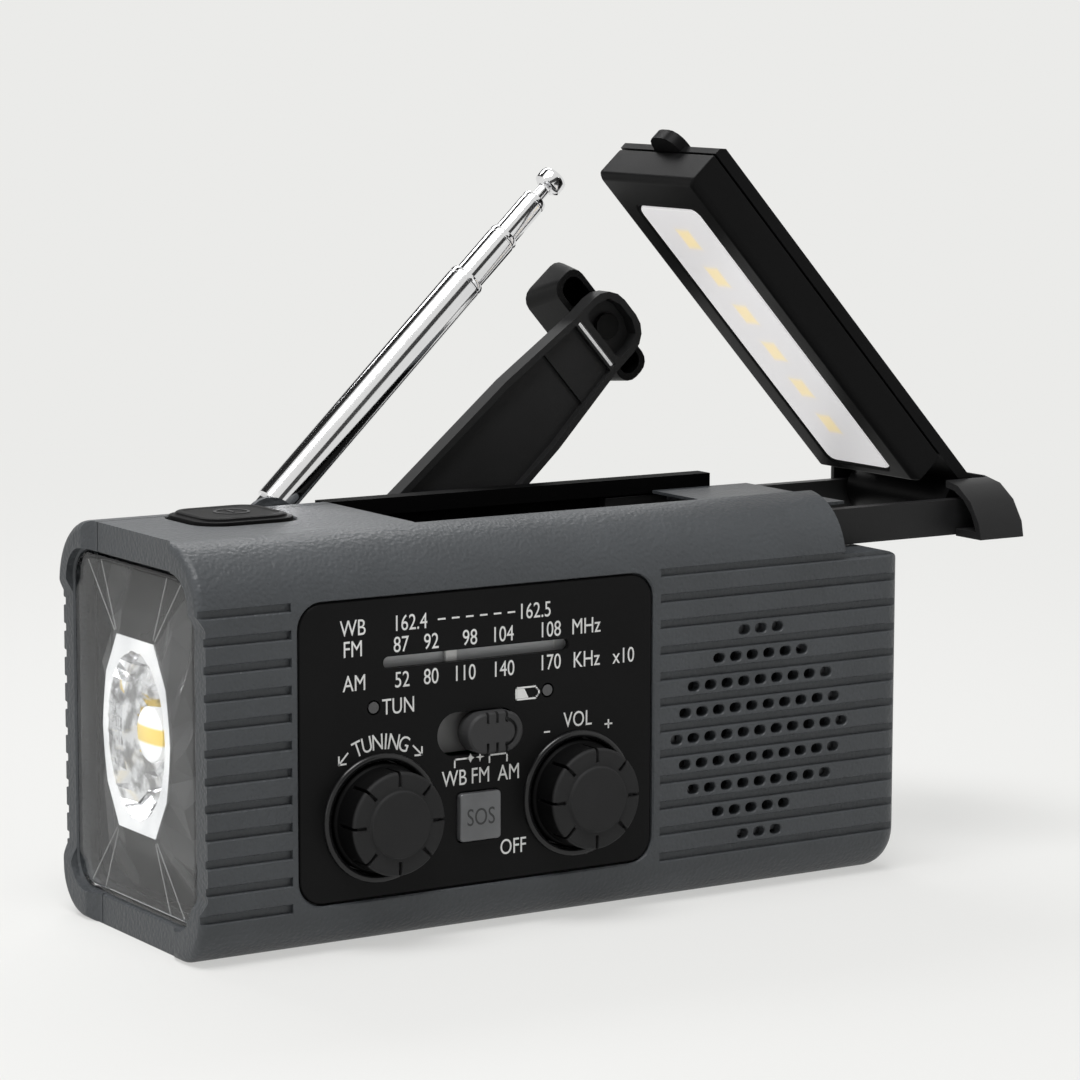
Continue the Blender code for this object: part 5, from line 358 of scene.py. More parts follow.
FINISHES = {
    "casing_grey": finish("casing_grey", (0.051, 0.0555, 0.0605), 0.46, scale=1300, depth=0.00024,
                          cells=0.55, shine=0.36),
    "satin_black": finish("satin_black", (0.006, 0.006, 0.0062), 0.40, scale=2600, depth=0.00002, shine=0.10),
    "smooth_black": finish("smooth_black", (0.006, 0.006, 0.0062), 0.36, scale=3200, depth=0.000008,
                           shine=0.08),
    "mirror_coat": finish("mirror_coat", (0.90, 0.90, 0.91), 0.07, 1.0, depth=0, spread=0.02, tone=0.02),
    "bright_chrome": finish("bright_chrome", (0.80, 0.80, 0.81), 0.09, 1.0, depth=0, spread=0.03, tone=0.03),
    "plain_steel": finish("plain_steel", (0.45, 0.46, 0.48), 0.36, 1.0, scale=2500, depth=0.00001),
    "turned_brass": finish("turned_brass", (0.60, 0.43, 0.17), 0.34, 1.0, scale=2500, depth=0.00001),
    "board_green": finish("board_green", (0.02, 0.12, 0.05), 0.42, scale=3000, depth=0.00001, coat=0.4),
    "switch_grey": finish("switch_grey", (0.20, 0.20, 0.20), 0.50),
    "mid_grey": finish("mid_grey", (0.085, 0.088, 0.092), 0.38, scale=4000, depth=0.00001),
    "plain_white": finish("plain_white", (0.74, 0.74, 0.73), 0.45, depth=0),
    "milky_plastic": finish("milky_plastic", (0.72, 0.71, 0.72), 0.40, scale=3000, depth=0.00001, tone=0.02),
    "warm_light": finish("warm_light", (0.85, 0.60, 0.10), 0.25, depth=0, coat=0.6),
    "nylon": finish("nylon", (0.66, 0.63, 0.55), 0.48),
    "pressed_paper": finish("pressed_paper", (0.012, 0.012, 0.012), 0.85, scale=1800, depth=0.00008),
    "cell_sleeve": finish("cell_sleeve", (0.04, 0.13, 0.30), 0.35, coat=0.4),
    "ferrite": finish("ferrite", (0.03, 0.027, 0.026), 0.65),
    "soft_rubber": finish("soft_rubber", (0.030, 0.033, 0.036), 0.62, scale=2600, depth=0.00003),
    "solar_cells": finish("solar_cells", (0.010, 0.014, 0.035), 0.22, depth=0, coat=0.8),
    "clear_plastic": finish("clear_plastic", (0.92, 0.93, 0.94), 0.04, depth=0, spread=0.015),
}
print("finishes", len(FINISHES))

# %% [markdown]
# Clear plastic needs two more things. It transmits light, and it casts hardly any shadow, or the
# torch behind it would be dark: Light Path tells the material when a shadow ray asks.

# %% Clear plastic
CLEAR_IOR, SHADOW_KEPT = 1.22, 0.12
clear = FINISHES["clear_plastic"].node_tree
sockets = clear.nodes["Principled BSDF"].inputs
sockets["Transmission Weight"].default_value = 1.0
sockets["IOR"].default_value = CLEAR_IOR
shadow_ray = put(clear, "ShaderNodeLightPath", {}, "Is Shadow Ray")
clear.links.new(maths(clear, "MULTIPLY_ADD", shadow_ray, SHADOW_KEPT - 1, 1.0), sockets["Alpha"])
print("clear plastic IOR", CLEAR_IOR)

# %% [markdown]
# No two black plastics of the radio shine alike. The knobs are matt on their faces, and their sides
# are darker in colour as painted shade; the crank and the slide are a little lighter, and the bay is
# almost without gloss. Each gets a finish of its own. A colour can be laid over a finish where a mask
# is 1, and a few finishes get a painted glow, a little light of their own.

# %% Black plastics and overlays
knob_black = finish("knob_black", (0.026, 0.026, 0.0265), 0.52, scale=3200, depth=0.000015, shine=0.07)
cap_black = finish("cap_black", (0.042, 0.042, 0.043), 0.50, scale=3200, depth=0.000015, shine=0.14)
key_black = finish("key_black", (0.006, 0.006, 0.0062), 0.46, scale=3200, depth=0.000006, shine=0.045)
lamp_black = finish("lamp_black", (0.006, 0.006, 0.0062), 0.40, scale=2600, shine=0.055)
crank_black = finish("crank_black", (0.022, 0.022, 0.0225), 0.46, scale=2600, shine=0.14)
slide_black = finish("slide_black", (0.016, 0.016, 0.0165), 0.42, scale=2600, shine=0.16)
bay_black = finish("bay_black", (0.002, 0.002, 0.0021), 0.55, scale=2600, depth=0.00001, shine=0.03)
ring_black = finish("ring_black", (0.008, 0.008, 0.0085), 0.26, depth=0, coat=0.3, shine=0.2)
torch_black = finish("torch_black", (0.050, 0.050, 0.051), 0.24, depth=0, shine=0.16, tone=0.25)


def along_axes(tree, vector=None):
    """The x, y and z of a place on the piece, or of another vector."""
    split = tree.nodes.new("ShaderNodeSeparateXYZ")
    tree.links.new(vector or on_piece(tree), split.inputs["Vector"])
    return split.outputs


def overlay(made, mask, colour):
    """Lays a colour over a finish's own where the mask is 1."""
    base = made.node_tree.nodes["Principled BSDF"].inputs["Base Color"]
    made.node_tree.links.new(blended(made.node_tree, mask, base.links[0].from_socket, colour), base)


def own_light(made, strength, colour=None):
    """Gives a finish a painted glow, a little light of its own, white or of a socket's colour."""
    sockets = made.node_tree.nodes["Principled BSDF"].inputs
    sockets["Emission Color"].default_value = (1, 1, 1, 1)
    sockets["Emission Strength"].default_value = strength
    if colour:
        made.node_tree.links.new(colour, sockets["Emission Color"])


# Painted shade: the knobs' sides are darker in colour than their faces.
KNOB_SIDE_SHADE = (-35.4 * MM, -34.8 * MM)
tree = knob_black.node_tree
overlay(knob_black, fitted(tree, along_axes(tree)["Y"], *KNOB_SIDE_SHADE), (0.0022, 0.0022, 0.0023, 1))
print("black plastics ready")

# %% [markdown]
# Pieces of the frame whose shape is right keep it. Their edges are softened on a copy, because a
# moulded edge always has a small radius that catches the light, and the copy then stands for
# the frame's piece. Normals weighted by face area keep the broad faces flat.

# %% Finishing a piece
def settle(piece, made, body, nodes=(), soft=0.0, sharp=38, steps=2):
    """Softens edges, shades by angle, paints, and ties a piece to its body and nodes."""
    piece.data.materials.clear()
    piece.data.materials.append(made)
    for face in piece.data.polygons:
        face.material_index = 0
        face.use_smooth = True
    if soft:
        step = piece.modifiers.new("soft", "BEVEL")
        step.width = soft * MM
        step.segments = steps
        step.limit_method = "ANGLE"
        step.angle_limit = math.radians(sharp + 4)
        step.use_clamp_overlap = True
        step.miter_outer = "MITER_ARC"
        bake(piece)
    piece.data.set_sharp_from_angle(angle=math.radians(sharp))
    step = piece.modifiers.new("normals", "WEIGHTED_NORMAL")
    step.keep_sharp = True
    bake(piece)
    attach(piece, body)
    if nodes:
        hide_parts(*nodes)
    return piece


def loose_copy(node):
    """The closed mesh of a frame node as a new object, its flat faces whole."""
    form = bmesh.new()
    form.from_mesh(frame["nodes"][node].data)
    bmesh.ops.remove_doubles(form, verts=form.verts, dist=2e-6)
    bmesh.ops.dissolve_limit(form, angle_limit=math.radians(0.6), verts=form.verts, edges=form.edges)
    bmesh.ops.recalc_face_normals(form, faces=form.faces)
    place = {v: i for i, v in enumerate(form.verts)}
    mesh = bpy.data.meshes.new(node)
    mesh.from_pydata([v.co for v in form.verts], [], [[place[v] for v in f.verts] for f in form.faces])
    form.free()
    made = bpy.data.objects.new("worn_" + node, mesh)
    bpy.context.scene.collection.objects.link(made)
    return made


def soften(node, soft=0.25, made=None, sharp=38, steps=2):
    """A softened copy of a frame node that stands for it."""
    slot = frame["nodes"][node].data.materials[0].name.split(".")[0]
    return settle(loose_copy(node), made or FINISHES[slot], frame["nodes"][node]["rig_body"], [node],
                  soft, sharp, steps)


print("ready to finish pieces")

# %% [markdown]
# ## The casing
#
# The casing is a rounded box whose top corners are wider than its bottom ones. It could be a
# cube with a Bevel, but the ends have their own, smaller rounding, so it is lofted from
# sections that draw in at each end like a fillet. Its hollow and its step at the right follow.

# %% Casing blank
FRONT, BACK, LEFT, RIGHT, HEIGHT = -29.0, 29.0, -78.0, 78.0, 76.0
WALL, PARTING, GAP, OVER = 2.2, 14.0, 0.3, 2.0
TOP_RADIUS, BOTTOM_RADIUS = 13.0, 9.0
STEP_X, SHOULDER = 63.6, 64.5


def section(inset=0.0, steps=14):
    top, bottom = TOP_RADIUS - inset, BOTTOM_RADIUS - inset
    return rounded((FRONT + inset, inset), (BACK - inset, HEIGHT - inset), (bottom, bottom, top, top), steps)


def rounded_end(face, radius, way, steps):
    """Places and drawn-in sections that round an end; way points into the body."""
    turns = [math.pi / 2 * i / steps for i in range(steps + 1)]
    return [(face + way * radius * (1 - math.sin(t)), section(radius * (1 - math.cos(t)))) for t in turns]


blank = bmesh.new()
left_end = rounded_end(LEFT, 1.6, 1, 5)[::-1]
right_end = rounded_end(RIGHT, 4.5, -1, 8)
loft(blank, left_end + right_end, "X")
casing = solid("casing", blank)
corner = (RIGHT - 4.5, SHOULDER - 4.5)
outline = [(STEP_X, SHOULDER), (STEP_X, HEIGHT + OVER), (RIGHT + OVER, HEIGHT + OVER),
           (RIGHT + OVER, corner[1])]
carve(casing, prism(bmesh.new(), outline + arc(corner, 4.5, 0, 1, 10), "Y", -58, 58))
hollow = solid("hollow", prism(bmesh.new(), section(WALL), "X", LEFT + 4.2, STEP_X - WALL))
carve(hollow, block(bmesh.new(), (-49.2, 19.5, 65.0), (STEP_X, 58, HEIGHT)))
carve(casing, hollow)
lower = rounded((FRONT + WALL, WALL), (BACK - WALL, SHOULDER - WALL), (6.8, 6.8, WALL, WALL))
carve(casing, prism(bmesh.new(), lower, "X", STEP_X - WALL - OVER, RIGHT - WALL))
print("casing blank", len(casing.data.polygons), "faces")

# %% [markdown]
# The torch end has raised bumpers at its corners. Between them the edge is lower, and the slopes
# that lead down to it show in the outline. The window is cut with a small lip.

# %% Torch end, lamp bay and key hole
def flared(form, outline_at, axis, face, way, depth, lip):
    """A cutter whose mouth widens by a lip at the face; way points into the body."""
    places = [(-OVER, lip), (0, lip), (lip, 0), (depth, 0)]
    sections = [(face + way * d, outline_at(g)) for d, g in places]
    return loft(form, sections if way > 0 else sections[::-1], axis)


WINDOW_HALF, WINDOW_LOW, WINDOW_HIGH = 24.5, 5.75, 70.25


def window(grow=0.0):
    return rounded((-WINDOW_HALF - grow, WINDOW_LOW - grow), (WINDOW_HALF + grow, WINDOW_HIGH + grow),
                   6 + grow, 8)


BUMPER = LEFT + 1.4
reach = 2.6 + 2.6 * OVER / 1.4
sides = [(BUMPER, 12.6), (BUMPER, 61.4), (LEFT - OVER, 61.4 + reach), (LEFT - OVER, 12.6 - reach)]
carve(casing, prism(bmesh.new(), sides, "Y", -80, 80))
ends = [(BUMPER, -15.6), (BUMPER, 15.6), (LEFT - OVER, 15.6 + reach), (LEFT - OVER, -15.6 - reach)]
carve(casing, prism(bmesh.new(), ends, "Z", -OVER, HEIGHT + OVER))
carve(casing, flared(bmesh.new(), window, "X", BUMPER, 1, 6, 0.35))
carve(casing, block(bmesh.new(), (-28.8, -21.9, 62.7), (STEP_X + OVER, 21.9, HEIGHT - WALL)))
carve(casing, block(bmesh.new(), (-26.8, -17.1, 70), (STEP_X + OVER, 21.9, HEIGHT + OVER)))


def key(grow=0.0):
    return rounded((-63.5 - grow, -4 - grow), (-42.5 + grow, 16 + grow), 5.8 + grow, 8)


carve(casing, flared(bmesh.new(), lambda g: key(GAP + g), "Z", HEIGHT, -1, 5, 0.25))
print("torch end cut, window", 2 * WINDOW_HALF, "x", WINDOW_HIGH - WINDOW_LOW)

# %% [markdown]
# The ribs are what is left between twelve grooves. In the photograph each groove is dark with a
# bright lower edge, so its cutter has sloped lips. One row made by Geometry Nodes cuts front and
# back, left and right of the panel at once.

# %% Ribs
def groove(form, way, low_x, high_x):
    """A groove's cutter for the front (way 1) or the back (way -1), centred on z = 0."""
    face = FRONT * way
    half, lip, depth, foot = 0.75, 0.25, 0.9, 0.15
    side = [(-OVER, half + lip), (0, half + lip), (lip, half), (depth - foot, half), (depth, half - foot)]
    outline = [(face + way * d, -h) for d, h in side] + [(face + way * d, h) for d, h in reversed(side)]
    return prism(form, outline, "X", low_x, high_x)


cutter = bmesh.new()
for way in (1, -1):
    groove(cutter, way, LEFT - OVER, -59.4)
    groove(cutter, way, 20.1, 76.3)
carve(casing, grow("grooves", row_tree, cutter, Count=12, Start=(0, 0, 9.3 * MM), Step=(0, 0, 5 * MM)))
print("ribbed casing", len(casing.data.polygons), "faces")

# %% [markdown]
# The speaker's holes are short slots in nine rows, one on each rib, that together draw a round
# field. The places come from the counts, and Geometry Nodes put a slot cutter on each.

# %% Speaker slots
ROWS = (3, 6, 9, 10, 11, 10, 9, 5, 3)
SHORT_ROW = 7
places = []
for row, count in enumerate(ROWS):
    span = count if row == SHORT_ROW else count - 1
    z = 9.3 + 5 * (len(ROWS) - row - 0.5)
    places += [(43.5 + 3.9 * (i - span / 2), 0, z) for i in range(count)]


def slot_hole(grow):
    end = 0.95 + grow
    return arc((0.4, 0), end, -1, 1, 6) + arc((-0.4, 0), end, 1, 3, 6)


slot_cutter = flared(bmesh.new(), slot_hole, "Y", FRONT, 1, 4.2, 0.2)
carve(casing, grow("speaker_slots", places_tree, slot_cutter, places))
print("slots", len(places))

# %% [markdown]
# The panel sits in a shallow pocket. At the back are the antenna's rest groove, its small ear,
# the crank's boss and four posts for the case screws, and the right end has the flap's recess.
# Last the casing is parted into its two shells.

# %% Pocket, back and parting
def panel(grow=0.0):
    return rounded((-58.1 - grow, 9 - grow), (18.5 + grow, 64.8 + grow), 5 + grow, 8)


carve(casing, flared(bmesh.new(), panel, "Y", FRONT, 1, 1.8, 0.3))
carve(casing, prism(bmesh.new(), panel(-2.0), "Y", FRONT, FRONT + 6))
carve(casing, block(bmesh.new(), (-47, 21.7, 67.2), (STEP_X + OVER, BACK + OVER, HEIGHT + OVER)))
SCREWS = ((-58.0, 6.8), (-60.0, 62.6), (70.0, 7.5), (70.0, 56.0))
boss = [(0, 27.9), (9, 27.9), (9, 30.0), (8.8, 30.2), (0, 30.2)]
carve(casing, turned(bmesh.new(), boss, "Y", (-16, 0, 48.5)), "UNION")
ear = [(-42.9, 66.1), (-31.1, 66.1)] + arc((-37, 71.3), 5.9, 0, 2, 24)
carve(casing, prism(bmesh.new(), ear, "Y", 20.1, 21.4), "UNION")
posts, heads = bmesh.new(), bmesh.new()
for x, z in SCREWS:
    turned(posts, [(0, 16), (3.4, 16), (3.4, 27.9), (0, 27.9)], "Y", (x, 0, z), 32)
    turned(heads, [(0, 14), (1.8, 14), (1.8, 22), (2.85, 22), (2.85, 28.8), (3.1, 29), (3.1, 31), (0, 31)],
           "Y", (x, 0, z), 48)
carve(casing, posts, "UNION")
carve(casing, heads)
carve(casing, turned(bmesh.new(), [(0, 20), (3.3, 20), (3.3, 33), (0, 33)], "Y", (-16, 0, 48.5), 48))
carve(casing, block(bmesh.new(), (76.2, -3.1, 11.6), (80, 11.1, 39.0)))
ports = block(bmesh.new(), (73.8, 0.6, 23.2), (80, 7.5, 36.8))
carve(casing, block(ports, (73.8, 3.9, 13.95), (80, 7.5, 22.05)))
rear = casing.copy()
rear.data = casing.data.copy()
bpy.context.scene.collection.objects.link(rear)
carve(casing, block(bmesh.new(), (-90, PARTING - 0.15, -10), (90, 60, 90)))
carve(rear, block(bmesh.new(), (-90, -60, -10), (90, PARTING + 0.15, 90)))
casing.name, rear.name = "front_casing", "rear_casing"
GREY = FINISHES["casing_grey"]
settle(casing, GREY, "casing", ["front_shell"], sharp=30)
settle(rear, GREY, "casing", ["rear_shell"], sharp=30)
print("shells", len(casing.data.polygons), len(rear.data.polygons))

# %% [markdown]
# ## The dial panel
#
# The panel is a thin plate with its own soft rim. Round openings take the knobs, a long one the
# scale, and a rounded one the switch. It is printed with the usual words and numbers of a dial.

# %% Panel plate
PLATE_FRONT, PLATE_BACK = -28.7, -27.5
KNOBS = {"tuning": (-41.0, 24.0), "volume": (1.5, 24.0)}
rim = [(PLATE_FRONT, panel(-0.55)), (PLATE_FRONT + 0.25, panel(-GAP)), (PLATE_BACK, panel(-GAP))]
plate = solid("dial_panel", loft(bmesh.new(), rim, "Y"))
holes = bmesh.new()
for x, z in KNOBS.values():
    prism(holes, circle((x, z), 11.3, 96), "Y", -31, -26)
for x, z in ((-42.4, 44.5), (-5.1, 44.2)):
    prism(holes, circle((x, z), 1.4, 32), "Y", -31, -26)
prism(holes, rounded((-40.4, 51.4), (-0.4, 53.6), 1.05, 8), "Y", -31, -26)
prism(holes, rounded((-29, 33.65), (-11.5, 41.95), 4.1, 16), "Y", -31, -26)
prism(holes, rounded((-24.95, 17.25), (-15.45, 26.95), 1.1, 6), "Y", -31, -26)
carve(plate, holes)
BLACK = FINISHES["smooth_black"]
settle(plate, BLACK, "casing", ["dial_plate"])
print("panel", len(plate.data.polygons), "faces")

# %% [markdown]
# Each knob sits in a well with a raised ring, and eight radial slits run from its raised middle
# disc over its edge. A turned form gives ring, well and knob, and a ring tree cuts the slits.

# %% Wells and knobs
RING = [(10.6, -29.2), (10.8, -29.5), (11.3, -29.6), (11.7, -29.5), (12.0, -29.2), (12.0, -28.72),
        (11.25, -28.6), (11.25, -27.4), (11.6, -25.2), (11.6, -24.6), (3.1, -24.6), (3.1, -25.4),
        (10.4, -25.4), (10.6, -25.9)]
for name, (x, z) in KNOBS.items():
    well = solid(name + "_well", turned(bmesh.new(), RING, "Y", (x, 0, z), 128))
    settle(well, ring_black, "casing", sharp=50)
    profile = [(0, -32), (0, -36.5), (5.8, -36.5), (6.1, -36.3), (6.2, -35.95), (6.35, -35.8),
               (9.0, -35.8), (9.4, -35.6), (9.6, -35.2), (9.6, -29.6), (10.0, -29.3), (10.2, -28.9),
               (10.2, -25.7), (0, -25.7)]
    knob = solid(name + "_dial_knob", turned(bmesh.new(), profile, "Y", (x, 0, z), 128))
    step = [(6.9, -38), (12, -38), (12, -30.4), (8.5, -30.4), (8.5, -35.1), (6.9, -35.1)]
    slits = grow("slits", ring_tree, prism(bmesh.new(), step, "Z", -0.28, 0.28), Count=8, First=0.0)
    slits.data.transform(Matrix.Translation((x * MM, 0, z * MM)))
    carve(knob, slits)
    node = name + "_knob"
    settle(knob, knob_black, name, [node], soft=0.12, sharp=40)
print("knob", len(knob.data.polygons), "faces")

# %% [markdown]
# The band switch is a pill with short notches along both its edges and a raised tongue. The
# signal button is a brushed grey square, and two smoked dots are the lights' guides.

# %% Switch cap, signal button and small pieces
def pill(grow=0.0):
    return rounded((-23.8 - grow, 33.95 - grow), (-11.8 + grow, 41.65 + grow), 3.84 + grow, 16)


cap = solid("switch_cap", loft(bmesh.new(), [(-31.2, pill(-0.5)), (-30.9, pill(-0.12)), (-30.6, pill()),
                                             (-27.2, pill())], "Y"))
carve(cap, block(bmesh.new(), (-19.6, -29, 36.0), (-16.0, -24.7, 39.6)), "UNION")
notch = block(bmesh.new(), (-0.28, -33, 0), (0.28, -30.2, 2.1))
block(notch, (-0.28, -33, 5.7), (0.28, -30.2, 7.9))
carve(cap, grow("notches", row_tree, notch, Count=3, Start=(-19.6 * MM, 0, 33.85 * MM),
                Step=(2.05 * MM, 0, 0)))
crescent = arc((-15.9, 37.8), 2.7, -1, 1, 16) + arc((-15.9, 37.8), 2.1, 1, -1, 16)
carve(cap, prism(bmesh.new(), crescent, "Y", -33, -30.4))
settle(cap, cap_black, "band_slider", ["band_switch_cap"], soft=0.1)


def button(grow=0.0):
    return rounded((-24.65 - grow, 17.55 - grow), (-15.75 + grow, 26.65 + grow), 0.8 + grow, 6)


press = solid("signal_cap", loft(bmesh.new(), [(-29.7, button(-0.35)), (-29.55, button(-0.1)),
                                               (-29.35, button()), (-26.4, button())], "Y"))
brushed = finish("brushed_grey", (0.135, 0.138, 0.143), 0.34, 0.35, scale=5200, depth=0.00001, tone=0.18)
settle(press, brushed, "signal_key", ["sos_button"])
smoke = finish("smoked_guide", (0.045, 0.045, 0.047), 0.25, depth=0, coat=0.4)
soften("light_guide", 0.1, smoke)
soften("scale_strip", 0.1, finish("scale_grey", (0.60, 0.61, 0.62), 0.40, depth=0, tone=0.04))
soften("dial_pointer", 0.12)
print("switch cap", len(cap.data.polygons), "faces")

# %% [markdown]
# Words are text curves made into thin raised meshes. A word's height is set by the measured
# height of its own letters, and its width is drawn in a little, as the narrow print is.

# %% Printed words and marks
PRINT_Y, PRINT_RISE, SQUEEZE = PLATE_FRONT, 0.03, 0.80
words = bmesh.new()


def word(form, text, x, z, height=2.9, turn=0.0, face=PRINT_Y, squeeze=SQUEEZE):
    """Adds a word, centred on x and z, facing the front."""
    curve = bpy.data.curves.new("word", "FONT")
    curve.body = text
    curve.align_x, curve.align_y = "CENTER", "CENTER"
    curve.size = 1
    curve.resolution_u = 4
    made = bpy.data.objects.new("word", curve)
    bpy.context.scene.collection.objects.link(made)
    bpy.context.view_layer.update()
    mesh = bpy.data.meshes.new_from_object(made.evaluated_get(bpy.context.evaluated_depsgraph_get()))
    bpy.data.objects.remove(made)
    flat = bmesh.new()
    flat.from_mesh(mesh)
    bmesh.ops.remove_doubles(flat, verts=flat.verts, dist=1e-4)
    raised = bmesh.ops.extrude_face_region(flat, geom=flat.faces[:])["geom"]
    bmesh.ops.translate(flat, verts=[g for g in raised if isinstance(g, bmesh.types.BMVert)],
                        vec=(0, 0, 0.02))
    low = min(v.co.y for v in flat.verts)
    high = max(v.co.y for v in flat.verts)
    mid = (min(v.co.x for v in flat.verts) + max(v.co.x for v in flat.verts)) / 2
    size = height / (high - low)
    place = (Matrix.Translation((x, face, z)) @ Matrix.Rotation(turn, 4, "Y")
             @ Matrix.Rotation(math.pi / 2, 4, "X")
             @ Matrix.Diagonal((size * squeeze, size, PRINT_RISE / 0.02, 1))
             @ Matrix.Translation((-mid, -(low + high) / 2, 0)))
    flat.transform(place)
    flat.to_mesh(mesh)
    flat.free()
    form.from_mesh(mesh)
    bpy.data.meshes.remove(mesh)


def stroke(form, points, width, face=PRINT_Y):
    """Adds straight printed strokes between points."""
    for (x0, z0), (x1, z1) in zip(points, points[1:]):
        run = Vector((x1 - x0, z1 - z0)).normalized() * width / 2
        side = Vector((-run.y, run.x))
        ends = [Vector((x0, z0)) - run, Vector((x1, z1)) + run]
        corners = [ends[0] + side, ends[0] - side, ends[1] - side, ends[1] + side]
        prism(form, [tuple(c) for c in corners], "Y", face - PRINT_RISE, face + 0.05)


LABELS = [("WB", -46.7, 59.5), ("FM", -46.7, 55.65), ("AM", -46.5, 49.4), ("162.4", -34.4, 59.6),
          ("162.5", -7.7, 59.55), ("87", -36.6, 55.7), ("92", -30.25, 55.7), ("98", -22.0, 55.7),
          ("104", -14.65, 55.7), ("108", -4.3, 55.7), ("MHz", 3.5, 55.7), ("52", -36.4, 49.2),
          ("80", -30.3, 49.2), ("110", -22.9, 49.2), ("140", -14.5, 49.2), ("170", -4.3, 49.5),
          ("KHz", 3.6, 49.4), ("x10", 11.8, 49.3), ("TUN", -37.3, 44.4), ("VOL", 1.6, 38.15),
          ("WB", -25.4, 29.65), ("FM", -19.75, 29.7), ("AM", -13.7, 29.65), ("OFF", -12.6, 15.5)]
for text, x, z in LABELS:
    word(words, text, x, z, 2.9)
for letter, degrees in zip("TUNING", (110.0, 101.8, 92.6, 85.6, 78.6, 69.6)):
    a = math.radians(degrees)
    word(words, letter, -41 + 14.1 * math.cos(a), 24 + 14.1 * math.sin(a), 2.9, math.radians(90 - degrees))
marks = [[(-28.7 + 3.0 * i, 59.6), (-27.4 + 3.0 * i, 59.6)] for i in range(6)]
marks += [[(-25.3, 31.7), (-25.3, 33.1), (-22.5, 33.1)],
          [(-17.8, 31.9), (-17.8, 33.2), (-14.0, 33.2), (-14.0, 31.8)],
          [(-5.7, 36.3), (-4.7, 36.3)], [(7.8, 36.5), (9.2, 36.5)], [(8.5, 35.8), (8.5, 37.2)],
          [(-47.9, 36.6), (-49.7, 34.7)], [(-49.7, 36.1), (-49.7, 34.7), (-48.3, 34.7)],
          [(-34.1, 36.6), (-32.3, 34.8)], [(-32.3, 36.2), (-32.3, 34.8), (-33.7, 34.8)],
          [(-12.0, 43.0), (-12.0, 45.2), (-7.5, 45.2), (-7.5, 44.6), (-7.0, 44.6), (-7.0, 43.6), (-7.5, 43.6),
           (-7.5, 43.0), (-12.0, 43.0)]]
for points in marks:
    stroke(words, points, 0.32)
for x, z, r, waist in ((-21.9, 33.1, 0.85, 0.5), (-19.85, 33.1, 0.95, 0.28)):
    star = [(x + (r if i % 2 == 0 else r * waist) * math.cos(math.tau * i / 8),
             z + (r if i % 2 == 0 else r * waist) * math.sin(math.tau * i / 8)) for i in range(8)]
    prism(words, star, "Y", PRINT_Y - PRINT_RISE, PRINT_Y + 0.05)
charge = [(-11.8, 43.2), (-9.3, 43.2), (-10.2, 45.0), (-11.8, 45.0)]
prism(words, charge, "Y", PRINT_Y - PRINT_RISE, PRINT_Y + 0.05)
stroke(words, [(-2.05, 51.7), (-2.05, 53.3)], 0.3, -26.05)
lettering = solid("dial_print", words)
settle(lettering, FINISHES["plain_white"], "casing", sharp=20)
signal = bmesh.new()
word(signal, "SOS", -20.2, 22.1, 3.2, face=-29.7, squeeze=0.78)
dark_print = finish("dark_print", (0.02, 0.021, 0.022), 0.45, depth=0)
settle(solid("signal_print", signal), dark_print, "signal_key", sharp=20)
print("printed words", len(LABELS) + 7)

# %% [markdown]
# ## The torch
#
# The window is a clear cap with a soft rim, hollow at the back. It could be a flat sheet, but the
# real cap stands a little proud of its seat, and its rounded edge draws a line of light.

# %% Window
cap_form = loft(bmesh.new(), [(-76.5, window(-1.1)), (-76.35, window(-0.5)), (-76.0, window(-GAP)),
                              (-72.3, window(-GAP)), (-72.3, window(1.6)), (-71.9, window(1.6))], "X")
cover = solid("torch_window", cap_form)
carve(cover, loft(bmesh.new(), [(-76.0, window(-1.7)), (-75.6, window(-1.1)), (-70, window(-1.1))], "X"))
settle(cover, FINISHES["clear_plastic"], "casing", ["torch_lens"])
print("window", len(cover.data.polygons), "faces")

# %% [markdown]
# The bowl is an oval dish. The real one is broken into facets that throw the light about, so it
# is built in rings whose points swing in and out by turns, most at the top and the bottom. The
# same form, a little larger, makes the bowl's wall and the hole that it sits in.

# %% The bowl's form
TORCH_Z = 38
RIM_X, RIM_THICK, RIM_Y, RIM_Z = -75.9, 0.7, 13.7, 18.0
BOWL_SIDES, BOWL_DEPTH, BOWL_BASE, BOWL_RADIUS, BOWL_NARROW = 36, 12.6, 5.6, 16.1, 0.75
BOWL_STEPS, BOWL_WALL, BOWL_SWING, BOWL_ROOM = 7, 0.6, 0.42, 0.9
RIM_POINTS = [(0.545, 1.0), (0.70, 0.80), (0.88, 0.58), (0.935, 0.38), (0.975, 0.19), (1.0, 0.0)]


def bridge(form, rings):
    """Joins rings of points with triangles and closes both ends."""
    for lower, upper in zip(rings, rings[1:]):
        for i in range(len(lower)):
            j = (i + 1) % len(lower)
            form.faces.new((lower[i], lower[j], upper[j]))
            form.faces.new((lower[i], upper[j], upper[i]))
    form.faces.new(rings[0][::-1])
    form.faces.new(rings[-1])
    return form


def dish(form, grow, swing, first, last):
    """The bowl as a solid of facets, from a first place to a last one."""
    rings = []
    for i in range(BOWL_STEPS + 1):
        radius = BOWL_RADIUS + (BOWL_BASE - BOWL_RADIUS) * i / BOWL_STEPS
        place = RIM_X + BOWL_DEPTH * (BOWL_RADIUS ** 2 - radius ** 2) / (BOWL_RADIUS ** 2 - BOWL_BASE ** 2)
        place = first if i == 0 else last if i == BOWL_STEPS else place
        ring = []
        for k in range(BOWL_SIDES):
            angle = math.tau * (k + 0.5 * (i % 2)) / BOWL_SIDES
            moved = swing * (1 if k % 2 else -1) if 0 < i < BOWL_STEPS else 0
            reach = radius + grow + moved * abs(math.cos(angle)) ** 2
            ring.append((place, reach * BOWL_NARROW * math.sin(angle), TORCH_Z + reach * math.cos(angle)))
        rings.append([form.verts.new(p) for p in ring])
    return bridge(form, rings)


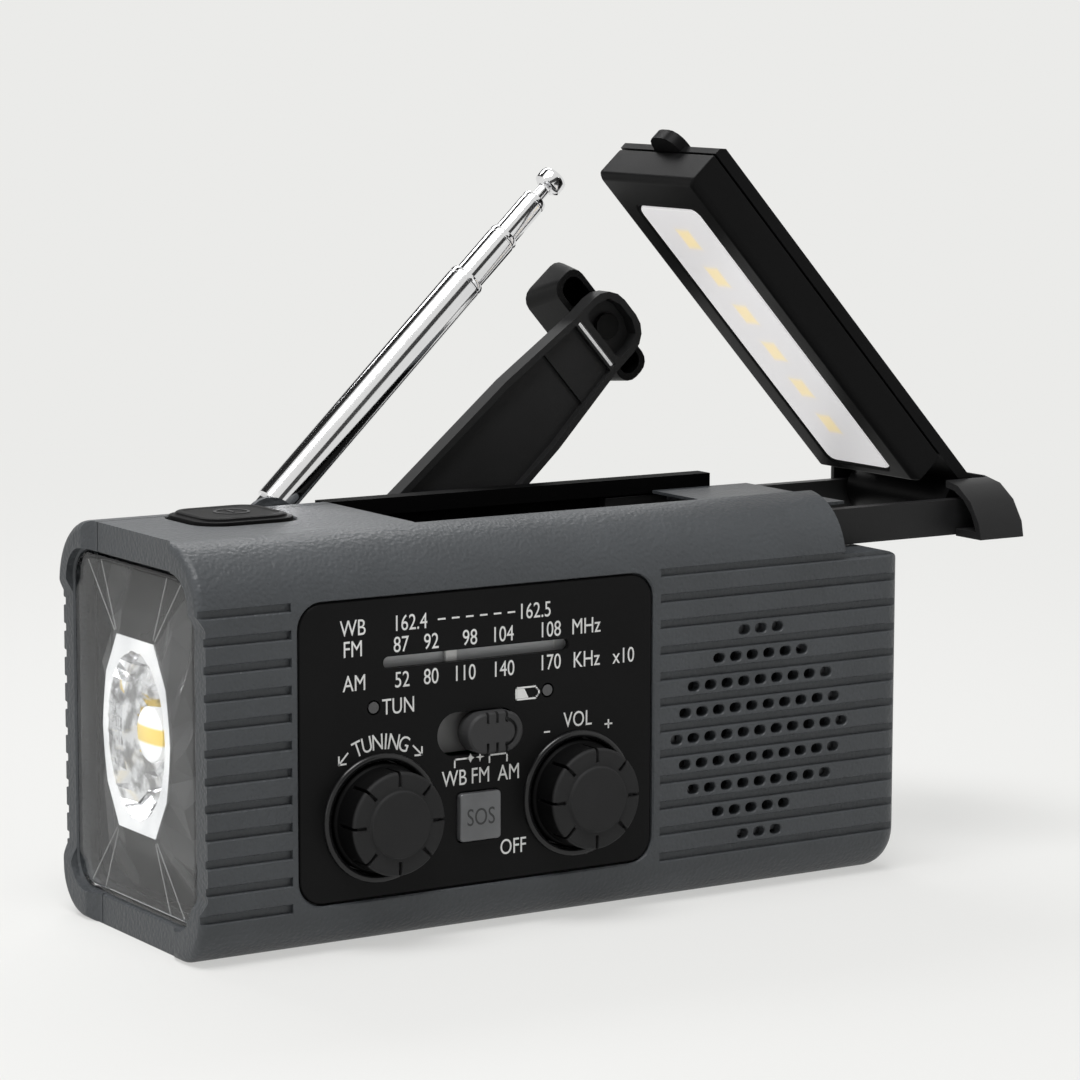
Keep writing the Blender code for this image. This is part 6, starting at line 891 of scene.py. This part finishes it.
def all_round(quarter, half_y, half_z):
    """An outline from the shares of its upper right quarter."""
    right = [(y * half_y, z * half_z) for y, z in quarter]
    right += [(y, -z) for y, z in reversed(right[:-1])]
    return [(y, z + TORCH_Z) for y, z in right + [(-y, z) for y, z in reversed(right)]]


print("bowl", BOWL_SIDES * BOWL_STEPS * 2, "facets")

# %% [markdown]
# Round the bowl a dark frame widens back to the window's own outline. In the photograph its sides
# are broken by soft folds, while the parts over and under the bowl are smooth and nearly black,
# and there painted shade darkens the frame's colour.
# The folds come from two rings between rim and foot that wave to and fro.

# %% Frame
FOOT_POINTS = [(0.50, 1.0), (0.72, 1.0), (1.0, 0.94), (1.0, 0.62), (1.0, 0.30), (1.0, 0.0)]
FOOT_Y, FOOT_Z = 23.6, 31.7
FRAME_TOP, FRAME_FOOT, FRAME_BACK = -75.3, -68.6, -64.5
FOLDS = (0.0, -0.9, 0.8, -1.0, 0.9, -0.8)
FOLDED_RINGS = ((0.34, -73.6, 1.0), (0.68, -71.2, -1.0))

frame_form = bmesh.new()
top_ring, foot_ring = all_round(RIM_POINTS, RIM_Y, RIM_Z), all_round(FOOT_POINTS, FOOT_Y, FOOT_Z)
folds = list(FOLDS) + list(FOLDS[-2::-1])
folds += folds[::-1]
rings = [[(FRAME_TOP, y, z) for y, z in top_ring]]
for share, place, way in FOLDED_RINGS:
    between = [(a + (c - a) * share, b + (d - b) * share) for (a, b), (c, d) in zip(top_ring, foot_ring)]
    rings.append([(place + way * fold, y, z) for (y, z), fold in zip(between, folds)])
rings += [[(place, y, z) for y, z in foot_ring] for place in (FRAME_FOOT, FRAME_BACK)]
bridge(frame_form, [[frame_form.verts.new(p) for p in ring] for ring in rings])
surround = solid("torch_frame", frame_form)
carve(surround, dish(bmesh.new(), BOWL_ROOM, 0.0, RIM_X - 1.0, -61.0))

# Painted shade: the frame's colour is darker over and under the rim, and wider with the distance from it.
PAINTED_SHADE_START, PAINTED_SHADE_HALF, PAINTED_SHADE_SPREAD = 17 * MM, 7.5 * MM, 0.46
tree = torch_black.node_tree
spot = along_axes(tree)
rise = maths(tree, "ABSOLUTE", maths(tree, "SUBTRACT", spot["Z"], TORCH_Z * MM))
reach = maths(tree, "MULTIPLY_ADD", rise, PAINTED_SHADE_SPREAD, PAINTED_SHADE_HALF - RIM_Z * MM * PAINTED_SHADE_SPREAD)
inside = maths(tree, "LESS_THAN", maths(tree, "ABSOLUTE", spot["Y"]), reach)
overlay(torch_black, maths(tree, "MULTIPLY", inside, maths(tree, "GREATER_THAN", rise, PAINTED_SHADE_START)),
        (0.003, 0.003, 0.0031, 1))
settle(surround, torch_black, "casing", ["torch_surround"], sharp=4)
print("frame", len(surround.data.polygons), "facets")

# %% [markdown]
# Thin moulded lines run inside the window from the rim's corners to the window's corners, two at
# each corner. They are one piece of fine ridges behind the window's face.

# %% Moulded lines
LINE_HALF, LINE_FRONT, LINE_BACK = 0.11, -75.99, -75.85
LINES = (((8.2, 18.6), (18.8, 30.4)), ((7.6, 18.8), (13.4, 31.0)))
seam = finish("seam_grey", (0.20, 0.20, 0.20), 0.25, depth=0, coat=0.3)
ridges = bmesh.new()
for way_y, way_z in ((-1, -1), (-1, 1), (1, -1), (1, 1)):
    for (y0, z0), (y1, z1) in LINES:
        run = Vector((y1 - y0, z1 - z0)).normalized()
        side = Vector((-run.y, run.x)) * LINE_HALF
        corners = [(y0 + side.x, z0 + side.y), (y1 + side.x, z1 + side.y), (y1 - side.x, z1 - side.y),
                   (y0 - side.x, z0 - side.y)]
        corners = [(way_y * y, way_z * z + TORCH_Z) for y, z in corners]
        prism(ridges, corners if way_y == way_z else corners[::-1], "X", LINE_FRONT, LINE_BACK)
settle(solid("torch_window_lines", ridges), seam, "casing", sharp=20)
print("moulded lines", 4 * len(LINES))

# %% [markdown]
# The bowl and its flat bright rim are one chromed piece. What its facets mirror is broken up by
# painted dark streaks of reflection that run down into the bowl, and the rim has a painted glow of
# its own, since in the photograph it is nearly white.

# %% Bowl and rim
rim_plate = prism(bmesh.new(), all_round(RIM_POINTS, RIM_Y, RIM_Z), "X", RIM_X, RIM_X + RIM_THICK)
rim = solid("torch_bowl", rim_plate)
carve(rim, dish(bmesh.new(), BOWL_WALL, 0.0, RIM_X + RIM_THICK / 2, -63.4), "UNION")
carve(rim, dish(bmesh.new(), 0.0, BOWL_SWING, RIM_X - 1.0, -62.0))
chrome = finish("torch_chrome", (0.93, 0.93, 0.94), 0.05, 1.0, depth=0, spread=0.02, tone=0.02)
tree = chrome.node_tree
spot = along_axes(tree)
# Painted reflection: dark streaks in the bowl's colour stand for what the facets mirror.
angle = maths(tree, "ARCTAN2", spot["Y"], maths(tree, "SUBTRACT", spot["Z"], TORCH_Z * MM))
lengthwise = {"X": maths(tree, "MULTIPLY", angle, 2.6), "Y": maths(tree, "MULTIPLY", spot["X"], 520)}
streaks = put(tree, "ShaderNodeTexNoise", {"Vector": put(tree, "ShaderNodeCombineXYZ", lengthwise),
                                           "Scale": 1.0, "Detail": 2}, "Fac")
in_bowl = maths(tree, "GREATER_THAN", spot["X"], (RIM_X + 0.15) * MM)
painted_reflection_streaks = maths(tree, "MULTIPLY", fitted(tree, streaks, 0.46, 0.62, 0, 0.72), in_bowl)
overlay(chrome, painted_reflection_streaks, (0.16, 0.155, 0.15, 1))
# Painted highlight: the rim glows nearly white, the bowl faintly.
own_light(chrome, 0.24, blended(tree, in_bowl, (1, 1, 1, 1), (0.10, 0.10, 0.10, 1)))
settle(rim, chrome, "casing", ["torch_reflector"], sharp=4)
print("bowl", len(rim.data.polygons), "faces")

# %% [markdown]
# The light is a board with a small dome. Before it stands a clear cone whose pale face shows the
# yellow light as a band. The band is painted light, drawn by height in the cone's own finish, and
# the cone has a painted glow, white on its face and yellow in the band.

# %% Light and cone
flank = [(0, -59.8), (10.5, -59.8), (10.5, -61.2), (3.6, -61.2), (3.6, -62.8)]
dome = [(r, -62.8 - h) for r, h in arc((0, 0), 3.6, 0, 1, 12)[1:]]
light = solid("torch_light", turned(bmesh.new(), flank + dome, "X", (0, 0, TORCH_Z), 48))
settle(light, FINISHES["warm_light"], "casing", ["torch_led"])
CONE = [(0, -66.6), (4.0, -66.6), (5.2, -72.6), (5.2, -73.0), (4.9, -73.25), (3.4, -73.65), (0, -73.9)]
BAND_EDGE, BAND_CORE = 1.9 * MM, 1.2 * MM
CONE_PALE = (0.93, 0.93, 0.92)
disc = finish("light_cone", CONE_PALE, 0.12, depth=0, tone=0.02, coat=0.5)
tree = disc.node_tree
# Painted light: a yellow band by height, and a painted glow over the whole cone.
height = maths(tree, "ABSOLUTE", maths(tree, "SUBTRACT", along_axes(tree)["Z"], TORCH_Z * MM))
band = fitted(tree, height, BAND_EDGE, BAND_CORE, curve="SMOOTHSTEP")
painted_band = blended(tree, band, (*CONE_PALE, 1), (0.78, 0.58, 0.12, 1))
tree.links.new(painted_band, tree.nodes["Principled BSDF"].inputs["Base Color"])
own_light(disc, 0.35, blended(tree, band, (1, 1, 1, 1), (0.80, 0.55, 0.10, 1)))
cone = solid("torch_light_cone", turned(bmesh.new(), CONE, "X", (0, 0, TORCH_Z), 64))
settle(cone, disc, "casing")
print("cone", len(cone.data.polygons), "faces")

# %% [markdown]
# The torch button is a soft square with a sunk field. Its mark, a ring with a bar, stands a
# little proud of the field, as the moulded one does.

# %% Torch button
KEY_TOP, KEY_FIELD, MARK_LOW, MARK_TOP = 77.2, 77.08, 77.06, 77.19


def key_top(grow=0.0):
    """The button's outline: the hole's, smaller by the gap."""
    return key(grow - GAP)


top = bmesh.new()
loft(top, [(74.0, key_top()), (76.35, key_top()), (76.55, key_top(-0.15)), (76.62, key_top(-0.45)),
           (76.62, key_top(-1.0)), (76.75, key_top(-1.2)), (77.05, key_top(-1.3)), (KEY_TOP, key_top(-1.6)),
           (KEY_TOP, key_top(-2.6)), (KEY_FIELD, key_top(-2.85))], "Z")
torch_key = solid("torch_key_cap", top)
settle(torch_key, key_black, "torch_key", ["torch_button"])
ring = [(2.9, MARK_LOW), (2.9, MARK_TOP), (3.45, MARK_TOP), (3.45, MARK_LOW)]
mark = turned(bmesh.new(), ring, "Z", (-52.6, 6.4, 0), 48)
block(mark, (-52.9, 5.6, MARK_LOW), (-52.3, 8.6, MARK_TOP))
settle(solid("torch_key_mark", mark), cap_black, "torch_key")
print("torch key top", KEY_TOP)

# %% [markdown]
# ## The lamp and its slide
#
# The lamp is a long black box on a slide. Its pieces keep the frame's shape with softened edges,
# and the milky window is built anew, because it has a rounded border.

# %% Lamp
for node, soft, made in (("lamp_cover", 0.35, lamp_black), ("lamp_housing", 0.45, lamp_black),
                         ("lamp_slide", 0.3, slide_black), ("lamp_tray", 0.2, bay_black),
                         ("lamp_led_board", 0.1, None), ("solar_panel", 0.1, None)):
    soften(node, soft, made)
HINGE, LIFT = Vector((102.5, 0, 70.4)), math.radians(47.8)
PANE_START, PANE_END, PANE_HALF = 14.6, 86.8, 10.3


def pane(grow):
    """The milky window's outline, along and across the lamp, seen from the hinge."""
    return rounded((-PANE_END - grow, -PANE_HALF - grow), (-PANE_START + grow, PANE_HALF + grow),
                   2.2 + grow, 8)


pane_form = loft(bmesh.new(), [(-5.35, pane(-0.5)), (-5.15, pane(-0.15)), (-4.9, pane(0)),
                               (-4.0, pane(0))], "Z")
pane_form.transform(Matrix.Translation(HINGE) @ Matrix.Rotation(LIFT, 4, "Y"))
diffuser = solid("lamp_window", pane_form)
print("lamp raised by", round(math.degrees(LIFT), 1), "degrees")

# %% [markdown]
# Six lights shine faintly through the window. They could be lamps behind it, but the plastic
# hides everything except warm spots, so its finish has six squares of painted warm light that fade
# into the white, laid out in the lamp's own direction, and the window has a painted glow.

# %% Lights in the window
LIGHT_FIRST, LIGHT_PITCH, LIGHTS = 26.6 * MM, 10.38 * MM, 6
GLOW_EDGE, GLOW_CORE, GLOW_WIDTH = 3.6 * MM, 1.5 * MM, 1.15
milky = finish("milky_lit", (0.66, 0.65, 0.655), 0.36, scale=3000, depth=0.000008, tone=0.02)
tree = milky.node_tree
lamp_place = {"Vector": on_piece(tree), "Location": HINGE * MM, "Rotation": (0, LIFT, 0)}
spot = along_axes(tree, put(tree, "ShaderNodeMapping", lamp_place, vector_type="TEXTURE"))
along = maths(tree, "MULTIPLY", spot["X"], -1)
steps = maths(tree, "DIVIDE", maths(tree, "SUBTRACT", along, LIGHT_FIRST), LIGHT_PITCH)
nearest = maths(tree, "MINIMUM", maths(tree, "MAXIMUM", maths(tree, "ROUND", steps), 0), LIGHTS - 1)
off_x = maths(tree, "ABSOLUTE", maths(tree, "MULTIPLY", maths(tree, "SUBTRACT", steps, nearest), LIGHT_PITCH))
off_y = maths(tree, "ABSOLUTE", spot["Y"])
square = maths(tree, "MAXIMUM", off_x, maths(tree, "MULTIPLY", off_y, GLOW_WIDTH))
# Painted light: warm squares in the window's colour, and a painted glow over all of it.
glow = fitted(tree, square, GLOW_EDGE, GLOW_CORE, curve="SMOOTHSTEP")
overlay(milky, glow, (0.95, 0.76, 0.44, 1))
own_light(milky, 0.45, blended(tree, glow, (0.86, 0.85, 0.86, 1), (1.0, 0.84, 0.52, 1)))
settle(diffuser, milky, "lamp", ["lamp_diffuser"])
print("lights in the window", LIGHTS)

# %% [markdown]
# The plate behind the raised lamp is thin and springy. When the lamp folds down it is pressed
# flat into the bay. It keeps the frame's shape, with softened edges, on a mesh of its own.

# %% Spring plate
leaf = soften("lamp_leaf", 0.1)
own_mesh(leaf)

# %% [markdown]
# ## The antenna
#
# A telescopic antenna is tubes in tubes. Each tube is turned in fine steps along its own line,
# with a rolled lip at its open end, then tilted about the pivot.

# %% Antenna
PIVOT = Vector((-37, 26, 71.3))
TILT = Matrix.Translation(PIVOT) @ Matrix.Rotation(-math.radians(43.8), 4, "Y") @ Matrix.Translation(-PIVOT)
CHROME = FINISHES["bright_chrome"]
FOOT_DEPTH, TONGUE_HALF, ANTENNA_END = 8.5, 2.8, 94.5


def tube(name, start, end, radius, bore, body, node, foot=False):
    """A tube along the antenna with a groove and a rolled lip, or a mast with a closed foot."""
    lip = [(radius, end - 1.6), (radius - 0.12, end - 1.5), (radius - 0.12, end - 1.25), (radius, end - 1.1),
           (radius, end - 0.5), (radius - 0.2, end), (bore, end)]
    if not foot:
        form = turned(bmesh.new(), [(bore, start), (radius, start)] + lip, "X", PIVOT, 64)
        form.transform(TILT)
        return settle(solid(name, form), CHROME, body, [node])
    closed = [(bore, start + FOOT_DEPTH), (0, start + FOOT_DEPTH)]
    profile = [(0, start), (radius - 0.3, start), (radius, start + 0.3)] + lip + closed
    made = solid(name, turned(bmesh.new(), profile, "X", PIVOT, 64))
    tongue = arc((PIVOT.x, PIVOT.z), TONGUE_HALF, 1, 3, 16)
    tongue += [(PIVOT.x + 7.8, PIVOT.z - TONGUE_HALF), (PIVOT.x + 7.8, PIVOT.z + TONGUE_HALF)]
    carve(made, prism(bmesh.new(), tongue, "Y", 24.7, 27.3), "UNION")
    made.data.transform(Matrix.Scale(MM, 4) @ TILT @ Matrix.Scale(1 / MM, 4))
    return settle(made, CHROME, body, [node])


tube("mast_tube", 5, 66, 3.8, 3.25, "mast", "antenna_mast", True)
tube("second_tube", 26, 78, 3.1, 2.75, "section_2", "antenna_section_2")
tube("third_tube", 36, 88, 2.6, 1.45, "section_3", "antenna_section_3")
knob_profile = [(0, 42.5), (1.3, 42.5), (1.3, 90.6), (1.5, 91.0), (2.3, 91.3), (2.8, 91.7), (2.9, 92.3),
                (2.9, 93.5), (2.75, 94.1), (2.3, ANTENNA_END), (0.6, ANTENNA_END), (0, ANTENNA_END - 0.1)]
tip = turned(bmesh.new(), knob_profile, "X", PIVOT, 64)
tip.transform(TILT)
settle(solid("tip_knob", tip), CHROME, "tip", ["antenna_tip"])
soften("antenna_bracket", 0.2)
print("antenna reach", ANTENNA_END)

# %% [markdown]
# ## The crank
#
# The arm is a sunk black bar with a cup at its end, and a flared grip turns on a pin behind it.
# Both keep the frame's shape, with softened edges. The arm's far edge catches the light as one
# thin bright line, which is a white strip of its own here that glows a little, a painted highlight.

# %% Crank
soften("crank_arm", 0.22, crank_black)
soften("crank_grip", 0.5, steps=3)
soften("grip_pin", 0.2, finish("blackened_steel", (0.005, 0.005, 0.005), 0.45, shine=0.1))
HUB, ARM = Vector((-16, 0, 48.5)), math.radians(41.6)
flat = rounded((80.5, -7.5), (81.6, 7.3), 0.3, 4)
levels = [(31.4, rounded((80.6, -7.4), (81.5, 7.2), 0.25, 4)), (31.5, flat), (32.2, flat)]
strip = loft(bmesh.new(), levels, "Y")
strip.transform(Matrix.Translation(HUB) @ Matrix.Rotation(-ARM, 4, "Y"))
# Painted highlight: a white strip with a little light of its own stands for the edge's glint.
glint = finish("painted_edge_glint", (0.93, 0.93, 0.93), 0.18, depth=0, coat=0.5)
own_light(glint, 0.35)
settle(solid("crank_strip", strip), glint, "crank")
print("crank arm at", round(math.degrees(ARM), 1), "degrees")

# %% [markdown]
# ## Back and right end
#
# Four screws hold the shells together. One screw head is modelled, with its cross, and Geometry
# Nodes put it at the four places. The rubber flap closes the charging sockets.

# %% Screws, flap and what stays as it is
screw_profile = [(0, 0), (1.5, 0), (1.5, 17.7), (2.7, 17.7), (2.7, 18.9), (2.3, 19.4), (0, 19.6)]
screw = solid("screw", turned(bmesh.new(), screw_profile, "Y", (0, 0, 0), 32))
carve(screw, block(bmesh.new(), (-1.3, 18.6, -0.3), (1.3, 21, 0.3)))
carve(screw, block(bmesh.new(), (-0.3, 18.6, -1.3), (0.3, 21, 1.3)))
screws = grow("case_screws", places_tree, screw, [(x, 4.6, z) for x, z in SCREWS])
settle(screws, FINISHES["plain_steel"], "casing",
       [f"case_screw_{i}" for i in (1, 2, 3, 4)], sharp=30)
soften("port_cover", 0.3)
for name, node in frame["nodes"].items():
    if not node.hide_render:
        slot = node.data.materials[0].name.split(".")[0]
        node.material_slots[0].material = FINISHES[slot]
print("frame nodes kept", sum(not n.hide_render for n in frame["nodes"].values()))

# %% [markdown]
# ## The studio
#
# The floor and the air behind it have one pale grey, and the floor keeps a faint shadow. The
# world shows that grey to the camera, to gloss and to glass, and is dimmer as a lamp.

# %% Floor and world
PALE, PAPER = (0.83, 0.83, 0.815, 1), (0.745, 0.745, 0.735, 1)
AMBIENT = 0.30
SHADOW_NEAR, SHADOW_FAR, SHADOW_SHARE = 0.12, 0.75, 0.62


def plain(name, colour):
    """A material of one colour."""
    made = bpy.data.materials.new(name)
    made.use_nodes = True
    made.node_tree.nodes["Principled BSDF"].inputs["Base Color"].default_value = colour
    return made


def in_view(tree):
    """1 for the rays of the camera, of gloss and of glass."""
    rays = tree.nodes.new("ShaderNodeLightPath").outputs
    seen = maths(tree, "MAXIMUM", rays["Is Camera Ray"], rays["Is Glossy Ray"])
    return maths(tree, "MAXIMUM", seen, rays["Is Transmission Ray"])


ground = [(-4000, -4000), (4000, -4000), (4000, 4000), (-4000, 4000)]
floor = solid("floor", prism(bmesh.new(), ground, "Z", -2, -0.02))
paper = plain("paper", PAPER)
tree = paper.node_tree
shader = tree.nodes["Principled BSDF"]
shader.inputs["Roughness"].default_value = 0.9
even = put(tree, "ShaderNodeEmission", {"Color": PALE})
away = put(tree, "ShaderNodeVectorMath", {0: on_piece(tree)}, "Value", operation="LENGTH")
fade = fitted(tree, away, SHADOW_NEAR, SHADOW_FAR, SHADOW_SHARE, 1, "SMOOTHSTEP")
share = maths(tree, "MULTIPLY", in_view(tree), fade)
shown = put(tree, "ShaderNodeMixShader", {"Fac": share, 1: shader.outputs[0], 2: even})
tree.links.new(shown, tree.nodes["Material Output"].inputs["Surface"])
floor.data.materials.append(paper)

for old in list(bpy.context.scene.objects):
    if old.type in ("LIGHT", "CAMERA") or (old.type == "MESH" and old.name == "Cube"):
        bpy.data.objects.remove(old)
world = bpy.data.worlds.new("studio")
bpy.context.scene.world = world
world.use_nodes = True
back = world.node_tree.nodes["Background"].inputs
back["Color"].default_value = PALE
seen = in_view(world.node_tree)
world.node_tree.links.new(maths(world.node_tree, "MULTIPLY_ADD", seen, 1 - AMBIENT, AMBIENT),
                          back["Strength"])
print("floor and world", PALE[:3])

# %% [markdown]
# Four soft lamps light the radio as in the photograph: a broad one above, a faint one in front on
# the right, one on the left, and one behind that draws the edges of the black pieces. Three dark
# cards that the camera doesn't see, in front, behind and above, give the chrome its black streaks.

# %% Lamps and cards
TARGET = Vector((0.02, 0, 0.05))


def soft_lamp(name, place, size, power, colour=(1, 1, 1)):
    lamp = bpy.data.lights.new(name, "AREA")
    lamp.shape, lamp.size, lamp.size_y = "RECTANGLE", size[0], size[1]
    lamp.energy, lamp.color = power, colour
    made = bpy.data.objects.new(name, lamp)
    made.location = place
    made.rotation_mode = "QUATERNION"
    made.rotation_quaternion = (TARGET - Vector(place)).to_track_quat("-Z", "Y")
    made.visible_camera = False
    bpy.context.scene.collection.objects.link(made)
    return made


soft_lamp("key", (-0.30, -0.22, 1.15), (0.8, 0.5), 13.2)
soft_lamp("fill", (0.8, -1.0, 0.45), (0.6, 0.6), 0.35)
soft_lamp("left", (-1.1, -0.05, 0.35), (0.5, 0.6), 1.6)
soft_lamp("rear", (0.2, 0.8, 0.9), (0.9, 0.3), 6.0)


def dark_card(name, low, high):
    made = solid(name, block(bmesh.new(), low, high))
    made.data.materials.append(plain(name, (0.01, 0.01, 0.01, 1)))
    made.visible_camera = False
    made.visible_shadow = False
    made.visible_diffuse = False


dark_card("card_front", (-500, -1410, 420), (700, -1400, 900))
dark_card("card_back", (-900, 1400, 500), (1000, 1410, 1500))
dark_card("card_above", (-1500, 500, 1500), (100, 1400, 1510))

# %% [markdown]
# The camera stands where the photograph's did: in front, a little left and a little above, far
# enough off that the upright lines stay nearly parallel.

# %% Camera
YAW, PITCH, ROLL = 0.5635, 0.14, 0.002
lens = bpy.data.cameras.new("camera")
lens.lens, lens.sensor_width = 128.58, 36.0
camera = bpy.data.objects.new("camera", lens)
camera.location = (-0.384546, -0.626515, 0.172243)
ahead = Vector((math.sin(YAW) * math.cos(PITCH), math.cos(YAW) * math.cos(PITCH), -math.sin(PITCH)))
aside = Vector((math.cos(YAW), -math.sin(YAW), 0))
upward = aside.cross(ahead)
aside, upward = (aside * math.cos(ROLL) + upward * math.sin(ROLL),
                 upward * math.cos(ROLL) - aside * math.sin(ROLL))
camera.rotation_euler = Matrix((aside, upward, -ahead)).transposed().to_euler()
lens.clip_start, lens.clip_end = 0.05, 20
bpy.context.scene.collection.objects.link(camera)
bpy.context.scene.camera = camera
bpy.context.scene.view_settings.view_transform = "Standard"
print("camera", [round(c, 3) for c in camera.location])
